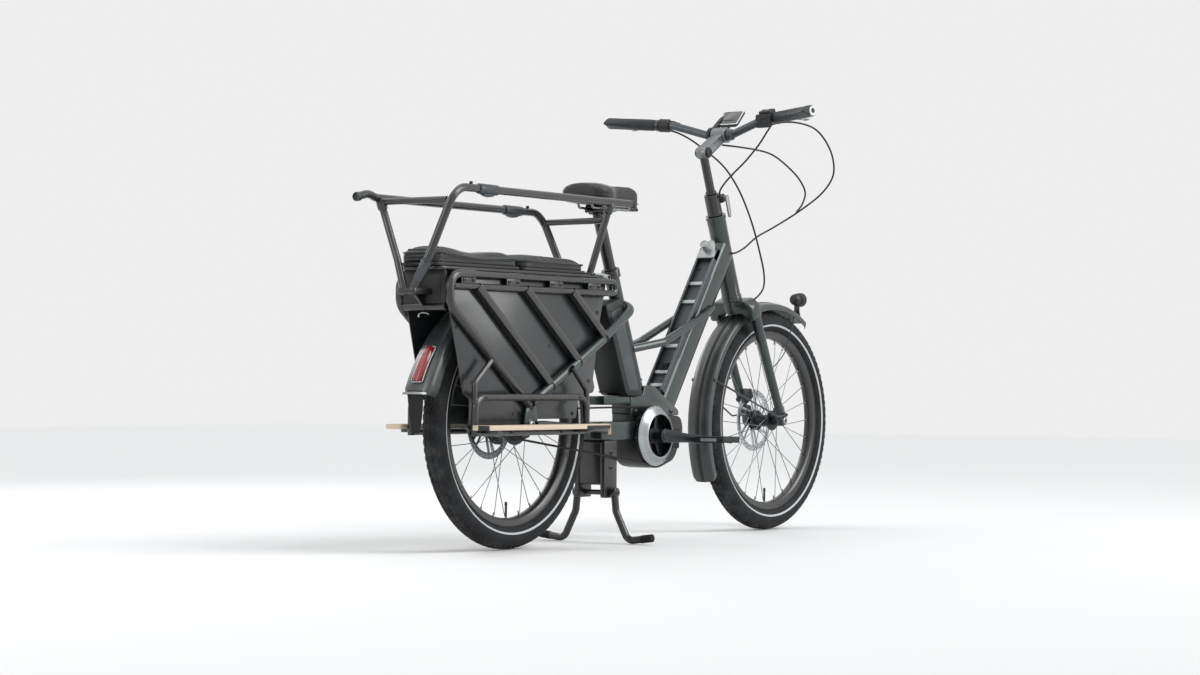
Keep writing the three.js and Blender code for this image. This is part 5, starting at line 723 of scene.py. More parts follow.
# %% [markdown]
# ## Metals
#
# Bar and stem are anodised, bolts and spokes bare steel, the rotors are machined in rings. A
# stretched noise makes a drawn grain. The rings of a rotor follow the distance from its own
# axle, which no ready texture knows, so they are written as a sine of that distance.

# %% Drawn and machined metal
def metal(name, base, roughness, stretch=(1, 6, 1), grain=0.6, metallic=1.0, wear=0.5):
    """Bare or anodised metal: a drawn or machined grain, finger marks and brighter edges."""
    p = Paint(name)
    lines, marks = p.noise(grain, 3, 0.6, stretch=stretch), p.noise(22, 5)
    tone = p.mix(lines.step(0.3, 0.7) * 0.4, base, scaled(base, 1.45, 0.01))
    tone = p.mix(marks.step(0.55, 0.85) * 0.3, tone, scaled(base, 0.6))
    tone = p.mix(p.edges(0.8) * wear, tone, "d8dadb")
    p.set(color=tone, roughness=roughness + marks.step(0.4, 0.85) * 0.15 + lines * 0.06, metallic=metallic)
    return p.bump(lines, 0.008)


def brushed_round(name, base, centre, roughness=0.28):
    """A disc machined in rings about its own centre."""
    p = Paint(name)
    radius = from_axle(p, centre)
    rings = (radius * 9000.0).sin() * 0.5 + 0.5
    marks, heat = p.noise(6, 5), p.noise(18, 3)
    track = radius.band(0.0805, 0.0075, 0.0012)
    tone = p.mix(rings * 0.3, base, scaled(base, 1.7))
    tone = p.mix((1.0 - track) * 0.35, tone, scaled(base, 0.62))
    tone = p.mix(heat.step(0.5, 0.8) * 0.22, tone, "7a7165")
    p.set(color=tone, metallic=1.0, roughness=roughness + rings * 0.08 + marks.step(0.45, 0.8) * 0.12)
    return p.bump(rings, 0.004)


# %% [markdown]
# ## Plywood, seat fabric, lenses and glass
#
# The foot boards are varnished birch ply, whose face shows long grain and whose edge shows its
# glued layers. One material can be both, because the true normal tells face from edge. The pads
# need a pebbled grain with soft creases, the lenses a prism grid under a clear skin.

# %% Birch plywood
def plywood(name):
    """Varnished birch ply: long grain on the faces and thin glued layers on the edges."""
    p = Paint(name)
    grain = p.noise(9, 6, 0.62, stretch=(0.06, 1, 1))
    figure = p.noise(42, 3, stretch=(0.12, 1, 1))
    pores = p.cells(2.2, stretch=(0.06, 1, 1))
    layers = ((p.z - 0.307) * (math.tau / 0.0026)).sin()
    flat = add_node(p.tree, "ShaderNodeNewGeometry", out="Normal").parts()[2].abs().step(0.55, 0.8)
    face = p.mix(grain.step(0.3, 0.7), "bda588", "d6c3aa")
    face = p.mix(figure.step(0.45, 0.72) * 0.4, face, "a88f71")
    face = p.mix((1.0 - pores.step(0.0, 0.3)) * 0.25, face, "86705a")
    edge = p.mix(layers.step(-0.35, 0.35), "e6dac8", "b5a084")
    edge = p.mix(grain.step(0.4, 0.8) * 0.3, edge, "cdbb9f")
    p.set(color=p.mix(flat, edge, face), roughness=0.42 + grain * 0.16, coat=0.25, coat_roughness=0.22)
    return p.bump(grain * 0.6 + layers * 0.3, 0.05)


# %% Seat fabric, lens and display glass
def upholstery(name, base, seam_light):
    """Coated seat fabric: a fine pebbled grain, soft creases and a slight sheen."""
    p = Paint(name)
    pebbles, creases, cloud = p.cells(1.5), p.noise(26, 4, 0.5, stretch=(0.6, 1, 1)), p.noise(90, 3)
    tone = p.mix(cloud.step(0.35, 0.7) * 0.5, base, seam_light)
    tone = p.mix(pebbles.step(0.15, 0.6) * 0.35, tone, scaled(base, 0.55))
    p.set(color=tone, roughness=0.42 + pebbles * 0.16, sheen=0.4, sheen_roughness=0.3, specular=0.55)
    return p.bump(pebbles * 0.5 + creases * 0.9, 0.22)


def lens(name, base, deep, glow=0.0):
    """A moulded lens: a prism grid under a clear skin."""
    p = Paint(name)
    grid = ((p.z * 1900.0).sin() * 0.5 + 0.5) * ((p.y * 1900.0).sin() * 0.5 + 0.5)
    tone = p.mix(grid, deep, base)
    tone = p.mix(p.noise(20, 3).step(0.5, 0.8) * 0.25, tone, deep)
    p.set(color=tone, roughness=0.16 + grid * 0.08, coat=0.8, coat_roughness=0.05, ior=1.49)
    if glow:
        p.set(emission=base, emission_strength=glow)
    return p.bump(grid, 0.25)


def glassy(name):
    """Dark glass of the display: a sealed panel without any writing."""
    p = Paint(name)
    smears = p.noise(14, 5)
    p.set(color=p.mix(smears.step(0.45, 0.8) * 0.5, "0b0d10", "1a1f25"),
          roughness=0.07 + smears.step(0.4, 0.8) * 0.14, coat=0.9, coat_roughness=0.04, specular=0.6)
    return p.bump(smears, 0.01)


# %% Smooth black sheet
def guard_sheet(name):
    """Smooth black sheet with a soft shine: a faint rolled texture, dust low down and rubbed spots."""
    p = Paint(name)
    skin, cloud, dust = p.noise(3.2, 2), p.noise(120, 3), p.noise(20, 5) * p.z.step(0.62, 0.33)
    scuffs = p.noise(6, 6, 0.7, stretch=(0.35, 1, 1.4))
    tone = p.mix(cloud.step(0.35, 0.7) * 0.5, "1c1f21", "24282a")
    tone = p.mix(dust.step(0.4, 0.8) * 0.4, tone, "4a4c4b")
    tone = p.mix(scuffs.step(0.7, 0.82) * 0.2, tone, "5b5f60")
    p.set(color=tone, roughness=0.26 + dust.step(0.35, 0.8) * 0.2 + skin * 0.05, coat=0.35,
          coat_roughness=0.14)
    return p.bump(skin * 0.5 + cloud, 0.05)


# %% The shelf of finishes
FRONT_AXLE, REAR_AXLE, CRANK_AXLE = (0.694, 0.318), (-0.539, 0.318), (0.041, 0.283)
M = {
    "frame": painted("frame_paint", "24312f", "6d8480", "182120", 0.34, 0.45, 0.75),
    "black": satin("black_satin_paint", "141516", 0.36, 0.0, 0.45),
    "rail": satin("black_rail_paint", "17181a", 0.3, 0.0, 0.6),
    "plastic": moulded("black_plastic", "1b1c1e"),
    "smooth": moulded("smooth_black_plastic", "161718", 0.38, 2.0, 0.015),
    "fender": satin("fender_plastic", "2c3031", 0.38, 0.0, 0.45),
    "rubber": soft_rubber("rubber", "161616"),
    "grip": soft_rubber("grip_rubber", "26282a", 0.5),
    "cable": soft_rubber("cable_jacket", "121314", 0.5),
    "pale": metal("pale_metal", "9ea2a2", 0.34, (1, 1, 1), 0.5, 0.85),
    "dark": metal("dark_metal", "34373a", 0.36, (1, 5, 1), 0.7, 0.9),
    "bright": metal("bright_metal", "b6babc", 0.24),
    "stem": metal("stem_metal", "76797b", 0.34, (1, 1, 5), 0.6, 0.9),
    "bar": metal("handlebar_metal", "4d5154", 0.3, (5, 1, 5), 0.6, 0.9, 0.35),
    "steel": metal("bolt_steel", "8d9092", 0.3, (1, 1, 1), 0.4),
    "spoke": metal("spoke_steel", "6a6e71", 0.3, (1, 1, 1), 0.5),
    "front_disc": brushed_round("front_disc_steel", "b9bdc0", FRONT_AXLE),
    # The rear disc's steel is the front disc's made darker: painted shade.
    "rear_disc": brushed_round("rear_disc_steel", "777b7e", REAR_AXLE),
    "guard": brushed_round("guard_ring_metal", "a5a9ab", CRANK_AXLE, 0.2),
    "front_tyre": tyre_rubber("front_tyre_rubber", FRONT_AXLE),
    "rear_tyre": tyre_rubber("rear_tyre_rubber", REAR_AXLE),
    "ply": plywood("birch_plywood"),
    "pad": upholstery("seat_pad_fabric", "1b1c1d", "232527"),
    "saddle": upholstery("saddle_cover", "161718", "1f2122"),
    "thread": moulded("seam_thread", "3b3e41", 0.5, 0.5, 0.03),
    "red": lens("red_lens", "b3121c", "5c0508", 0.12),
    "clear": lens("clear_lens", "c3c9cc", "7c8488"),
    "glass": glassy("display_glass"),
    "battery": moulded("battery_shell", "191b1c", 0.42, 1.1, 0.03),
    "battery_side": moulded("battery_side_panel", "3b4043", 0.4, 1.6, 0.02),
    "sheet": guard_sheet("wheel_guard_sheet"),
}
print(len(M), "finishes")

# %% [markdown]
# ## The four cables
#
# Two brake hoses, a gear hose and a display cable hang in loose bows ahead of the bar. Their
# points were placed over the photo. A cord simulation could drape them, but the fixed
# run follows the photo more closely. The long hose is two cords that meet.

# %% The runs of the cables
CABLE_RADIUS = 2.6
LONG_HOSE = [
    (984, -186, 1155.4), (1003.5, -189, 1160.3), (1050, -214, 1163), (1107, -240, 1150),
    (1152, -250, 1119), (1213, -240, 1070), (1247, -220, 1024), (1255, -180, 978),
    (1216, -122, 922), (1146, -80, 874), (1096, -56, 845), (1056, -42, 814),
    (1024, -35, 799), (1002, -34, 795),
]
SECOND_HOSE = [
    (980.8, -12, 1103.8), (990, -24, 1102), (1003, -34, 1101), (1040, -46, 1099),
    (1085, -58, 1096), (1142, -76, 1086), (1201, -90, 1058), (1246, -108, 1018),
    (1262, -118, 981), (1245, -118, 946), (1214, -117, 921),
]
FRONT_HOSE = [
    (984, 186, 1155.4), (1002, 180, 1156), (1016, 160, 1148), (1018, 120, 1128),
    (1026, 70, 1092), (1018, 20, 1058), (1010, -16, 1026), (1042, -34, 972),
    (1095, -40, 889), (1130, -44, 810), (1147, -50, 742), (1136, -56, 704),
    (1106, -60, 680), (1080, -62, 668),
]
DISPLAY_CABLE = [
    (993.9, -170, 1157.4), (1008, -156, 1150), (1018, -138, 1136), (1020, -112, 1104),
    (1004, -76, 1056), (985, -50, 1023), (957, -35, 990), (946, -27.6, 968), (949.5, -26.2, 949),
]

# %% Laying the cables
def lay_cord(name, line, node, blended):
    """A stretch of cable along a line."""
    made = Form(name).tube(line, CABLE_RADIUS, 12).done(None, M["cable"], node, "rubber")
    length = sum((b - a).length for a, b in zip(line, line[1:])) / 1000
    path = [tuple(place(*p)) for p in line]
    body_a, body_b, start, end = blended
    tuple(place(*start))
    tuple(place(*end))
    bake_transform(made)
    print(name, round(length, 3), "m")
    return made


long_line = catmull(LONG_HOSE, 6)
half = 7 * 6  # the line's points up to the loop's far side
lay_cord("rear_brake_hose_upper", long_line[:half + 1], "rear_hoses",
         ("stem", "steering", (1160, -250, 1110), (1255, -200, 990)))
lay_cord("rear_brake_hose_lower", long_line[half:], "rear_hoses",
         ("steering", "frame", (1216, -122, 922), (1010, -34, 797)))
lay_cord("gear_hose", catmull(SECOND_HOSE, 6), "rear_hoses",
         ("stem", "steering", (1142, -76, 1086), (1250, -112, 950)))
lay_cord("front_brake_hose_run", catmull(FRONT_HOSE, 6), "front_brake_hose",
         ("stem", "steering", (1026, 70, 1092), (1095, -40, 889)))
lay_cord("display_cable_run", catmull(DISPLAY_CABLE, 5), "display_cable",
         ("stem", "steering", (1018, -138, 1136), (949, -26, 955)))

# %% [markdown]
# ## Wheels
#
# Tread blocks, spokes, nipples and rotor holes are one small piece each, many times round an
# axle. A loop could write every copy. Geometry Nodes place them from one model, and the result
# is kept as a plain mesh so that the wheel exports and turns as it is.

# %% Repeats by Geometry Nodes
def repeated(name, piece, axis_point, count, finish_now, start=0.0):
    """Copies one piece round a wheel's axle with Geometry Nodes and keeps the plain mesh."""
    group = bpy.data.node_groups.new(name + "_repeat", "GeometryNodeTree")
    group.interface.new_socket("Copies", in_out="INPUT", socket_type="NodeSocketInt").default_value = count
    group.interface.new_socket("Piece", in_out="INPUT", socket_type="NodeSocketObject")
    group.interface.new_socket("Finish", in_out="INPUT", socket_type="NodeSocketMaterial")
    group.interface.new_socket("Geometry", in_out="OUTPUT", socket_type="NodeSocketGeometry")
    nodes, links = group.nodes, group.links
    given, out = nodes.new("NodeGroupInput"), nodes.new("NodeGroupOutput")
    points = nodes.new("GeometryNodePoints")
    links.new(given.outputs["Copies"], points.inputs["Count"])
    points.inputs["Position"].default_value = axis_point
    info = nodes.new("GeometryNodeObjectInfo")
    info.transform_space = "ORIGINAL"
    links.new(given.outputs["Piece"], info.inputs["Object"])
    index = nodes.new("GeometryNodeInputIndex")
    share = nodes.new("ShaderNodeMath")
    share.operation = "DIVIDE"
    links.new(index.outputs[0], share.inputs[0])
    links.new(given.outputs["Copies"], share.inputs[1])
    turn = nodes.new("ShaderNodeMath")
    turn.operation = "MULTIPLY_ADD"
    turn.inputs[1].default_value = math.tau
    turn.inputs[2].default_value = start
    links.new(share.outputs[0], turn.inputs[0])
    angles = nodes.new("ShaderNodeCombineXYZ")
    links.new(turn.outputs[0], angles.inputs[1])
    rotate = nodes.new("FunctionNodeEulerToRotation")
    links.new(angles.outputs[0], rotate.inputs[0])
    spread = nodes.new("GeometryNodeInstanceOnPoints")
    links.new(points.outputs[0], spread.inputs["Points"])
    links.new(info.outputs["Geometry"], spread.inputs["Instance"])
    links.new(rotate.outputs[0], spread.inputs["Rotation"])
    real = nodes.new("GeometryNodeRealizeInstances")
    links.new(spread.outputs[0], real.inputs[0])
    paint = nodes.new("GeometryNodeSetMaterial")
    links.new(real.outputs[0], paint.inputs["Geometry"])
    links.new(given.outputs["Finish"], paint.inputs["Material"])
    links.new(paint.outputs[0], out.inputs[0])
    holder = show(name, bpy.data.meshes.new(name + "_empty"))
    modifier = holder.modifiers.new("repeat", "NODES")
    modifier.node_group = group
    sockets = {s.name: s.identifier for s in group.interface.items_tree if s.in_out == "INPUT"}
    modifier[sockets["Copies"]] = count
    modifier[sockets["Piece"]] = piece
    modifier[sockets["Finish"]] = finish_now
    bpy.context.view_layer.update()
    shown = holder.evaluated_get(bpy.context.evaluated_depsgraph_get())
    mesh = bpy.data.meshes.new_from_object(shown)
    holder.modifiers.clear()
    holder.data = mesh
    mesh.shade_smooth()
    mesh.set_sharp_from_angle(angle=math.radians(34))
    if not mesh.materials:
        mesh.materials.append(finish_now)
    return holder


def pattern_piece(form):
    """A model piece about the origin, in metres, for repeating."""
    mesh = bpy.data.meshes.new(form.name)
    mesh.from_pydata([v / 1000 for v in form.verts], [], form.faces)
    outwards(mesh)
    return show(form.name, mesh)


def all_round(name, form, x, count, finish, body, node=None, start=0.0):
    """Repeats a form round the axle at x; it rides on its body and stands in for a CAD node."""
    model = pattern_piece(form)
    made = repeated(name, model, tuple(place(x, 0, AXLE_Z)), count, finish, start)
    bpy.data.objects.remove(model, do_unlink=True)
    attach(made, body)
    if node:
        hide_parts(node)
    print(name, count, "times")

# %% [markdown]
# ## Tyre, rim, spokes and rotor
#
# The tyre is a wide casing with five rows of low blocks, the rim a hollow section turned round
# the axle, and the spokes cross in four sets of seven. Each rotor has a ring, twelve arms and
# holes. The round parts are turned from one section and the rest is repeated.

# %% Tyre casing and tread blocks
TYRE_RADIUS, TYRE_HALF, SECTION = 318.0, 31.0, 31.0


def tyre_profile():
    """The tyre's cross-section, from one bead over the tread to the other."""
    half_line = []
    centre = TYRE_RADIUS - SECTION
    for k in range(25):
        turn = math.radians(3 + k * 5.9)
        r = centre + (SECTION - 2.4) * math.cos(turn)
        y = (TYRE_HALF - 0.4) * math.sin(turn)
        if r < 262.5 or y < 15.2 and turn > 2:
            break
        half_line.append((r, y))
    half_line += [(261.0, 15.4), (260.0, 15.0)]
    crown = [(TYRE_RADIUS - 2.4, 0.0)]
    other = [(r, -y) for r, y in reversed(half_line)]
    return other + crown + half_line


def tread_block(name, y_low, y_high, length, height, lean):
    """One tread block about the wheel's centre, at the top of the wheel."""
    form = Form(name)
    centre = TYRE_RADIUS - SECTION
    rings = []
    for out, grow in ((-3.0, 0.0), (height - 0.7, 0.0), (height, -0.7)):
        ring = []
        for y_share, along in ((0, -1), (1, -1), (1, 1), (0, 1)):
            y = y_low + (y_high - y_low) * y_share + (1 if y_share else -1) * grow
            turn = math.asin(max(-0.98, min(0.98, y / TYRE_HALF)))
            radius = centre + (SECTION - 2.4) * math.cos(turn)
            x = along * (length / 2 + grow) + lean * (y - (y_low + y_high) / 2)
            r = radius + out * math.cos(turn * 0.6)
            ring.append((x, y + out * math.sin(turn) * 0.45, r * math.cos(x / TYRE_RADIUS)))
        rings.append(ring)
    return form.rings(rings)

# %% Tyres and rims
TREAD_COUNT = 92
TREAD_ROWS = (
    ("centre", -7.2, 7.2, 14.5, 2.2, 0.18, 0.0),
    ("left_inner", 9.6, 17.2, 15.0, 1.8, 0.35, 0.5),
    ("right_inner", -17.2, -9.6, 15.0, 1.8, -0.35, 0.0),
    ("left_outer", 19.4, 25.4, 12.5, 1.1, -0.3, 0.0),
    ("right_outer", -25.4, -19.4, 12.5, 1.1, 0.3, 0.5),
)


def tyre(end, x, body, finish, node):
    form = Form(end + "_tyre_casing")
    form.turned(tyre_profile() + [(262, 12), (262, -12)], Vector((x, 0, AXLE_Z)), segments=180)
    form.done(body, finish, node, "tyre_rubber")
    for row, low, high, length, height, lean, phase in TREAD_ROWS:
        block = tread_block(end + "_block_" + row, low, high, length, height, lean)
        all_round(end + "_tread_" + row, block, x, TREAD_COUNT, finish, body, node,
                  phase * math.tau / TREAD_COUNT)


RIM_SECTION = [
    (259.6, 16.8), (256.5, 17.0), (254.0, 16.2), (247.0, 15.2), (242.0, 12.2), (239.0, 8.0),
    (237.8, 3.5), (237.8, -3.5), (239.0, -8.0), (242.0, -12.2), (247.0, -15.2), (254.0, -16.2),
    (256.5, -17.0), (259.6, -16.8), (259.6, -14.0), (252.0, -12.5), (250.0, 0.0), (252.0, 12.5),
    (259.6, 14.0),
]


def rim(end, x, body, node):
    """The rim with its valve, and the nipples round it."""
    form = Form(end + "_rim_body")
    form.turned(RIM_SECTION, Vector((x, 0, AXLE_Z)), segments=180)
    form.bar(polar(-90, 236, 0, x), polar(-90, 205, 0, x), 3.2, 12)
    form.bar(polar(-90, 205.5, 0, x), polar(-90, 197, 0, x), 4.2, 12, 3.4, 0.6)
    form.done(body, M["black"], node, "black_paint")
    nipple = Form(end + "_nipple").bar((237.9, 0, 0), (226.5, 0, 0), 2.3, 8, 1.7, 0.4)
    all_round(end + "_nipples", nipple, x, 28, M["steel"], body, node)


# %% Spokes
def spokes(end, x, body, flange, spread, node):
    """Four sets of seven crossed spokes, each with its elbow and head at the flange."""
    for kind, side, lean, first in (("a", 1, -1, 3), ("b", 1, 1, 1), ("c", -1, 1, 0), ("d", -1, -1, 2)):
        form = Form(end + "_spoke_" + kind)
        sweep, hole = math.radians(48) * lean, flange - 4
        out = Vector((hole * math.cos(sweep), side * spread + lean * 1.6, -hole * math.sin(sweep)))
        rim_end = Vector((234, side * 3.4 + lean * 0.4, 0))
        inner = out + (rim_end - out).normalized() * 5
        form.tube([out - SIDE * (side * 3.2 * lean), out + SIDE * (side * 0.8), inner, rim_end], 1.05, 8)
        form.bar(out + SIDE * (lean * side * 3.6), out + SIDE * (lean * side * 4.9), 2.3, 10)
        all_round(end + "_spokes_" + kind, form, x, 7, M["spoke"], body, node,
                  -math.tau / 28 * first)


# %% Brake rotor
def rotor(end, x, body, finish, disc_y, node):
    """The brake disc: a ring, a hub, twelve arms, six bolts and the holes of the ring."""
    form = Form(end + "_brake_rotor")
    centre, low, high = Vector((x, 0, AXLE_Z)), disc_y - 0.9, disc_y + 0.9
    ring = [(90, low + 0.2), (90, high - 0.2), (89.6, high), (73.6, high), (73, high - 0.3),
            (73, low + 0.3), (73.6, low), (89.6, low)]
    form.turned(ring, centre, segments=144)
    form.turned([(30, low), (30, high), (14, high), (14, low)], centre, segments=72)
    for k in range(12):
        a = 30 * k
        start, end_at = polar(a, 27, 0, x), polar(a + (16 if k % 2 else 30), 75, 0, x)
        along = (end_at - start).normalized()
        across = Vector((-along.z, 0, along.x)) * (3.2 if k % 2 else 4.2)
        arm = [start - across, end_at - across, end_at + across, start + across]
        form.plate([(p.x, p.z) for p in arm], low, high, 0.15)
    for k in range(6):
        form.bolt(polar(60 * k + 10, 22, high, x), SIDE, 3.4, 1.6)
    form.done(body, finish, node, "bright_metal")
    holes = Form(end + "_rotor_slot")
    for r, z in ((81.5, -5.0), (76.8, 4.0), (86.0, 6.0)):
        holes.bar((r, disc_y - 1.02, z), (r, disc_y + 1.02, z), 1.9, 12)
    all_round(end + "_rotor_holes", holes, x, 30, M["cable"], body)


# %% Both wheels
def wheel(end, x, hub_profile, flange, spread, disc_y):
    body = end + "_wheel"
    tyre(end, x, body, M[end + "_tyre"], end + "_tyre")
    rim(end, x, body, end + "_rim")
    spokes(end, x, body, flange, spread, end + "_hub_and_spokes")
    hub = Form(end + "_hub_shell").turned(hub_profile, Vector((x, 0, AXLE_Z)), segments=96)
    hub.done(body, M["dark"], end + "_hub_and_spokes", "dark_metal", bevel=0.5)
    rotor(end, x, body, M[end + "_disc"], disc_y, end + "_brake_disc")


wheel("front", FRONT_X, [
    (6.2, -44.5), (12.6, -44.5), (13, -44), (13, -30), (28, -29.2), (29, -28.4), (29, -23.6), (28, -22.9),
    (19, -20.5), (17, -16), (16, 0), (17, 16), (19, 20.5), (28, 22.9), (29, 23.6), (29, 28.4), (28, 29.2),
    (17, 30), (17, 36.5), (13, 37), (13, 44), (12.6, 44.5), (6.2, 44.5),
], 29, 26, 38)
wheel("rear", 0.0, [
    (6.2, -71.5), (15.5, -71.5), (16, -71), (16, -51.5), (31, -50.5), (33.6, -48), (38, -40), (42, -31),
    (51, -30.2), (52, -29.4), (52, -24.8), (51, -24), (43.5, -22), (42, -18), (41, -6), (41, 6), (42, 18),
    (43.5, 22), (51, 24), (52, 24.8), (52, 29.4), (51, 30.2), (33, 31), (30, 36), (24, 54), (16, 55),
    (16, 71), (15.5, 71.5), (6.2, 71.5),
], 52, 27, 56)

# %% Axle bolts
for name, x, body, half_width in (("front_axle_bolts", FRONT_X, "steering", 67.8),
                                  ("rear_axle_bolts", 0.0, "frame", 80.3)):
    form = Form(name)
    form.bar((x, -half_width, AXLE_Z), (x, half_width, AXLE_Z), 5.9, 24)
    for side in (-1, 1):
        form.bolt((x, side * half_width, AXLE_Z), (0, side, 0), 9.8, 4.9)
        form.bar((x, side * (half_width + 0.1), AXLE_Z), (x, side * (half_width + 0.9), AXLE_Z), 10.8, 32)
    form.done(body, M["steel"], "front_axle" if x else "rear_axle", "dark_metal")
print("wheels made")

# %% [markdown]
# ## The main frame
#
# The frame is welded from round tubes, with a wide, deep down tube that shields the battery
# dock. Subdivided boxes would be quick but never round. Swept tubes with a weld bead at each
# joint catch the light the way the real seams do. All of them stand in for the one packed frame.

# %% Head tube
form = Form("head_tube")
form.turned([
    (21.0, 2.0), (28.4, 0.0), (29.0, 0.8), (29.0, 11.0), (28.4, 12.0), (27.3, 12.3), (27.3, 16.0),
    (27.0, 17.0), (26.6, 80.0), (26.6, 160.0), (27.0, 224.0), (27.4, 228.0), (27.4, 240.7), (28.4, 241.2),
    (29.0, 242.0), (29.0, 252.0), (28.2, 253.0), (21.0, 251.0),
], steer(0, 0, 388.3), STEER_UP, 72)
form.done("frame", M["frame"], "main_frame", "frame_paint")

# %% Down tube
form = Form("down_tube")
top = 12.3
half_section = [
    (0, top), (22, top), (27.5, top + 1.2), (30.4, top + 5), (31, top + 12), (31, top + 44),
    (30.2, top + 51), (27.6, top + 58), (23, top + 66), (18.5, top + 72.5), (13.5, top + 76.6),
    (7, top + 78),
]
section = half_section + [(0, top + 78)] + [(-y, n) for y, n in reversed(half_section[1:])]
rings = []
for along in range(-12, 521, 14):
    pinch = 1 - 0.03 * math.sin(math.pi * max(0, min(1, along / 520)))
    rings.append([down(along, top + (n - top) * pinch, y) for y, n in section])
form.rings(rings)
form.done("frame", M["frame"], "main_frame", "frame_paint", sharp=40)

# %% Top tubes and seat tube
form = Form("top_tubes")
for side in (-1, 1):
    path = rounded([
        (900, side * 33, 634), (852, side * 42.5, 615.4), (652, side * 42.5, 538),
        (seat_axis_x(517), side * 14.5, 517),
    ], 60)
    form.tube(path, 11, 28)
    form.weld((896, side * 33.5, 632.5), (48, side * -9.5, 18.6), 11, 2.2)
form.done("frame", M["frame"], "main_frame", "frame_paint")

form = Form("seat_tube")
form.turned([(16, 0), (20, 0), (20, 394), (19.4, 400), (16.1, 400)], seat(70), SEAT_UP, 56)
form.weld(seat(158), SEAT_UP, 20, 2.6)
form.done("frame", M["frame"], "main_frame", "frame_paint")

# %% Stays
form = Form("seat_stays")
for side in (-1, 1):
    corners = [
        (seat_axis_x(640), side * 8, 640), (470, side * 61, 624), (300, side * 79, 533),
        (0, side * 79, 373),
    ]
    form.tube(rounded(corners, 70), 12, 28)
    form.weld((seat_axis_x(640) - 14, side * 19, 637), (-29, side * 53, -16), 12, 2.0)
bridge_z = 553
form.tube([(340, -70, bridge_z), (340, 70, bridge_z)], 8, 24)
form.weld((340, -62, bridge_z), (0, 1, 0), 8, 1.8)
form.weld((340, 62, bridge_z), (0, 1, 0), 8, 1.8)
form.done("frame", M["frame"], "main_frame", "frame_paint")

form = Form("chain_stays")
for side in (-1, 1):
    form.tube(rounded([
        (390, side * 38, 298), (335, side * 49, 303), (60, side * 76, 318), (22, side * 76, 318),
    ], 70), 10, 24)
form.done("frame", M["frame"], "main_frame", "frame_paint")

# %% Dropouts
form = Form("rear_dropouts")
plate = outline([(-26, 301.5), (26, 301.5), (26, 340), (13, 384), (-13, 384), (-26, 340)], 11)
for side in (-1, 1):
    low, high = mirrored(side, 72, 80)
    form.plate(plate, low, high, 1.4)
    form.turned([(10.5, 0), (14.5, 0), (14.5, 1.6), (13.6, 2.2), (10.5, 2.2)],
                (0, high if side > 0 else low, 318), (0, side, 0), 40)
    form.bolt((0, side * 80, 360), (0, side, 0), 5, 2.6)
form.done("frame", M["frame"], "main_frame", "frame_paint")

# %% [markdown]
# ## Motor and rear battery
#
# The motor hangs below its cradle and the battery stands behind the seat tube. Both are moulded
# shells with flat sides and generous corners. They are outlines pulled to their width with a
# softened edge, and the covers, fins and bolts lie on the sides.

# %% Motor cradle, battery beam and yoke
form = Form("motor_cradle")
cradle = outline([
    (506, 336), (738, 336), (738, 351), (663, 391), (seat_axis_x(403) + 40, 418),
    (seat_axis_x(403) - 5, 418), (seat_axis_x(390) - 20, 390), (506, 390),
], 10)
form.plate(cradle, -32, 32, 3.2)
form.plate(rectangle(385, 366, 508, 390, 5), -30, 30, 2.5)
form.plate(rectangle(506, 317, 524, 341, 3), -30, 30, 2)
form.plate(rectangle(356, 272, 524, 322, 10), -44, 44, 5)
for x, z in ((530, 348), (700, 347)):
    for side in (-1, 1):
        form.bolt((x, side * 32, z), (0, side, 0), 6, 3)
form.done("frame", M["frame"], "main_frame", "frame_paint", sharp=40)

# %% Motor with its covers
form = Form("motor_housing")
rear, top_z, low_z, front = 524.3, 335.7, 192.0, 745.0
shares = [(0, 1), (0.94, 1), (1, 0.72), (0.8, 0.16), (0.45, 0), (0.15, 0.06), (0, 0.32)]
corners = [(rear + a * (front - rear), low_z + b * (top_z - low_z)) for a, b in shares]
form.plate(outline(corners, 22, 8), -44, 44, 5)
inner = inset(outline(corners, 22, 8), 13)
for side in (-1, 1):
    low, high = mirrored(side, 43.6, 45.4)
    form.plate(inner, low, high, 0.8)
    form.turned([(12, 0), (52, 0), (52, 2.6), (50.5, 4.4), (30, 5.6), (24, 5.6), (22, 4.0), (12, 4.0)],
                CRANK + SIDE * (side * 44), (0, side, 0), 72)
    for k in range(6):
        form.bolt(CRANK + SIDE * (side * 48.2) + Vector((math.cos(k * 1.047), 0, math.sin(k * 1.047))) * 41,
                  (0, side, 0), 3.2, 1.8)
for k in range(5):
    fin = outline([(664 + k * 12, 246), (670 + k * 12, 246), (675 + k * 12, 300), (669 + k * 12, 300)], 2)
    form.plate(fin, -46.6, -45, 0.5)
    form.plate(fin, 45, 46.6, 0.5)
form.done("frame", M["smooth"], "motor", "black_plastic", sharp=38)

# %% Battery behind the seat tube
form = Form("battery_case")
rise = math.tan(SEAT_LEAN)
foot_z, batt_top = 390.3, 652.0
corners = [(469, foot_z), (549, foot_z), (549 - 262 * rise, batt_top), (469 - 262 * rise, 632)]
form.plate(outline(corners, 16, 6), -45, 45, 6)
form.done("frame", M["battery"], "rear_battery", "battery_shell", sharp=42)
form = Form("battery_side_faces")
face = [(479, foot_z + 16), (527, foot_z + 16), (526 - 222 * rise, 628), (476 - 218 * rise, 612)]
for low, high in ((-45.9, -44.6), (44.6, 45.9)):
    form.plate(outline(face, 10, 6), low, high, 0.6)
form.done("frame", M["battery_side"], "rear_battery", "battery_shell")
form = Form("battery_lip")
for z in (foot_z + 8, 612):
    x0, x1 = 469 - (z - foot_z) * rise, 549 - (z - foot_z) * rise
    form.plate(outline([(x0 - 0.8, z), (x1 - 12, z), (x1 - 13, z + 4), (x0 - 2.4, z + 4)], 1.5), -45.8,
               45.8, 1.2)
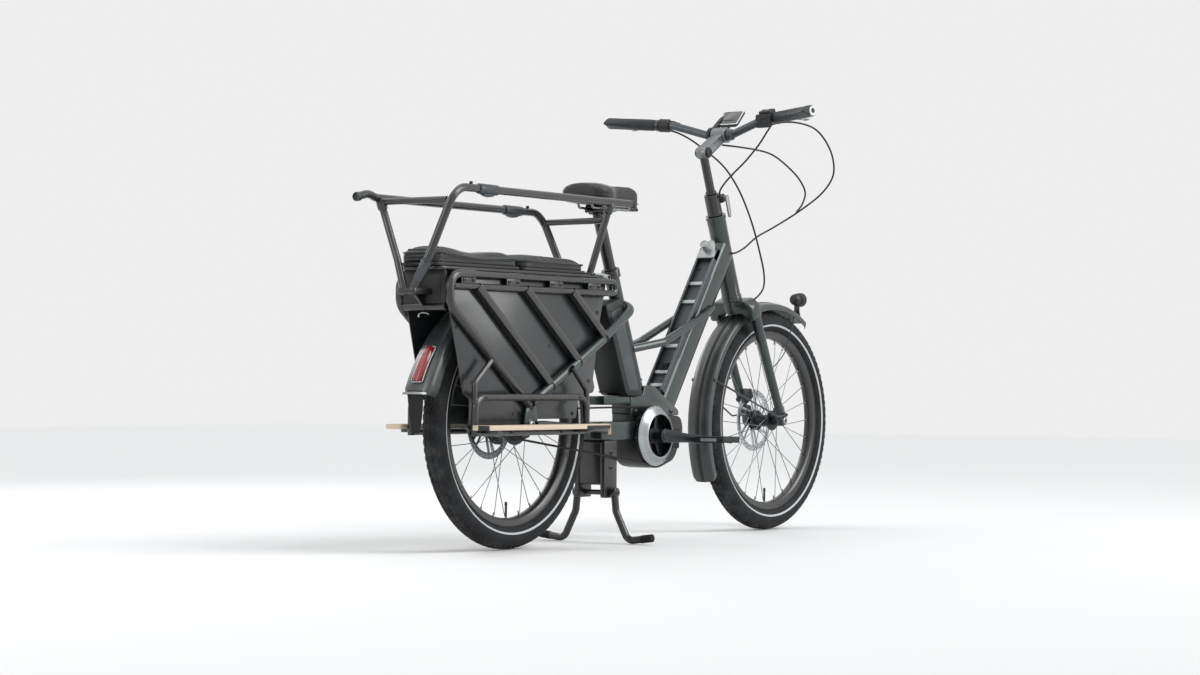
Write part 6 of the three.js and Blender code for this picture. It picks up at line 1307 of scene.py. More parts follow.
form.plate(outline([(388, 646), (430, 660), (424, 668), (380, 655)], 4), -9, 20, 3)
form.done("frame", M["plastic"], "rear_battery", "battery_shell")

# %% [markdown]
# ## The empty dock on the down tube
#
# A second battery could sit here. What shows is a shallow tray with two rails, cross rungs, a
# pale head plate and a round lock. Every part is written along and below the down tube, so the
# whole dock leans with it.

# %% Floor, rails and rungs of the dock
def dock_block(form, a, b, low, high, y_low, y_high, edge=1.0):
    """A block along the down tube, from a to b and from low to high below its line."""
    form.slab(rectangle(a, low, b, high, 2.5, 3), down, y_low, y_high, edge)


form = Form("dock_floor")
dock_block(form, 0, 489, 6, 12, -29.6, 29.6, 0.8)
form.done("frame", M["battery_side"], "battery_dock", "dark_metal", sharp=40)
form = Form("dock_rails")
for side in (-1, 1):
    low, high = mirrored(side, 23, 30)
    dock_block(form, 0, 489, -7, 12, low, high, 1.6)
form.done("frame", M["bar"], "battery_dock", "dark_metal", sharp=40)
form = Form("dock_rungs")
for share in (0.03, 0.12, 0.3, 0.38, 0.61, 0.74):
    dock_block(form, share * 489, share * 489 + 12, -2, 11, -26, 26, 1.6)
form.done("frame", M["pale"], "battery_dock", "pale_metal", sharp=40)

# %% Head and lock of the dock
form = Form("dock_head")
dock_block(form, 450, 489, -7, 12, -30, 30, 2.2)
dock_block(form, 66, 96, -1, 9, -12, 12, 1.5)
for k in range(5):
    dock_block(form, 70 + k * 5, 72 + k * 5, -4, 0, -9, 9, 0.4)
for share in (0.2, 0.44, 0.62, 0.86):
    for y in (-14, 14):
        form.bolt(down(share * 489, 6, y), -DOWN_BELOW, 3.6, 2.2)
form.done("frame", M["plastic"], "battery_dock", "dark_metal")
form = Form("dock_head_plate")
form.slab(outline([(452, -29), (470, -29), (504, -15), (513, -8), (513, 8), (504, 15), (470, 29),
                   (452, 29)], 5, 5),
          lambda u, v, w: down(u, w, v), -9.4, -6.2, 0.9)
form.done("frame", M["pale"], "battery_dock", "pale_metal")
form = Form("dock_lock")
lock_at = down(489 - 8, 0)
form.cap([
    (0.01, 36.0), (4.5, 36.0), (4.7, 35.2), (8.4, 35.2), (8.6, 36.6), (11.4, 37.0), (12.0, 36.4),
    (12.2, 34.5), (11.9, 30), (12.6, 12), (13.0, 0), (13.0, -5),
], lock_at, -DOWN_BELOW, 56)
key = lock_at - DOWN_BELOW * 36.1
form.slab(rectangle(-1.0, -3.2, 1.0, 3.2, 0.6, 3),
          lambda u, v, w: key + DOWN_ALONG * u + SIDE * v - DOWN_BELOW * w, 0, 0.5, 0.15)
form.done("frame", M["pale"], "battery_dock", "dark_metal")

# %% [markdown]
# ## Drive: belt, ring, cranks and pedals
#
# A toothed belt runs inside the right rack side. Its line is two arcs that share tangents, and
# the teeth are set along it by distance. The guard ring is a shallow turned cone, which gives
# the bright crescent in the photo.

# %% Belt with moulded teeth
RING_RADIUS, SPROCKET_RADIUS = 76.0, 36.0


def belt_loop(grow):
    """The belt's closed line round both pulleys, as pairs."""
    distance = math.hypot(CRANK.x, CRANK.z - AXLE_Z)
    heading = math.atan2(CRANK.z - AXLE_Z, CRANK.x)
    spread = math.acos((RING_RADIUS - SPROCKET_RADIUS) / distance)
    front = math.pi - spread
    pts = []
    for cx, cz, r, a, b in ((CRANK.x, CRANK.z, RING_RADIUS + grow, -front, front),
                            (0, AXLE_Z, SPROCKET_RADIUS + grow, front, math.tau - front)):
        for k in range(33):
            angle = heading + a + (b - a) * k / 32
            pts.append((cx + r * math.cos(angle), cz + r * math.sin(angle)))
    return pts


form = Form("belt_band")
outer, line = belt_loop(5.0), belt_loop(2.2)
skin = []
for (ox, oz), (ix, iz) in zip(outer, line):
    skin.append([(ox, -60.9, oz), (ox, -51.1, oz), (ix, -51.1, iz), (ix, -60.9, iz)])
form.rings(skin, caps=False, closed=True)
total = sum(math.dist(a, b) for a, b in zip(line, line[1:] + line[:1]))
teeth = round(total / 11)
travelled, index, start = 0.0, 0, line[0]
for k in range(teeth):
    target = total * k / teeth
    while travelled + math.dist(line[index % len(line)], line[(index + 1) % len(line)]) < target:
        travelled += math.dist(line[index % len(line)], line[(index + 1) % len(line)])
        index += 1
    a, b = Vector(line[index % len(line)]), Vector(line[(index + 1) % len(line)])
    along = (b - a).normalized()
    at = a + along * (target - travelled)
    inward = Vector((-along.y, along.x))
    points = [at - along * 2.6, at - along * 1.9 + inward * 2.0, at + along * 1.9 + inward * 2.0,
              at + along * 2.6]
    form.rings([[(p.x, y, p.y) for p in points] for y in (-60.8, -51.2)])
form.done("frame", M["rubber"], "drive_belt", "rubber")

# %% Sprocket
form = Form("belt_sprocket")
teeth_line = []
for k in range(88):
    a = math.tau * k / 88
    r = SPROCKET_RADIUS if k % 4 in (0, 1) else 33.4
    teeth_line.append((r * math.cos(a), AXLE_Z + r * math.sin(a)))
form.plate(teeth_line, -61.2, -50.8, 0.3)
form.bar((0, -61.4, AXLE_Z), (0, -50.6, AXLE_Z), 30, 48, edge=0.6)
form.done("sprocket", M["dark"], "rear_sprocket", "dark_metal")

# %% Belt ring and guard
form = Form("belt_ring")
ring_line = []
for k in range(184):
    a = math.tau * k / 184
    r = RING_RADIUS if k % 4 in (0, 1) else 73.2
    ring_line.append((r, a))
skin = []
for y in (-61.4, -50.6):
    skin.append([(580 + r * math.cos(a), y, 283 + r * math.sin(a)) for r, a in ring_line])
inner_ring = [[(580 + 66 * math.cos(a), y, 283 + 66 * math.sin(a)) for r, a in ring_line] for y in (-50.6,
        -61.4)]
form.rings([skin[0], skin[1], inner_ring[0], inner_ring[1]], caps=False, closed=True)
form.turned([(53, -4), (67, -4), (67, 4), (53, 4)], CRANK + SIDE * -56, (0, 1, 0), 96)
for k in range(5):
    a = math.tau * (k + 0.1) / 5
    out = Vector((math.cos(a), 0, math.sin(a)))
    across = Vector((-out.z, 0, out.x))
    widths = ((16, 8), (30, 6.2), (45, 6.0), (57, 9.5))
    shape = [CRANK + out * r - across * half for r, half in widths]
    shape += [CRANK + out * r + across * half for r, half in reversed(widths)]
    form.plate([(p.x, p.z) for p in shape], -60, -52, 1.2)
    form.bolt(CRANK + out * 58 + SIDE * -60, (0, -1, 0), 4, 2)
form.turned([(11.2, -6), (21, -6), (22, -4.8), (22, 4.8), (21, 6), (11.2, 6)], CRANK + SIDE * -56,
            (0, 1, 0), 64)
form.done("cranks", M["dark"], "belt_ring_and_guard", "dark_metal")
form = Form("belt_guard")
form.turned([
    (82.0, -63.2), (81.2, -65.2), (78, -68.4), (70, -74.2), (62, -78.6), (59.2, -79.8), (57.8, -79.8),
    (57.2, -79.0), (57.0, -77.4), (58.4, -76.6), (61, -75.6), (69, -71.2), (76.6, -65.6), (79.4, -62.6),
    (81.2, -62.4),
], CRANK, (0, 1, 0), 144)
form.done("cranks", M["guard"], "belt_ring_and_guard", "bright_metal")

# %% Cranks and pedals
CRANK_LENGTH, CRANK_DROP = 164, math.radians(4.2)
pedal_axis = Vector((CRANK_LENGTH * math.cos(CRANK_DROP), 0, -CRANK_LENGTH * math.sin(CRANK_DROP)))
for side, body, crank_name in ((-1, "right", "crank_right"), (1, "left", "crank_left")):
    tip = CRANK + pedal_axis * (1 if side < 0 else -1)
    form = Form(crank_name + "_arm")
    ring = []
    heading = math.atan2(tip.z - CRANK.z, tip.x - CRANK.x)
    for k in range(25):
        a = heading + math.pi / 2 + math.pi * k / 24
        ring.append((CRANK.x + 18.6 * math.cos(a), CRANK.z + 18.6 * math.sin(a)))
    for share in (0.25, 0.5, 0.75):
        at = CRANK.lerp(tip, share)
        wdt = 18.6 + (11.4 - 18.6) * min(1, share * 1.35)
        ring.append((at.x + wdt * math.sin(heading), at.z - wdt * math.cos(heading)))
    for k in range(25):
        a = heading - math.pi / 2 + math.pi * k / 24
        ring.append((tip.x + 12.8 * math.cos(a), tip.z + 12.8 * math.sin(a)))
    for share in (0.75, 0.5, 0.25):
        at = CRANK.lerp(tip, share)
        wdt = 18.6 + (11.4 - 18.6) * min(1, share * 1.35)
        ring.append((at.x - wdt * math.sin(heading), at.z + wdt * math.cos(heading)))
    low, high = mirrored(side, 84, 97)
    form.plate(ring, low, high, 2.4)
    form.cap([(0.01, 1.2), (6.5, 1.2), (7, 2.4), (12.5, 2.4), (13.4, 1.6), (13.4, -1)],
             CRANK + SIDE * (97 * side), (0, side, 0), 48)
    form.bar(CRANK + SIDE * (43 * side), CRANK + SIDE * (85 * side), 10.9, 40)
    form.bar(tip + SIDE * (90 * side), tip + SIDE * (198 * side), 4.4, 24)
    form.bar(tip + SIDE * (97.2 * side), tip + SIDE * (101.5 * side), 8.4, 6)
    form.done("cranks", M["dark"], crank_name, "dark_metal", sharp=38)

    form = Form("pedal_" + body + "_cage")
    inner_y, outer_y = 106, 202
    def pedal_box(x0, x1, y0, y1, z0, z1, edge=0.8):
        lo, hi = mirrored(side, y0, y1)
        form.box((tip.x + x0, lo, tip.z + z0), (tip.x + x1, hi, tip.z + z1), edge, 1.5)
    for x0, x1 in ((-42, -34), (34, 42)):
        pedal_box(x0, x1, inner_y, outer_y, -8.6, 8.6, 1.6)
    for y0, y1 in ((inner_y, inner_y + 9), (149, 156), (outer_y - 9, outer_y)):
        pedal_box(-36, 36, y0, y1, -7.6, 7.6, 1.2)
    for k in range(5):
        for x in (-38, 38):
            for z in (-8.2, 8.2):
                form.bar((tip.x + x, side * (116 + k * 19), tip.z + z * 0.9),
                         (tip.x + x, side * (116 + k * 19), tip.z + z * 1.08), 1.5, 10)
    form.done(body + "_pedal", M["plastic"], "pedal_" + body, "black_plastic")
    form = Form("pedal_" + body + "_barrel")
    form.turned([(4.6, 0), (9.4, 0), (9.8, 1), (8.6, 14), (8.2, 50), (8.6, 82), (9.8, 93), (9.4, 95),
                 (4.6, 95)],
                tip + SIDE * (106.5 * side), (0, side, 0), 40)
    form.done(body + "_pedal", M["rubber"], "pedal_" + body, "black_plastic")
    form = Form("pedal_" + body + "_reflectors")
    for x0, x1 in ((-42.6, -41.6), (41.6, 42.6)):
        pedal_box(x0, x1, 128, 180, -4.4, 4.4, 0.3)
    form.done(body + "_pedal", M["clear"], "pedal_" + body, "clear_lens")
print("frame and drive made")

# %% [markdown]
# ## Fork, front fender and lamp
#
# The fork is a wide crown with two tapering legs. It is written along the steering axis, because
# everything on it is square to that. The fender is one half-shell section carried round the
# axle, drawn in at its two ends.

# %% Fork with its crown
form = Form("fork_crown")
rows = []
for reach, shrink in ((-20, 5), (-17.5, 1.2), (-14, 0), (20, 0), (25.5, 1.2), (28, 5)):
    half = 75 - shrink
    low_in, low, high = 350 + shrink * 0.4, 328 + shrink, 386 - shrink * 0.6
    ring = []
    for y, h in outline([
        (-half, low), (-45 - shrink, low), (-43, low_in), (43, low_in), (45 + shrink, low), (half, low),
        (half, high - 20), (half - 20, high), (-half + 20, high), (-half, high - 20),
    ], 9, 5):
        ring.append(steer(reach, y, h))
    rows.append(ring)
form.rings(rows)
form.bar(steer(0, 0, 352), steer(0, 0, 387.8), 27, 56, edge=1.5)
form.bar(steer(6, 0, 338), steer(6, 0, 352), 11.5, 32)
form.done("steering", M["frame"], "fork", "frame_paint", sharp=42)
form = Form("fork_steerer")
form.bar(steer(0, 0, 352), steer(0, 0, 672.3), 16.8, 40)
form.done("steering", M["dark"], "fork", "dark_metal")
form = Form("fork_legs")
for side in (-1, 1):
    path, last = [], 24
    for k in range(last + 1):
        share = k / last
        bow = 2.4 * math.sin(math.pi * share)
        path.append(steer(43 + (12 - 43) * share - bow, side * 60, 23 + (352 - 23) * share))
    form.tube(path, 12.2, 28, 15.2)
    inner, outer = mirrored(side, 45.4, 67.5)
    form.slab(rectangle(30, -15, 60, 46, 13, 6),
              on_steering, inner, outer, 3.0)
    form.turned([(10.4, 0), (13.5, 0), (13.5, 1.2), (12.6, 1.8), (10.4, 1.8)],
                steer(45, side * 67.5, 0), (0, side, 0), 40)
for h in (140, 262):
    form.bolt(steer(20, 60 + 14.2, h), (0, 1, 0), 3.6, 2.2)
form.done("steering", M["frame"], "fork", "frame_paint", sharp=38)

# %% A fender shell
def fender_section(half_width, skirt, steps=14):
    """Half-shell section as pairs of Y and distance out from the edge line: outside, then inside."""
    outer = [(-half_width, -skirt - 1.0), (-half_width - 0.4, -skirt * 0.5)]
    for k in range(steps + 1):
        a = math.pi - math.pi * k / steps
        flat = 0.82
        y = half_width * math.copysign(abs(math.cos(a)) ** flat, math.cos(a))
        z = 5.6 * math.sin(a) ** 1.1 if math.sin(a) > 0 else 0
        outer.append((y, z - 4.0 + 3.6 * math.sin(a)))
    outer += [(half_width + 0.4, -skirt * 0.5), (half_width, -skirt - 1.0)]
    thick = 2.4
    inner = [(y * (1 - thick / half_width), z - (thick if abs(y) < half_width * 0.98 else 0)) for y,
             z in reversed(outer)]
    inner[0] = (half_width - thick, -skirt - 1.0)
    inner[-1] = (-half_width + thick, -skirt - 1.0)
    return outer + inner


def fender_shell(form, x, start, end, half_width, skirt_at, radius_at, steps=72):
    rings = []
    for k in range(steps + 1):
        angle = start + (end - start) * k / steps
        close = min(1.0, min(k, steps - k) / 2.2 + 0.82)
        rings.append([
            polar(angle, radius_at(angle) - 6 + out, y * close, x)
            for y, out in fender_section(half_width, skirt_at(angle))
        ])
    return form.rings(rings)

# %% Front fender with its stays
def front_radius(angle):
    share = max(0.0, (angle - 90) / (208 - 90))
    return 345 + 22 * share * share


form = Form("front_fender_shell")
fender_shell(form, FRONT_X, 57, 208, 36, lambda a: 16, front_radius)
form.done("steering", M["fender"], "front_fender", "black_plastic", sharp=40)
form = Form("front_fender_ridge")
form.rings([[polar(57.5 + 150 * k / 60, front_radius(57.5 + 150 * k / 60) + out, y, FRONT_X)
             for y, out in ((-7, -0.6), (-5.5, 0.6), (5.5, 0.6), (7, -0.6))] for k in range(61)])
for side in (-1, 1):
    form.bolt(polar(160, 338, side * 35, FRONT_X), (0, side, 0), 5, 2.4)
form.done("steering", M["smooth"], "front_fender", "black_plastic", sharp=40)
form = Form("front_fender_stays")
stay_edge = polar(160, front_radius(160) - 12, 0, FRONT_X)
for side in (-1, 1):
    knee = steer(0, side * 78.2, 30)
    foot = steer(45, side * 78.2, 18)
    form.tube(rounded([(stay_edge.x, side * 36.2, stay_edge.z), (knee.x, side * 78.2, knee.z), tuple(foot)],
                      15), 2.5, 14)
    form.bar(foot + SIDE * (-9 * side), foot + SIDE * (3 * side), 5.2, 20, edge=0.8)
    form.bar((stay_edge.x, side * 34, stay_edge.z), (stay_edge.x, side * 39.5, stay_edge.z), 5.6, 20,
             edge=0.8)
form.done("steering", M["black"], "front_fender", "black_plastic")

# %% Front lamp
lamp_at = Vector((FRONT_X + 178, 0, AXLE_Z + 357))
form = Form("lamp_body")
form.cap([
    (0.01, -22), (9, -21.6), (13.6, -19.6), (16.2, -15), (17.4, -8), (18.4, 4), (20.2, 14), (21.0, 18.5),
    (21.0, 21.6), (20.0, 22), (18.8, 21.6), (18.2, 18), (0.01, 16.5),
], lamp_at, (1, 0, 0), 64)
for k in range(6):
    form.turned([(16.2 + k * 0.35, -9 + k * 2.6), (17.6 + k * 0.4, -8.4 + k * 2.6),
                 (17.6 + k * 0.4, -7.6 + k * 2.6), (16.2 + k * 0.35, -7 + k * 2.6)],
                lamp_at, (1, 0, 0), 64)
form.done("steering", M["smooth"], "front_lamp", "black_plastic")
form = Form("lamp_lens")
form.cap([(0.01, 20.4), (8, 20.2), (14, 19.4), (18.2, 18.0), (18.3, 16.8), (0.01, 16.8)], lamp_at,
         (1, 0, 0), 64)
form.done("steering", M["clear"], "front_lamp", "clear_lens")
form = Form("lamp_bracket")
foot = polar(57, 346.2, 0, FRONT_X)
form.rings([
    [(lamp_at.x - 2, -8.5, lamp_at.z - 14), (lamp_at.x + 2, -8.5, lamp_at.z - 14),
     (lamp_at.x + 2, 8.5, lamp_at.z - 14), (lamp_at.x - 2, 8.5, lamp_at.z - 14)],
    [(lamp_at.x - 3, -9, lamp_at.z - 34), (lamp_at.x + 1, -9, lamp_at.z - 34),
     (lamp_at.x + 1, 9, lamp_at.z - 34), (lamp_at.x - 3, 9, lamp_at.z - 34)],
    [(foot.x - 4, -9, foot.z + 6), (foot.x, -9, foot.z + 4), (foot.x, 9, foot.z + 4),
     (foot.x - 4, 9, foot.z + 6)],
    [(foot.x - 14, -9, foot.z + 6.5), (foot.x - 13, -9, foot.z + 4), (foot.x - 13, 9, foot.z + 4),
     (foot.x - 14, 9, foot.z + 6.5)],
])
form.bolt(polar(58.4, 347, 0, FRONT_X), polar(58.4, 1, 0, 0, 0), 4.5, 2.4)
form.done("steering", M["black"], "front_lamp", "black_plastic", bevel=0.5)
form = Form("lamp_wire")
wire = [(1403, -4, 660), (1388, -9, 650), (1323, -38, 600), (1259, -52, 517), (1203, -60, 484),
        (1184, -61, 474)]
form.tube(catmull([Vector(p) for p in wire], 8), 1.5, 10)
form.done("steering", M["cable"], None, "rubber")

# %% [markdown]
# ## Brake calipers
#
# Each caliper is two halves round the rotor with a bridge outside it and a foot to its mount.
# Both are the same part at another angle, so one function makes them.

# %% Brake calipers
def caliper(name, x, angle, rotor_y, mount_y, body, node):
    a = math.radians(angle)
    out = Vector((math.cos(a), 0, math.sin(a)))
    along = Vector((-math.sin(a), 0, math.cos(a))) * -1
    centre = Vector((x, 0, AXLE_Z)) + out * 81.5

    def to_world(u, v, w):
        return centre + along * u + out * v + SIDE * w

    form = Form(name)
    half_body = outline([(-23, -4), (-17, -15), (17, -15), (23, -4), (23, 15), (-23, 15)], 5, 5)
    form.slab(half_body, to_world, rotor_y + 2.2, rotor_y + 15, 2.4)
    form.slab(half_body, to_world, rotor_y - 11, rotor_y - 2.2, 2.0)
    form.slab(rectangle(-21, 7, 21, 15, 3, 4), to_world, rotor_y - 6, rotor_y + 6, 1.0)
    form.slab(rectangle(-23, -6, 23, 6, 3, 4), to_world, rotor_y + 8, mount_y, 1.4)
    for u in (-11, 11):
        form.cap([(0.01, 2.2), (5.6, 2.2), (6.2, 1.6), (6.6, 0.4), (6.6, -1)], to_world(u, 0, rotor_y + 15),
                 SIDE, 36)
    for u in (-18, 18):
        form.bolt(to_world(u, 10.5, rotor_y + 15), SIDE, 3.4, 2)
    form.bar(to_world(20, 4, rotor_y + 9), to_world(30, 4, rotor_y + 9), 4.2, 20, 3.4, edge=0.5)
    form.done(body, M["dark"], node, "dark_metal", sharp=38)


caliper("front_caliper_body", FRONT_X, 121, 38, 60, "steering", "front_brake_caliper")
caliper("rear_caliper_body", 0.0, 56, 56, 79, "frame", "rear_brake_caliper")

# %% [markdown]
# ## Stem, bar and controls
#
# The stem slides in a collar and is held by a lever. The bar is one tube bent four times and
# carries two winged grips, two brakes and the display. Tube parts are swept, clamps are turned,
# and levers are flattened tubes along a smooth line.

# %% Stem collar and its lever
form = Form("stem_collar_ring")
form.turned([(17.4, 0.2), (20.6, 0.0), (21.4, 0.8), (21.4, 60.6), (20.6, 61.4), (12.7, 61.4), (12.7, 31.4),
             (17.4, 30.8)],
            steer(0, 0, 642.2), STEER_UP, 64)
ears = outline([(12, 672.6), (30, 672.6), (34, 677), (34, 692), (30, 696.6), (12, 696.6)], 4)
for low, high in ((1.0, 23), (-23, -1.0)):
    form.slab(ears, on_steering, low, high, 1.6)
form.bolt(steer(26.5, 23, 684.6), SIDE, 6, 4)
form.weld(steer(0, 0, 652), STEER_UP, 20.8, 1.3)
form.done("steering", M["black"], "stem_collar", "black_paint", sharp=38)
form = Form("collar_lever_blade")
form.cap([(0.01, 0.2), (6.6, 0.2), (7.4, 1.0), (7.4, 12.2), (6.6, 13), (0.01, 13)],
         steer(26.5, -36.3, 684.6), SIDE, 40)
lever_line = outline([(18.6, 684.6), (22, 692.5), (30.5, 692.5), (34, 684.6), (29.4, 640), (27.6, 627),
                      (19, 627), (17.6, 640)], 4, 5)
form.slab(lever_line, on_steering, -36.2, -29.6, 1.6)
form.done("collar_lever", M["pale"], "stem_collar_lever", "pale_metal", sharp=38)

# %% Stem
form = Form("stem_post")
form.bar(steer(0, 0, 573.6), steer(0, 0, 826), 12.4, 44)
form.turned([(12.4, 0), (15.4, 0.6), (15.8, 2), (15.8, 7), (15.0, 8.4), (12.4, 9)], steer(0, 0, 704.4),
            STEER_UP, 56)
form.done("stem", M["black"], "stem", "black_paint")
form = Form("stem_body")
shape = outline([(-4, 812), (4, 811), (104, 832), (104, 860), (2, 841)], 6, 6)
form.slab(shape, on_steering, -17.5, 17.5, 3.0)
form.turned([(16.2, -23), (21.4, -23), (22.2, -22.2), (22.2, 22.2), (21.4, 23), (16.2, 23)],
            steer(106, 0, 847), SIDE, 64)
form.cap([(0.01, -15), (14, -15), (17.6, -14), (18.4, -12.6), (18.4, 12.6), (17.6, 14), (14, 15),
          (0.01, 15)],
            steer(2, 0, 826), SIDE, 56)
form.done("stem", M["stem"], "stem", "pale_metal", sharp=38)
form = Form("stem_knob")
for side in (-1, 1):
    form.cap([(0.01, 5.6), (3.2, 5.6), (4, 7), (9, 7), (12.4, 6), (14.4, 3.4), (15, 0), (15, -1)],
             steer(2, side * 15.6, 826), (0, side, 0), 48)
for y in (-17, 17):
    for h in (-16, 16):
        form.bolt(steer(126, y, 847 + h), STEER_AHEAD, 4, 3)
form.done("stem", M["smooth"], "stem", "black_plastic")

# %% Handlebar, grips and brake levers
def bar_at(side, spread):
    bend = steer(98.5, side * 150, 885)
    end = steer(60, side * 339, 913)
    return bend.lerp(end, (spread - 150) / (339 - 150))


form = Form("bar_tube")
corners = [steer(60, 339, 913), steer(98.5, 150, 885), steer(106, 38, 847),
           steer(106, -38, 847), steer(98.5, -150, 885), steer(60, -339, 913)]
form.tube(rounded(corners, 50, math.radians(6)), 11.4, 32)
form.cap([(0.01, -38), (11.4, -44), (15.9, -38), (15.9, 38), (11.4, 44), (0.01, 38)], steer(106, 0, 847),
         SIDE, 56)
form.done("stem", M["bar"], "handlebar", "black_paint")

for side, name in ((1, "left"), (-1, "right")):
    form = Form("grip_" + name + "_body")
    start, end = bar_at(side, 203), bar_at(side, 339)
    heading = (end - start).normalized()
    up_now = STEER_UP - heading * STEER_UP.dot(heading)
    up_now.normalize()
    forward = up_now.cross(heading) * side * -1
    if forward.dot(STEER_AHEAD) < 0:
        forward = -forward
    skin = []
    steps = 46
    for k in range(steps + 1):
        share = k / steps
        centre = start.lerp(end, share) + heading * share * 7.6
        wing = 24.5 * share ** 2.2
        size = 16.4
        if k == 0 or k == steps:
            size = 13.4
        elif k in (1, steps - 1):
            size = 15.8
        rib = 0.5 if k % 3 == 0 and 4 < k < 30 else 0.0
        ring = []
        for j in range(44):
            a = math.tau * j / 44
            back = max(0.0, -math.cos(a))
            r = size + rib * (1 - back)
            flatten = 1 - 0.45 * (wing / 25) * back * back
            ring.append(centre + forward * (r * math.cos(a) - wing * back * back * 0.98)
                        + up_now * (r * math.sin(a) * flatten + 10.6 * (wing / 25) * back))
        skin.append(ring)
    form.rings(skin)
    form.done("stem", M["grip"], "grip_" + name, "rubber", sharp=50)
    form = Form("grip_" + name + "_clamp")
    form.turned([(12.4, -1), (15.4, -1), (16, -0.2), (16, 7.6), (15.4, 8.2), (12.4, 8.2)],
                bar_at(side, 194.5), heading, 48)
    form.bolt(bar_at(side, 198.5) - up_now * 15, -up_now, 3, 2.4)
    form.done("stem", M["black"], "handlebar", "black_paint")
    form = Form("grip_" + name + "_ring")
    form.turned([(6.6, 7.0), (7.4, 7.9), (13.2, 7.9), (14.6, 6.6), (14.6, 3), (6.6, 3)], end, heading, 48)
    form.done("stem", M["pale"], "grip_" + name, "rubber")

    form = Form("brake_body_" + name + "_shell")
    at = bar_at(side, 176)
    form.turned([(12.2, -15.3), (18, -15.3), (19, -14.3), (19, 14.3), (18, 15.3), (12.2, 15.3)], at,
                heading, 56)
    pivot = bar_at(side, 191) + STEER_AHEAD * 44 - STEER_UP * 12
    local = outline([(95, 884), (122, 877), (146, 868), (150, 873), (149, 889), (140, 893), (108, 908),
                     (95, 909)], 5, 5)

    def body_point(u, v, w):
        return at + STEER_AHEAD * (u - 95) + STEER_UP * (v - 897) + SIDE * w
    for low, high, grow in ((-20, 4.5, 0), (4.5, 22.5, -3)):
        lo, hi = mirrored(side, low, high)
        shape = inset(local, 1.2 if grow else 0)
        form.slab([(u, v) for u, v in shape], body_point, lo, hi, 2.6)
    cup = body_point(128, 893, 0)
    form.cap([(0.01, 5.5), (8, 5.5), (9.6, 4.6), (10, 3), (10, -6)], cup, STEER_UP, 40)
    for dx in (-5.5, 5.5):
        form.bolt(cup + STEER_AHEAD * dx * 0.2 + SIDE * dx + STEER_UP * 5.3, STEER_UP, 1.6, 1.0)
    form.turned([(2.9, 0), (5.2, 0), (5.4, 1), (4.6, 9), (3.6, 14), (2.9, 14)],
                body_point(106, 900, side * -14), Vector((0.2, -side * 0.95, 0.2)), 28)
    form.done("stem", M["smooth"], "brake_body_" + name, "black_plastic", sharp=38)

    form = Form("brake_lever_" + name + "_blade")
    tip = steer(100, side * 299, 879)
    path = catmull([
        pivot + SIDE * (-side * 2), pivot + SIDE * (side * 22) + STEER_AHEAD * 2,
        pivot + SIDE * (side * 58) - STEER_AHEAD * 12,
        pivot + SIDE * (side * 88) - STEER_AHEAD * 24, tip + SIDE * (-side * 8) + STEER_AHEAD * 3,
        tip + SIDE * (-side * 1) + STEER_AHEAD * 6,
    ], 8)
    form.tube(path, 6.4, 24, 5.4, squash=0.66, flat_axis=STEER_AHEAD, dome=3.4)
    form.bar(pivot - STEER_UP * 6, pivot + STEER_UP * 6, 4.4, 28, edge=0.6)
    form.done(name + "_brake_lever", M["pale"], "brake_lever_" + name, "dark_metal", sharp=50)

# %% Display
display_at = steer(173, 0, 877)
tilt = math.radians(45)
screen_along = Vector((math.cos(tilt), 0, math.sin(tilt)))
screen_up = Vector((-math.sin(tilt), 0, math.cos(tilt)))


def on_screen(u, v, w):
    return display_at + screen_along * u + SIDE * v + screen_up * w


form = Form("display_case")
form.slab(rectangle(-30, -35, 30, 35, 6, 6), on_screen, -4.5, 2.6, 1.6)
form.slab(rectangle(-27, -26, -14, 26, 3, 4), on_screen, -9.5, -4, 1.2)
form.turned([(16.2, -4.6), (23.2, -4.6), (23.9, -4), (23.9, 4), (23.2, 4.6), (16.2, 4.6)],
            steer(106, 31.3, 847), SIDE, 48)
form.slab(outline([(104, 863), (122, 847), (187, 872), (180, 884), (160, 880)], 4, 5), on_steering, 26.8,
          35.8, 1.4)
form.slab(rectangle(160, 868, 187, 877, 3, 4), on_steering, -13, 35.5, 1.2)
form.done("stem", M["smooth"], "display", "black_plastic", sharp=38)
form = Form("display_rim")
border = [rectangle(-a, -b, a, b, 6, 6) for a, b in ((29.4, 34.4), (26.6, 31.6))]
rows = [[on_screen(u, v, w) for u, v in border[k]] for k, w in ((0, 2.2), (0, 3.9), (1, 4.2), (1, 2.2))]
form.rings(rows, caps=False, closed=True)
form.done("stem", M["bright"], "display", "pale_metal", sharp=50)
form = Form("display_glass_panel")
form.slab(rectangle(-26.4, -31.4, 26.4, 31.4, 5, 6), on_screen, 2.4, 3.6, 0.4)
form.done("stem", M["glass"], "display", "black_plastic")

# %% Switch
pod = bar_at(-1, 176) + STEER_UP * 15
form = Form("switch_pod")
form.slab(rectangle(-17, -20, 17, 20, 7, 6),
          lambda u, v, w: pod + STEER_AHEAD * u + SIDE * v + STEER_UP * w, 0, 11.4, 2.2)
form.turned([(6.5, -0.6), (8.6, -0.6), (8.6, 0.6), (7.8, 1.2), (6.5, 1.2)], pod + STEER_UP * 11.2, STEER_UP,
            40)
case = bar_at(-1, 176) + Vector((-17.2, 0, -7))


def facing(u, v, w):
    return case + Vector((-w, u, v))


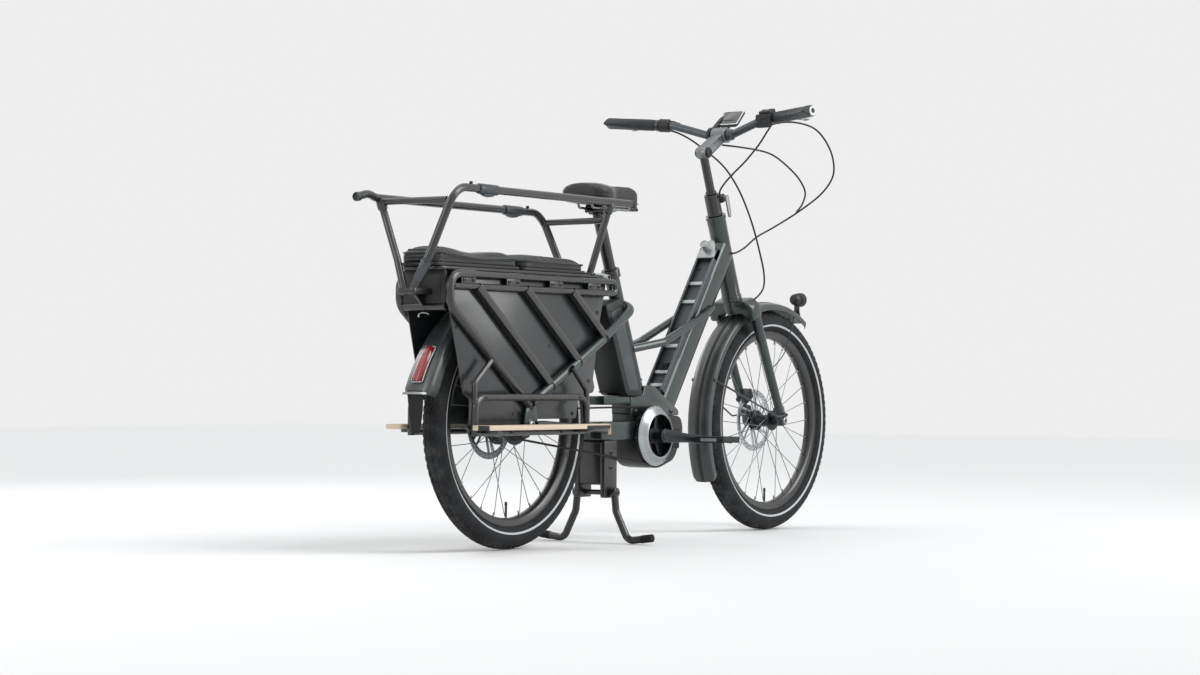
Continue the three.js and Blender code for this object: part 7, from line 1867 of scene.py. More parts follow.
form.slab(rectangle(-23.6, -18.6, 23.6, 18.6, 5, 5), facing, 0.2, 14.4, 1.8)
form.slab(rectangle(-19, -12, 19, 14.5, 3, 4), facing, 13.8, 15.2, 0.5)
for u in (-19.5, 19.5):
    form.bolt(facing(u, -15.6, 14.2), (-1, 0, 0), 1.7, 0.8)
form.done("stem", M["plastic"], "brake_body_right", "black_plastic", sharp=38)
form = Form("switch_keys")
for u, v in ((-9.5, 7.5), (0, 7.5), (9.5, 7.5), (-9.5, -3.5), (9.5, -3.5)):
    form.cap([(0.01, 2.2), (2.6, 2.0), (3.4, 1.2), (3.4, -0.5)], facing(u, v, 14.9), (-1, 0, 0), 24)
form.done("stem", M["smooth"], "brake_body_right", "black_plastic")
form = Form("switch_cap")
form.cap([(0.01, 4.2), (4.2, 4.0), (5.6, 3.2), (6.0, 2), (6.0, -2)], pod + STEER_UP * 10.8, STEER_UP, 36)
form.done("button", M["pale"], "switch_button", "pale_metal")
print("steering made")

# %% [markdown]
# ## Seat post and saddle
#
# The post slides in the seat tube under a ring with a lever. The saddle is a padded shell, so
# its shape comes from a rule for half width and height along its length. Cloth under pressure
# then gives it the fullness that a rule alone lacks, held to a few millimetres.

# %% Seat post, clamp and lever
form = Form("seat_post_tube")
head = seat(640)
form.bar(seat(290), head, 15.8, 44)
for low, high in ((-28, -20), (21, 28)):
    form.plate(rectangle(head.x - 22, 879, head.x + 22, 889.4, 4), low, high, 1.6)
form.plate(outline([(head.x - 22, 879), (head.x + 22, 879), (head.x + 20, 889), (head.x - 20, 889)], 4),
           -28, 28, 2)
form.plate(outline([(head.x - 21, 890.6), (head.x + 21, 890.6), (head.x + 17, 901), (head.x - 17, 901)], 4),
           -28, 28, 2)
form.cap([(0.01, -26), (8.6, -26), (9.4, -25), (9.4, 25), (8.6, 26), (0.01, 26)], (head.x, 0, 884), SIDE,
         36)
for side in (-1, 1):
    form.bolt((head.x, side * 14, 901), (0, 0, 1), 4.2, 3)
form.done("seat", M["black"], "seat_post", "black_paint", sharp=38)

form = Form("seat_clamp_ring")
form.turned([(20.4, 0.4), (24.2, 0), (25, 0.8), (25, 21), (24.2, 22.1), (16.2, 22.1), (16.2, 15.2),
             (20.4, 14.6)], seat(455.7), SEAT_UP, 56)
form.turned([(16.1, 0), (17.6, 0.4), (17.8, 4), (16.1, 5)], seat(478), SEAT_UP, 48)
axis_at = seat(466.75, -32.5)
form.bar(axis_at + SIDE * -10, axis_at + SIDE * 10, 7.8, 32, edge=1.2)
form.slab(outline([(-34, 461), (-18, 458), (-18, 476), (-34, 473)], 3, 4), lambda u, v, w: seat(v, u, w),
          -7, 7, 1)
form.bolt(axis_at + SIDE * 10, SIDE, 5.4, 3)
form.done("frame", M["black"], "seat_clamp", "black_paint", sharp=38)
form = Form("seat_lever_blade")
x, z = axis_at.x, axis_at.z
form.bar((x, -16.3, z), (x, -10.3, z), 7, 32, edge=0.9)
form.plate(outline([(x + 5, z - 6.5), (x + 5, z + 6.5), (x - 30, z + 10.5), (x - 52, z + 10),
                    (x - 52, z + 1.6), (x - 30, z + 0.5)], 4, 5), -16.3, -10.5, 1.6)
form.done("seat_lever", M["pale"], "seat_clamp_lever", "dark_metal", sharp=38)

# %% The saddle's shape
def saddle_point(u, v, w):
    """The cushion's surface, for u along, v across and w up, each from -1 to 1."""
    along = (u + 1) / 2
    widen = 1 / (1 + math.exp((along - 0.42) * 11))
    tail = math.sqrt(max(0.0, 1 - (max(0.0, 0.16 - along) / 0.16) ** 2 * 0.62))
    nose = math.sqrt(max(0.0, 1 - (max(0.0, along - 0.9) / 0.1) ** 2 * 0.7))
    half_now = (20 + 62 * widen) * tail * nose
    under = 1 - 0.16 * ((1 - w) / 2) ** 2 - 0.12 * ((1 + w) / 2) ** 4
    crown = 46 * 0.22 * (1 - v * v)
    swoop = 6 * math.sin(math.pi * min(1, along * 1.1)) ** 2 - 3 * along + 13 * (max(0.0,
            along - 0.84) / 0.16) ** 2
    groove = 3.2 * math.exp(-((v * half_now) / 9) ** 2) * math.sin(math.pi * min(1,
            max(0, along - 0.08) / 0.8)) ** 0.7 if w > 0 else 0
    top_z = 957 - 46 * 0.22 - swoop * 0.9
    low_z = 957 - 46 - 32 * 0.55 * along
    share = (w + 1) / 2
    z_now = low_z + (top_z - low_z) * share + crown * share - groove * share
    return (302 + 268 * along, v * half_now * under, z_now)

# %% Cushions from a rule
def cushion_form(name, point_at, long_count, wide_count, high_count):
    """A closed box skin of quads whose corners are placed by a rule."""
    form = Form(name)
    index, verts, faces = {}, [], []

    def corner(i, j, k):
        key = (i, j, k)
        if key not in index:
            index[key] = len(verts)
            verts.append(point_at(2 * i / long_count - 1, 2 * j / wide_count - 1, 2 * k / high_count - 1))
        return index[key]

    for i in range(long_count):
        for j in range(wide_count):
            for k in (0, high_count):
                faces.append([corner(i, j, k), corner(i + 1, j, k), corner(i + 1, j + 1, k),
                              corner(i, j + 1, k)])
        for k in range(high_count):
            for j in (0, wide_count):
                faces.append([corner(i, j, k), corner(i + 1, j, k), corner(i + 1, j, k + 1),
                              corner(i, j, k + 1)])
    for j in range(wide_count):
        for k in range(high_count):
            for i in (0, long_count):
                faces.append([corner(i, j, k), corner(i, j + 1, k), corner(i, j + 1, k + 1),
                              corner(i, j, k + 1)])
    return form.add(verts, faces)


def smooth_subdivided(made):
    sub = made.modifiers.new("round", "SUBSURF")
    sub.levels = sub.render_levels = 1
    made.data.polygons.foreach_set("use_smooth", [True] * len(made.data.polygons))
    bpy.context.view_layer.update()
    shown = made.evaluated_get(bpy.context.evaluated_depsgraph_get())
    mesh = bpy.data.meshes.new_from_object(shown)
    made.modifiers.clear()
    made.data = mesh
    return made

# %% Padding with Cloth
def swell(made, pressure=4.0, voxel=0.005, cap=0.007, shrink=0.004):
    """Pads out a closed form with Cloth under pressure, held to a small movement, then rounds it."""
    mesh = made.data
    work = bmesh.new()
    work.from_mesh(mesh)
    work.normal_update()
    for vert in work.verts:
        vert.co -= vert.normal * shrink
    work.to_mesh(mesh)
    work.free()
    remesh = made.modifiers.new("even", "REMESH")
    remesh.mode = "VOXEL"
    remesh.voxel_size = voxel
    bpy.context.view_layer.update()
    shown = made.evaluated_get(bpy.context.evaluated_depsgraph_get())
    even = bpy.data.meshes.new_from_object(shown)
    made.modifiers.clear()
    made.data = even
    before = [v.co.copy() for v in even.vertices]
    cloth = made.modifiers.new("cloth", "CLOTH")
    cloth.settings.use_pressure = True
    cloth.settings.uniform_pressure_force = pressure
    cloth.settings.quality = 5
    cloth.settings.mass = 0.3
    cloth.settings.tension_stiffness = 12
    cloth.settings.compression_stiffness = 12
    cloth.settings.bending_stiffness = 0.5
    cloth.settings.effector_weights.gravity = 0
    cloth.collision_settings.use_collision = False
    cloth.point_cache.frame_start, cloth.point_cache.frame_end = 1, 20
    scene = bpy.context.scene
    for step in range(1, 21):
        scene.frame_set(step)
    shown = made.evaluated_get(bpy.context.evaluated_depsgraph_get())
    puffed = bpy.data.meshes.new_from_object(shown)
    made.modifiers.clear()
    scene.frame_set(1)
    for vert, old in zip(puffed.vertices, before):
        move = vert.co - old
        if move.length > cap:
            move *= cap / move.length
        vert.co = old + move
    made.data = puffed
    return smooth_subdivided(made)

# %% Saddle cushion, seam and rails
form = cushion_form("saddle_cushion", saddle_point, 34, 18, 6)
made = form.done(None, M["saddle"], sharp=180)
swell(made, pressure=3.0, voxel=0.0048, cap=0.0045, shrink=0.003)
made.data.materials.clear()
made.data.materials.append(M["saddle"])
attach(made, "seat")
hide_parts("saddle")
form = Form("saddle_base")
under = []
for k in range(61):
    u = -0.97 + 1.94 * k / 60
    row = []
    for v in (-0.95, -0.9, -0.5, 0, 0.5, 0.9, 0.95):
        x, y, z = saddle_point(u, v, -1)
        row.append((x, y, z - 0.5 + (2.2 if abs(v) > 0.92 else -1.6)))
    row += [(x, y * 0.98, z + 3.5) for x, y, z in reversed(row)]
    under.append(row)
form.rings(under)
form.done("seat", M["plastic"], "saddle", "black_plastic", sharp=50)
form = Form("saddle_seam")
loops = []
for k in range(181):
    u = -0.94 + 1.86 * k / 180
    loops.append(Vector(saddle_point(u, 0.985, -0.35)) + Vector((0, 0.7, 0)))
back = [Vector((p.x, -p.y, p.z)) for p in reversed(loops)]
form.tube(loops, 1.1, 8, dome=1.0)
form.tube(back, 1.1, 8, dome=1.0)
form.done("seat", M["thread"], "saddle", "pad_fabric")
form = Form("saddle_rails")
for side in (-1, 1):
    form.tube(rounded([(329, side * 22, 913), (340, side * 22, 890), (500, side * 22, 890),
                       (533, side * 11, 905)], 9), 3.5, 16)
form.done("seat", M["steel"], "saddle", "dark_metal")

# %% [markdown]
# ## Rack, wheel guards and deck
#
# Each rack side is a bent tube, a flat ladder of tubes above it and three slanted plates. A
# smooth sheet hangs inside it and keeps feet out of the wheel. Its openings are cut with a
# Boolean, because the caliper needs a true hole there.

# %% Rack sides
def upper_stay_z(x):
    return 373 + x * (533 - 373) / 300


for side, name in ((1, "left"), (-1, "right")):
    y = side * 79
    form = Form("rack_tubes_" + name)
    form.tube(rounded([(-9, y, upper_stay_z(-9)), (-330, y, 613), (-330, y, 691), (-240, y, 691)], 45), 11,
              28)
    form.tube(rounded([(-285, y, 691), (365, y, 691), (365, y, 661), (-330, y, 661)], 15), 8, 24)
    form.weld((-245, y, 691), (1, 0, 0), 8.4, 2.0)
    form.weld((-319, y, 661), (1, 0, 0), 8, 2.0)
    slope, stay_slope = math.tan(math.radians(38.5)), (533 - 373) / 300
    for index in range(3):
        top_x = -224 + index * 197
        run = (661 - upper_stay_z(top_x)) / (slope + stay_slope)
        foot = Vector((top_x + run, y, 661 - run * slope))
        head_at = Vector((top_x, y, 661))
        heading = (head_at - foot).normalized()
        across = Vector((-heading.z, 0, heading.x))
        shape = [foot - across * 11, foot + across * 11, head_at + across * 11, head_at - across * 11]
        form.plate([(p.x, p.z) for p in shape], y - 9.5, y + 9.5, 4.0)
        form.weld(foot, (1, 0, 0.53), 12.4, 1.8)
    for share in (0.1, 0.36, 0.62, 0.86):
        middle = -330 + share * 695
        form.plate(rectangle(middle - 28, 662, middle + 28, 690, 3, 4), y - 3.4, y + 3.4, 0.8)
        for dx in (-18, 18):
            form.bolt((middle + dx, y + side * 3.4, 676), (0, side, 0), 5.0, 3)
    form.done("frame", M["rail"], "rack_side_" + name, "black_paint", sharp=40)
    form = Form("rack_hooks_" + name)
    for share in (0.1, 0.36, 0.62, 0.86):
        middle = -330 + share * 695
        for x in (middle - 8, middle + 8):
            bend = [(x, y - side * 9, 694), (x, y - side * 14, 680), (x, y - side * 9, 664)]
            form.tube(rounded(bend, 8), 2.6, 12)
    form.done("frame", M["steel"], "rack_side_" + name, "dark_metal")

# %% Wheel guards
GUARD_OUTLINE = [
    (-315.6, 685.6), (-315.6, 600), (-264.6, 398.3), (-238.8, 386.2), (-238.8, 318.2), (-32, 318.2),
    (-20, 332), (206.8, 332), (215.8, 386.2), (274.6, 398.3), (313.6, 600.2), (337.6, 685.6),
]
for side, name in ((1, "left"), (-1, "right")):
    form = Form("wheel_guard_" + name)
    points = outline(GUARD_OUTLINE, 9, 5)
    lo, hi = mirrored(side, 65.2, 68.6)
    form.plate(points, lo, hi, 1.2)
    made = form.done(None, M["sheet"], sharp=40)
    cutters = [((0, 318), 21)]
    if side > 0:
        cutters.append(((46, 387), 45.5))
    for (cx, cz), radius in cutters:
        tool = Form("tool").bar((cx, -90, cz), (cx, 90, cz), radius, 64).done(None, M["sheet"])
        cut_away = made.modifiers.new("cut", "BOOLEAN")
        cut_away.operation, cut_away.object, cut_away.solver = "DIFFERENCE", tool, "EXACT"
        bpy.context.view_layer.update()
        mesh = bpy.data.meshes.new_from_object(made.evaluated_get(bpy.context.evaluated_depsgraph_get()))
        made.modifiers.clear()
        made.data = mesh
        bpy.data.objects.remove(tool)
    made.data.shade_smooth()
    made.data.set_sharp_from_angle(angle=math.radians(34))
    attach(made, "frame")
    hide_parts("rack_side_" + name)
    form = Form("guard_fixings_" + name)
    for x, z in ((-292, 560), (-228, 426), (-60, 345), (190, 345), (262, 430), (300, 610), (-120, 560),
                 (90, 520)):
        form.cap([(0.01, 1.6), (4.4, 1.4), (5.6, 0.4), (5.6, -0.4)], (x, side * 68.6, z), (0, side, 0), 28)
    form.done("frame", M["smooth"], "rack_side_" + name, "black_plastic")

# %% Deck, rear panel and shelf
form = Form("deck_plate")
form.layer(rectangle(-352, -64, 348, 64, 26, 8), 699, 709, 2.2)
for index in range(4):
    x = -217.5 + (303 + 217.5) * index / 3
    form.bar((x, -70.5, 696), (x, 70.5, 696), 6, 24)
form.box((-20, -10, 668.3), (20, 10, 701), 1, 2)
form.done("frame", M["black"], "rack_deck", "black_paint", sharp=38)
form = Form("deck_front_grip")
for k in range(7):
    form.layer(rectangle(276 + k * 9, -52, 280 + k * 9, 52, 1.6, 3), 708.4, 709.3, 0.3)
form.done("frame", M["rubber"], "rack_deck", "rubber")
form = Form("rear_panel")
form.slab(rectangle(-67.5, 602, 67.5, 700, 9, 6), lambda u, v, w: (w, u, v), -333.6, -326.4, 1.6)
form.slab(rectangle(-52, 628, 52, 690, 12, 6), lambda u, v, w: (w, u, v), -335.2, -333.4, 0.8)
form.done("frame", M["plastic"], "rack_deck", "black_plastic", sharp=38)
form = Form("rear_crossbar")
form.bar((-330, -67.6, 609), (-330, 67.6, 609), 9, 28)
form.weld((-330, 66, 609), (0, 1, 0), 9, 1.8)
form.weld((-330, -66, 609), (0, 1, 0), 9, 1.8)
form.done("frame", M["rail"], "rack_deck", "black_paint")
form = Form("rear_shelf")
form.slab(rectangle(-406, -27, -330, 27, 9, 6), lambda u, v, w: (u, v, w), 638.4, 654, 2.4)
form.slab(outline([(-372, 640), (-334, 605), (-330, 605), (-330, 640)], 3, 4), lambda u, v, w: (u, w, v),
          -4, 4, 1)
for y in (-16, 16):
    form.bolt((-392, y, 638.4), (0, 0, -1), 6, 3)
form.done("frame", M["black"], "rack_deck", "black_paint", sharp=38)

# %% [markdown]
# ## Seat pads
#
# Two long pads lie on the deck, the rear one lower in its middle and with stitched channels.
# They start from a rule like the saddle's and are padded out with Cloth. Seams and creases are
# pressed in afterwards, so the pressure cannot smooth them away. The piping is a round cord
# along the rule.

# %% The rule of the seat pads
def pad_rule(rear_x, front_x):
    length = front_x - rear_x

    def rule(u, v, w):
        along = (u + 1) / 2
        ends = max(0.0, abs(u) * length / 2 - (length / 2 - 26)) / 26
        round_now = math.sqrt(max(0.0, 1 - ends * ends * 0.55))
        draw = 4 * (1 - u ** 4)
        half_now = 68 * round_now - draw * (1 if w < 1 else 0.4)
        share = (w + 1) / 2
        crown = 7 * (1 - abs(v) ** 3) * (1 - abs(u) ** 8)
        edge = 4.2 * abs(v) ** 6 * max(0.0, w) ** 4
        drop_now = 12 * (rear_x + length * along + 364) / (263 + 364)
        x_now = rear_x + length * along
        dip = 9.0 * math.exp(-((x_now + 190) / 75) ** 2)
        curl = 3.0 * math.exp(-((x_now + 350) / 30) ** 2)
        high = 42 - drop_now - dip + curl + crown - edge - ends * 4.2
        z_now = 709.3 + high * share
        return (rear_x + length / 2 + u * length / 2 * (1 - 0.03 * w * w),
                v * half_now * (1 - 0.03 * w * w), z_now)

    return rule

# %% The two pads
for name, node, rear_x, front_x, channels in (
    ("rear_pad", "seat_pad_rear", -364, -20, (0.05, 0.1, 0.15)),
    ("front_pad", "seat_pad_front", -16, 263, ()),
):
    rule = pad_rule(rear_x, front_x)
    made = cushion_form(name + "_cushion", rule, 40, 18, 6).done(None, M["pad"], sharp=180)
    swell(made, pressure=4.0, voxel=0.0052, cap=0.006, shrink=0.0042)
    length = front_x - rear_x
    for vert in made.data.vertices:
        x, y, z = vert.co.x * 1000 + MIDDLE_X, vert.co.y * 1000, vert.co.z * 1000
        along = (x - rear_x) / length
        rise_share = max(0.0, min(1.0, (z - 712) / 25))
        dent = sum(4.4 * math.exp(-(((along - c) * length) / 4.2) ** 2) for c in channels) * rise_share
        side_seam = 1.5 * math.exp(-((z - 727) / 2.4) ** 2)
        if abs(y) > 40:
            vert.co.y -= math.copysign(side_seam / 1000, y)
        elif abs(x - rear_x) < 14 or abs(x - front_x) < 14:
            vert.co.x += math.copysign(side_seam / 1000, (rear_x + front_x) / 2 - x)
        for crease in ((0.42, 0.7) if name == "rear_pad" else (0.35, 0.68)):
            fold = math.exp(-(((along - crease) * length) / 7) ** 2) * rise_share
            dent += fold * (0.5 + 0.5 * math.cos(y / 9))
        vert.co.z = max(vert.co.z - dent / 1000, 0.7093)
    made.data.materials.clear()
    made.data.materials.append(M["pad"])
    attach(made, "frame")
    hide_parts(node)
    form = Form(name + "_base")
    base = [(rear_x + 2, -64), (front_x - 2, -64), (front_x - 2, 64), (rear_x + 2, 64)]
    form.layer(outline(base, 20, 6), 709.4, 717, 1.4)
    form.done("frame", M["smooth"], node, "black_plastic")
    form = Form(name + "_piping")
    middle_x = (rear_x + front_x) / 2
    for level, whole in ((0.48, True), (0.86, False), (0.08, False), (-0.3, False)):
        if not whole and name == "front_pad":
            continue
        line = []
        turns = 240 if whole else 84
        for k in range(turns):
            a = math.tau * k / 240 if whole else math.pi + (k / (turns - 1) - 0.5) * math.radians(62)
            u, v = math.cos(a), math.sin(a)
            stretch = 0.998 / (abs(u) ** 7 + abs(v) ** 7) ** (1 / 7)
            x, y, z = rule(u * stretch * 0.968, v * stretch, level)
            line.append(Vector((x, y, z)) + Vector((x - middle_x, y * 2.2, 0)).normalized() * 0.6)
        skin = []
        for k, at in enumerate(line):
            after = line[(k + 1) % turns] if whole else line[min(k + 1, turns - 1)]
            before = line[k - 1] if whole else line[max(k - 1, 0)]
            out = (after - before).normalized().cross(Vector((0, 0, 1)))
            thick = 1.9 if whole else 1.8
            skin.append(circle(at, Vector((0, 0, 1)), out, thick, 10))
        form.rings(skin, caps=not whole, closed=whole)
    form.done("frame", M["thread"], node, "pad_fabric", sharp=180)

# %% [markdown]
# ## Passenger rails
#
# The two rails are mirrored back to front as well as side to side, and differ a little in height
# and in their bends. So each measure that differs is a pair, by the sign of the turn, and one
# function makes either rail.

# %% Passenger rails
RAIL_TOP = {1: 899, -1: 876}
RAIL_ELBOW = {1: (-394, 61), -1: (-389, 38)}
RAIL_WELD = {1: 338, -1: 349}
RAIL_END = {1: [(437.5, 101, 0)], -1: [(366, 103, 0), (396, 102, 9), (437.5, 101, -1)]}
RAIL_CROSS = {1: 851, -1: 867}
RAIL_NAME = {1: "right", -1: "left"}


def rail_place(turn, u, outward, z):
    return Vector((-30 + turn * u, -turn * outward, z))


def rail_leg_end(turn, u):
    if turn * u < 0:
        elbow_x, elbow_y = RAIL_ELBOW[turn]
        return [Vector((-392, -turn * 16, 652)), Vector((elbow_x, -turn * elbow_y, 722))]
    return [rail_place(turn, u, 52, 709.3)]


def rail_tubes(turn):
    """The bent tube, its welded second leg, the crossbar to the other rail, and the foot."""
    top = RAIL_TOP[turn]
    form = Form("rail_tubes_" + RAIL_NAME[turn])
    corners = rail_leg_end(turn, -345) + [
        rail_place(turn, -337, 114, top - 24), rail_place(turn, -300, 114, top),
    ] + [rail_place(turn, u, outward, top + rise) for u, outward, rise in RAIL_END[turn]]
    form.tube(rounded(corners, 60, math.radians(6)), 10.2, 28)
    legs = rail_leg_end(turn, 316)
    weld_top = rail_place(turn, RAIL_WELD[turn], 103, top - 2)
    form.tube(rounded([*legs, weld_top], 30), 9.3, 26)
    cross = RAIL_CROSS[turn]
    start = legs[-1].lerp(weld_top, (cross - legs[-1].z) / (weld_top.z - legs[-1].z))
    other = rail_place(-turn, -337, 114, cross)
    toward = (other - start).normalized()
    form.tube([start, other - toward * 13.5], 8.4, 24)
    form.weld(start + toward * 9.4, toward, 8.4, 1.8)
    form.weld(weld_top - Vector((0, 0, 11)), Vector((0.05, 0.3 * turn, 1)), 9.4, 1.8)
    rise = (weld_top - legs[-1]).normalized()
    form.turned([(9.2, -30), (11.6, -28), (12.6, -22), (12.8, -10), (11.8, -3), (9.2, 1)], weld_top, rise,
                36)
    foot = rail_leg_end(turn, 316 if turn > 0 else -345)[0]
    form.cap([(0.01, 5), (12, 5), (16.2, 3.8), (17, 2.8), (17, 0)], foot, (0, 0, 1), 44)
    for dx in (-12.5, 12.5):
        form.bolt(foot + Vector((dx, 0, 4.2)), (0, 0, 1), 3, 1.8)
    form.done("frame", M["rail"], "passenger_rail_" + RAIL_NAME[turn], "black_paint", sharp=50)


def rail_fittings(turn):
    """The end plug, the knob near the bend, and the pale wear plate below the tube."""
    top, node = RAIL_TOP[turn], "passenger_rail_" + RAIL_NAME[turn]
    form = Form("rail_knob_" + RAIL_NAME[turn])
    knob = rail_place(turn, -262, 112.5, top)
    form.cap([(0.01, 16.6), (2.6, 16.4), (4.2, 15.4), (4.6, 13.8), (4.4, 11.4), (3.4, 10.4), (3.4, 8)],
             knob, (0, 0, 1), 36)
    end_rise = RAIL_END[turn][-1][2]
    form.bar(rail_place(turn, 430, 101.1, top + end_rise), rail_place(turn, 441.6, 101, top + end_rise),
             10.8, 36, 10.6,
             edge=1.2)
    form.done("frame", M["smooth"], node, "black_plastic")
    form = Form("rail_metal_" + RAIL_NAME[turn])
    form.turned([(8.8, 0), (8.8, 3.2), (10.6, 3.4), (11.5, 2.2), (11.5, -3), (10.2, -3)],
                rail_place(turn, 440, 101, top + end_rise), Vector((turn, 0, 0)), 48)
    under = rail_place(turn, -196, 112.2, top)
    hook = [(-36, -6), (36, -6), (30, -12), (17, -17.5), (2, -19.5), (-14, -17.5), (-29, -12)]
    form.slab(outline(hook, 5, 5), lambda u, v, w: under + Vector((u * turn, w, v)), -6.2, 6.2, 2.4)
    form.turned([(10.3, -40), (12.6, -38.6), (13, -37), (13, 37), (12.6, 38.6), (10.3, 40)], under,
                rail_place(turn, 0, 101, top) - rail_place(turn, -196, 111, top), 48)
    if turn > 0:
        foot, elbow = rail_leg_end(turn, -345)
        form.bar(foot.lerp(elbow, 0.3), foot.lerp(elbow, 0.92), 12.8, 36, edge=2)
    form.done("frame", M["bar"], node, "pale_metal")


for turn in (1, -1):
    rail_tubes(turn)
    rail_fittings(turn)
print("two rails, the right one", RAIL_TOP[1] - RAIL_TOP[-1], "mm higher")

# %% Foot hoops and boards
for side, name in ((1, "left"), (-1, "right")):
    y = side * 101
    form = Form("hoop_tubes_" + name)
    form.tube(rounded([(-257, y, 292), (-257, y, 388), (207, y, 388), (207, y, 292)], 34), 9, 26)
    form.tube([(-257, y, 300), (207, y, 300)], 8.1, 24)
    tie_y = side * (79 + 11 + 0.3 + 7)
    form.tube(rounded([(150, tie_y, upper_stay_z(150) + 12), (212, tie_y, 405), (212, y, 354)], 21), 7, 20)
    form.tube(rounded([(-189, tie_y, 478), (-255, tie_y, 422), (-257, y, 354)], 21), 7, 20)
    for share in (0.12, 0.86):
        x = -285 + share * 513
        lo, hi = mirrored(side, 101, 153)
        form.layer(rectangle(x - 13, lo, x + 13, hi, 4, 4), 298.7, 306.7, 1.0)
    for x, z in ((-224, 388), (170, 388), (-120, 300), (90, 300)):
        form.bolt((x, y + side * 8.6, z), (0, side, 0), 4.6, 2.4)
    form.done("frame", M["rail"], "foot_hoop_" + name, "black_paint", sharp=45)

    form = Form("board_" + name)
    lo, hi = mirrored(side, 111, 165)
    form.layer(rectangle(-285, lo, 228, hi, 12, 8), 307.1, 319.7, 1.6)
    form.done("frame", M["ply"], "foot_board_" + name, "plywood", sharp=38)
    # A black strip along the outer side of each board's front end.
    form = Form("board_guards_" + name)
    form.box((124, min(side * 160, side * 165.8), 306.8), (226, max(side * 160, side * 165.8), 316.4), 0.6)
    # On the right board, a black strip over the outer part of the rear end face is painted shade.
    if side < 0:
        form.box((-285.8, -165.6, 306.8), (-280, -134, 319.2), 0.6)
    form.done("frame", M["smooth"], "foot_board_" + name, "rubber", sharp=38)
    # A pale ply strip at the outer front corner, hanging below the board, is a painted highlight of the
    # rounded front edge.
    form = Form("board_lip_" + name)
    form.box((225.4, min(side * 157, side * 165.4), 292), (228.2, max(side * 157, side * 165.4), 319.4),
             0.8)
    form.done("frame", M["ply"], "foot_board_" + name, "plywood", sharp=38)
    form = Form("board_screws_" + name)
    for share in (0.12, 0.86):
        for y_at in (125, 151):
            x = -285 + share * 513
            form.cap([(0.01, -0.6), (1.8, -0.6), (2.0, 0.25), (4.6, 0.3), (5.4, 0.0), (5.4, -1)],
                     (x, side * y_at, 319.7), (0, 0, 1), 28)
    form.done("frame", M["steel"], "foot_board_" + name, "dark_metal")

# %% [markdown]
# ## Rear fender, flap and tail light
#
# The rear fender grows away from the tyre towards its end, and carries a rubber flap, a metal
# edge and a moulded light. All of them are written by angle and radius round the rear axle.

# %% Rear fender and flap
def rear_radius(angle):
    share = max(0.0, (angle - 118) / (168 - 118))
    return 350 + 28 * share * share


def rear_skirt(angle):
    share = max(0.0, (angle - 118) / (168 - 118))
    return 18 * (1 + share)


form = Form("rear_fender_shell")
fender_shell(form, 0.0, 14, 168, 40, rear_skirt, rear_radius)
form.done("frame", M["fender"], "rear_fender", "black_plastic", sharp=40)
end = polar(168, rear_radius(168) - 3, 0, 0)
form = Form("rear_flap")
rows = []
for k in range(13):
    share = k / 12
    z = end.z + 8 - (96 + 8) * share
    x = end.x + 2 + 3.4 * share + 2.0 * math.sin(math.pi * share)
    half_now = 24 - 13.0 * share ** 1.8
    rows.append([(x + dx, y_at, z) for dx, y_at in ((-2, -half_now), (-2, half_now), (2, half_now),
                                                    (2, -half_now))])
form.rings(rows)
for y_at in (-16, 16):
    form.bolt((end.x + 0.4, y_at, end.z - 2), (-1, 0, 0.1), 4.4, 2.2)
form.done("frame", M["rubber"], "rear_fender", "rubber", bevel=0.8)
form = Form("rear_fender_edge")
edge_rows = []
for k in range(25):
    y_at = -37 + 74 * k / 24
    fall = 3.6 * (abs(y_at) / 37) ** 3
    edge_rows.append([polar(a, rear_radius(168) + r - fall, y_at, 0) for a,
                      r in ((167.4, 2.2), (168.3, 2.2), (168.3, -1), (167.4, -1))])
form.rings(edge_rows)
form.done("frame", M["steel"], "rear_fender", "pale_metal", bevel=0.3)
form = Form("rear_hook")
form.tube(catmull([Vector(p) for p in ((-348, 4, 583), (-346, 5, 590), (-339, 3, 594), (-330, -4, 594),
                                       (-324, -8, 591))], 8), 1.9, 12)
form.done("frame", M["pale"], "rack_deck", "pale_metal")

# %% Tail light
form = Form("tail_light_lens")
rows = []
for k in range(37):
    share = k / 36
    angle = 147.9 + (163.1 - 147.9) * share
    base = rear_radius(angle)
    pinch = math.sin(math.pi * min(1, max(0, share * 0.94 + 0.03))) ** 0.22
    half_now = 16.6 * pinch
    row = []
    for j in range(13):
        v = -1 + 2 * j / 12
        dome_now = (1 - abs(v) ** 3.2) * pinch
        row.append(polar(angle, base + 1.2 + 10.8 * dome_now ** 0.6, v * half_now, 0))
    row += [polar(angle, base + 0.4, half_now, 0), polar(angle, base + 0.4, -half_now, 0)]
    rows.append(row)
form.rings(rows)
form.done("frame", M["red"], "tail_light", "red_lens", sharp=60)
form = Form("tail_light_rim")
left_edge = [polar(147.6 + 15.8 * k / 30, rear_radius(147.6 + 15.8 * k / 30) + 2.2, 17.6,
                   0) for k in range(31)]
right_edge = [Vector((p.x, -p.y, p.z)) for p in reversed(left_edge)]
loop_points = left_edge + right_edge
skin = []
count = len(loop_points)
for k in range(count):
    tangent = (loop_points[(k + 1) % count] - loop_points[k - 1]).normalized()
    side_dir = Vector((0, 1, 0)) if abs(tangent.y) < 0.7 else Vector((1, 0, 0.3)).normalized()
    side_dir = (side_dir - tangent * side_dir.dot(tangent)).normalized()
    other = tangent.cross(side_dir)
    skin.append(circle(loop_points[k], side_dir, other, 1.7, 10))
form.rings(skin, caps=False, closed=True)
form.done("frame", M["pale"], "tail_light", "pale_metal", sharp=180)

# %% [markdown]
# ## Centre stand
#
# Two bent legs turn on a pin in a bracket behind the motor. Their feet run outwards to the
# ground, so one tube with three bends makes each. Two thin springs are coils swept along a line
# of points.

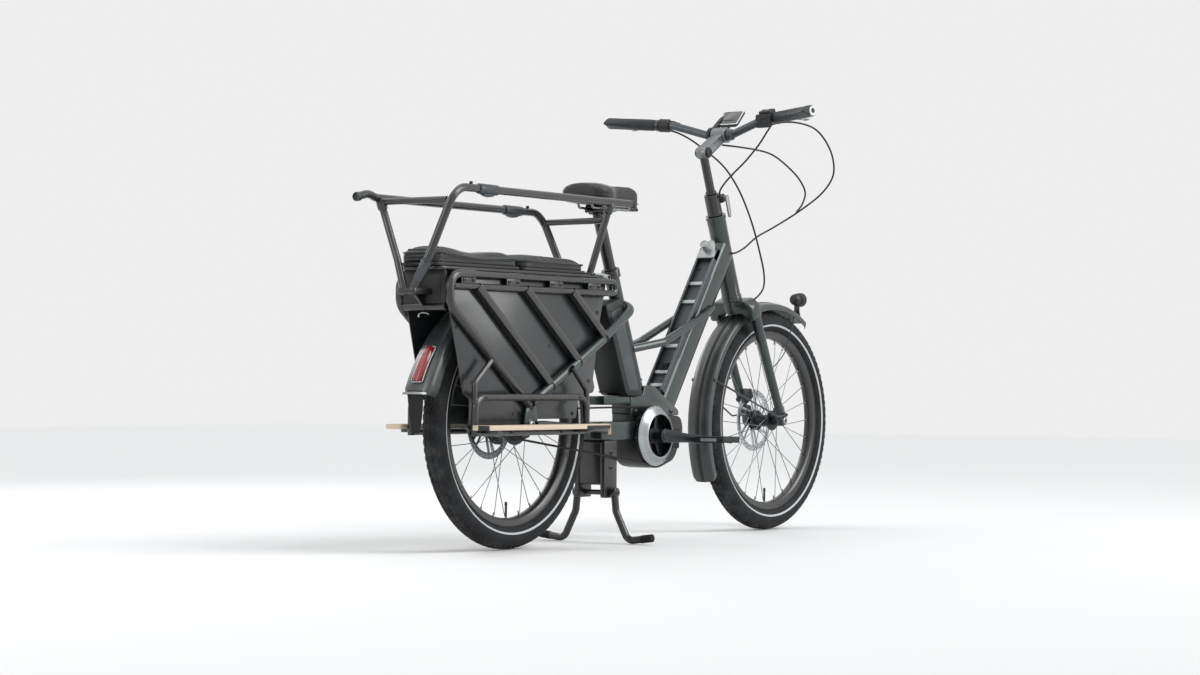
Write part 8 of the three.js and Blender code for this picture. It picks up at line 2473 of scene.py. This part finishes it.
# %% Centre stand
form = Form("stand_bracket")
form.plate(rectangle(362, 120, 420, 271.7, 8, 5), 34.4, 49, 2.4)
form.plate(rectangle(362, 120, 420, 271.7, 8, 5), -49, -34.4, 2.4)
form.plate(rectangle(364, 154.3, 418, 271.7, 6, 5), -40, 40, 2.0)
for side in (-1, 1):
    form.turned([(7.4, 0), (12, 0), (12, 2.2), (11, 3), (7.4, 3)], (392, side * 46.4, 134), (0, side, 0),
                40)
    for z in (200, 240):
        form.bolt((391, side * 49, z), (0, side, 0), 6, 3)
form.done("frame", M["black"], "stand_block", "frame_paint", sharp=38)
form = Form("stand_legs_bent")
form.bar((392, -69, 134), (392, 69, 134), 6.9, 28)
for side in (-1, 1):
    leg_top = 49 + 0.3 + 10
    path = rounded([(392, side * leg_top, 144), (392, side * 66, 84), (392, side * 105, 8),
                    (392, side * 183, 18)], 26)
    form.tube(path, 9.8, 28)
    form.bar((392, side * (leg_top - 10), 134), (392, side * (leg_top + 10), 134), 13.5, 36, edge=1.6)
    form.bolt((392, side * (leg_top + 10), 134), (0, side, 0), 7, 3)
form.done("stand", M["black"], "stand_legs", "black_paint", sharp=50)
form = Form("stand_springs")
for side in (-1, 1):
    coil = []
    for k in range(200):
        a = math.tau * k / 14
        share = k / 199
        coil.append((378 + 4.4 * math.cos(a), side * (30 + 4.4 * math.sin(a)), 148 + share * 88))
    form.tube(coil, 0.9, 6)
form.done("frame", M["steel"], None, "dark_metal")
form = Form("stand_feet")
for side in (-1, 1):
    a, b = Vector((392, side * 150, 13.6)), Vector((392, side * 183, 18))
    form.tube([a, b], 10.6, 28, dome=3.0)
form.done("stand", M["rubber"], "stand_legs", "rubber")
print("seat, rack, boards and stand made")

# %% [markdown]
# ## Floor and light
#
# A pale, even floor and a white surround give the soft daylight of the photo. Lamps alone would
# leave dark reflections on the paint. The surround is brighter for reflections than for shading,
# two suns set the direction, and three softboxes draw the long highlights along the tubes.

# %% Floor
floor_mesh = bpy.data.meshes.new("floor")
size = 14.0
floor_mesh.from_pydata([(-size, -size, 0), (size, -size, 0), (size, size, 0), (-size, size, 0)], [],
                       [(0, 1, 2, 3)])
floor = show("floor", floor_mesh)
floor.location.z = min(cad_bounds[0][2], 0.0) - 0.0006
floor_mesh.materials.append(Paint("floor_pale").set(color="e6e7e8", roughness=0.9).material)
floor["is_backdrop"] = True

# %% Surround
world = bpy.data.worlds.new("studio")
bpy.context.scene.world = world
world.use_nodes = True
tree = world.node_tree
background = tree.nodes["Background"]
background.inputs["Color"].default_value = (1, 1, 1, 1)
path = tree.nodes.new("ShaderNodeLightPath")
seen = Field(tree, path.outputs["Is Camera Ray"]).most(Field(tree, path.outputs["Is Glossy Ray"]))
seen = seen.most(Field(tree, path.outputs["Is Transmission Ray"]))
strength = seen * 0.42 + 0.44
tree.links.new(strength.socket, background.inputs["Strength"])

# %% Lamps
def sun(name, toward, power, spread):
    """Even light over the whole floor, soft as from a wide cloth."""
    data = bpy.data.lights.new(name, "SUN")
    data.energy, data.angle = power, math.radians(spread)
    lamp = show(name, data)
    lamp.rotation_euler = Vector(toward).to_track_quat("-Z", "Y").to_euler()
    print(name, round(data.energy, 2))


def soft_lamp(name, location, target, size, power):
    """A softbox, for the long highlights along the tubes."""
    data = bpy.data.lights.new(name, "AREA")
    data.shape = "RECTANGLE"
    data.size, data.size_y = size
    data.energy = power
    lamp = show(name, data)
    lamp.location = location
    lamp.rotation_euler = (Vector(target) - Vector(location)).to_track_quat("-Z", "Y").to_euler()
    print(name, round(data.energy, 2))


sun("key_sun", (-1.0, 3.4, -3.4), 1.5, 34)
sun("top_sun", (0.4, -0.5, -3.0), 0.75, 70)
soft_lamp("right_box", (1.8, -3.6, 2.0), (0, 0, 0.6), (1.2, 2.6), 46)
soft_lamp("rear_box", (-3.8, 0.9, 2.2), (0, 0, 0.5), (1.0, 1.8), 26)
soft_lamp("rim_box", (0.4, 3.6, 2.4), (0, 0, 0.7), (3.0, 0.8), 36)

# %% [markdown]
# ## The last measure
#
# The box of the dressed bicycle is printed beside the box of the packed one, and the two
# should agree.

# %% Sizes
shown = [list(corner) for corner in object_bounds()]
for label, corners in (("cad", cad_bounds), ("scene", shown)):
    print(label, [[round(c, 4) for c in corner] for corner in corners])
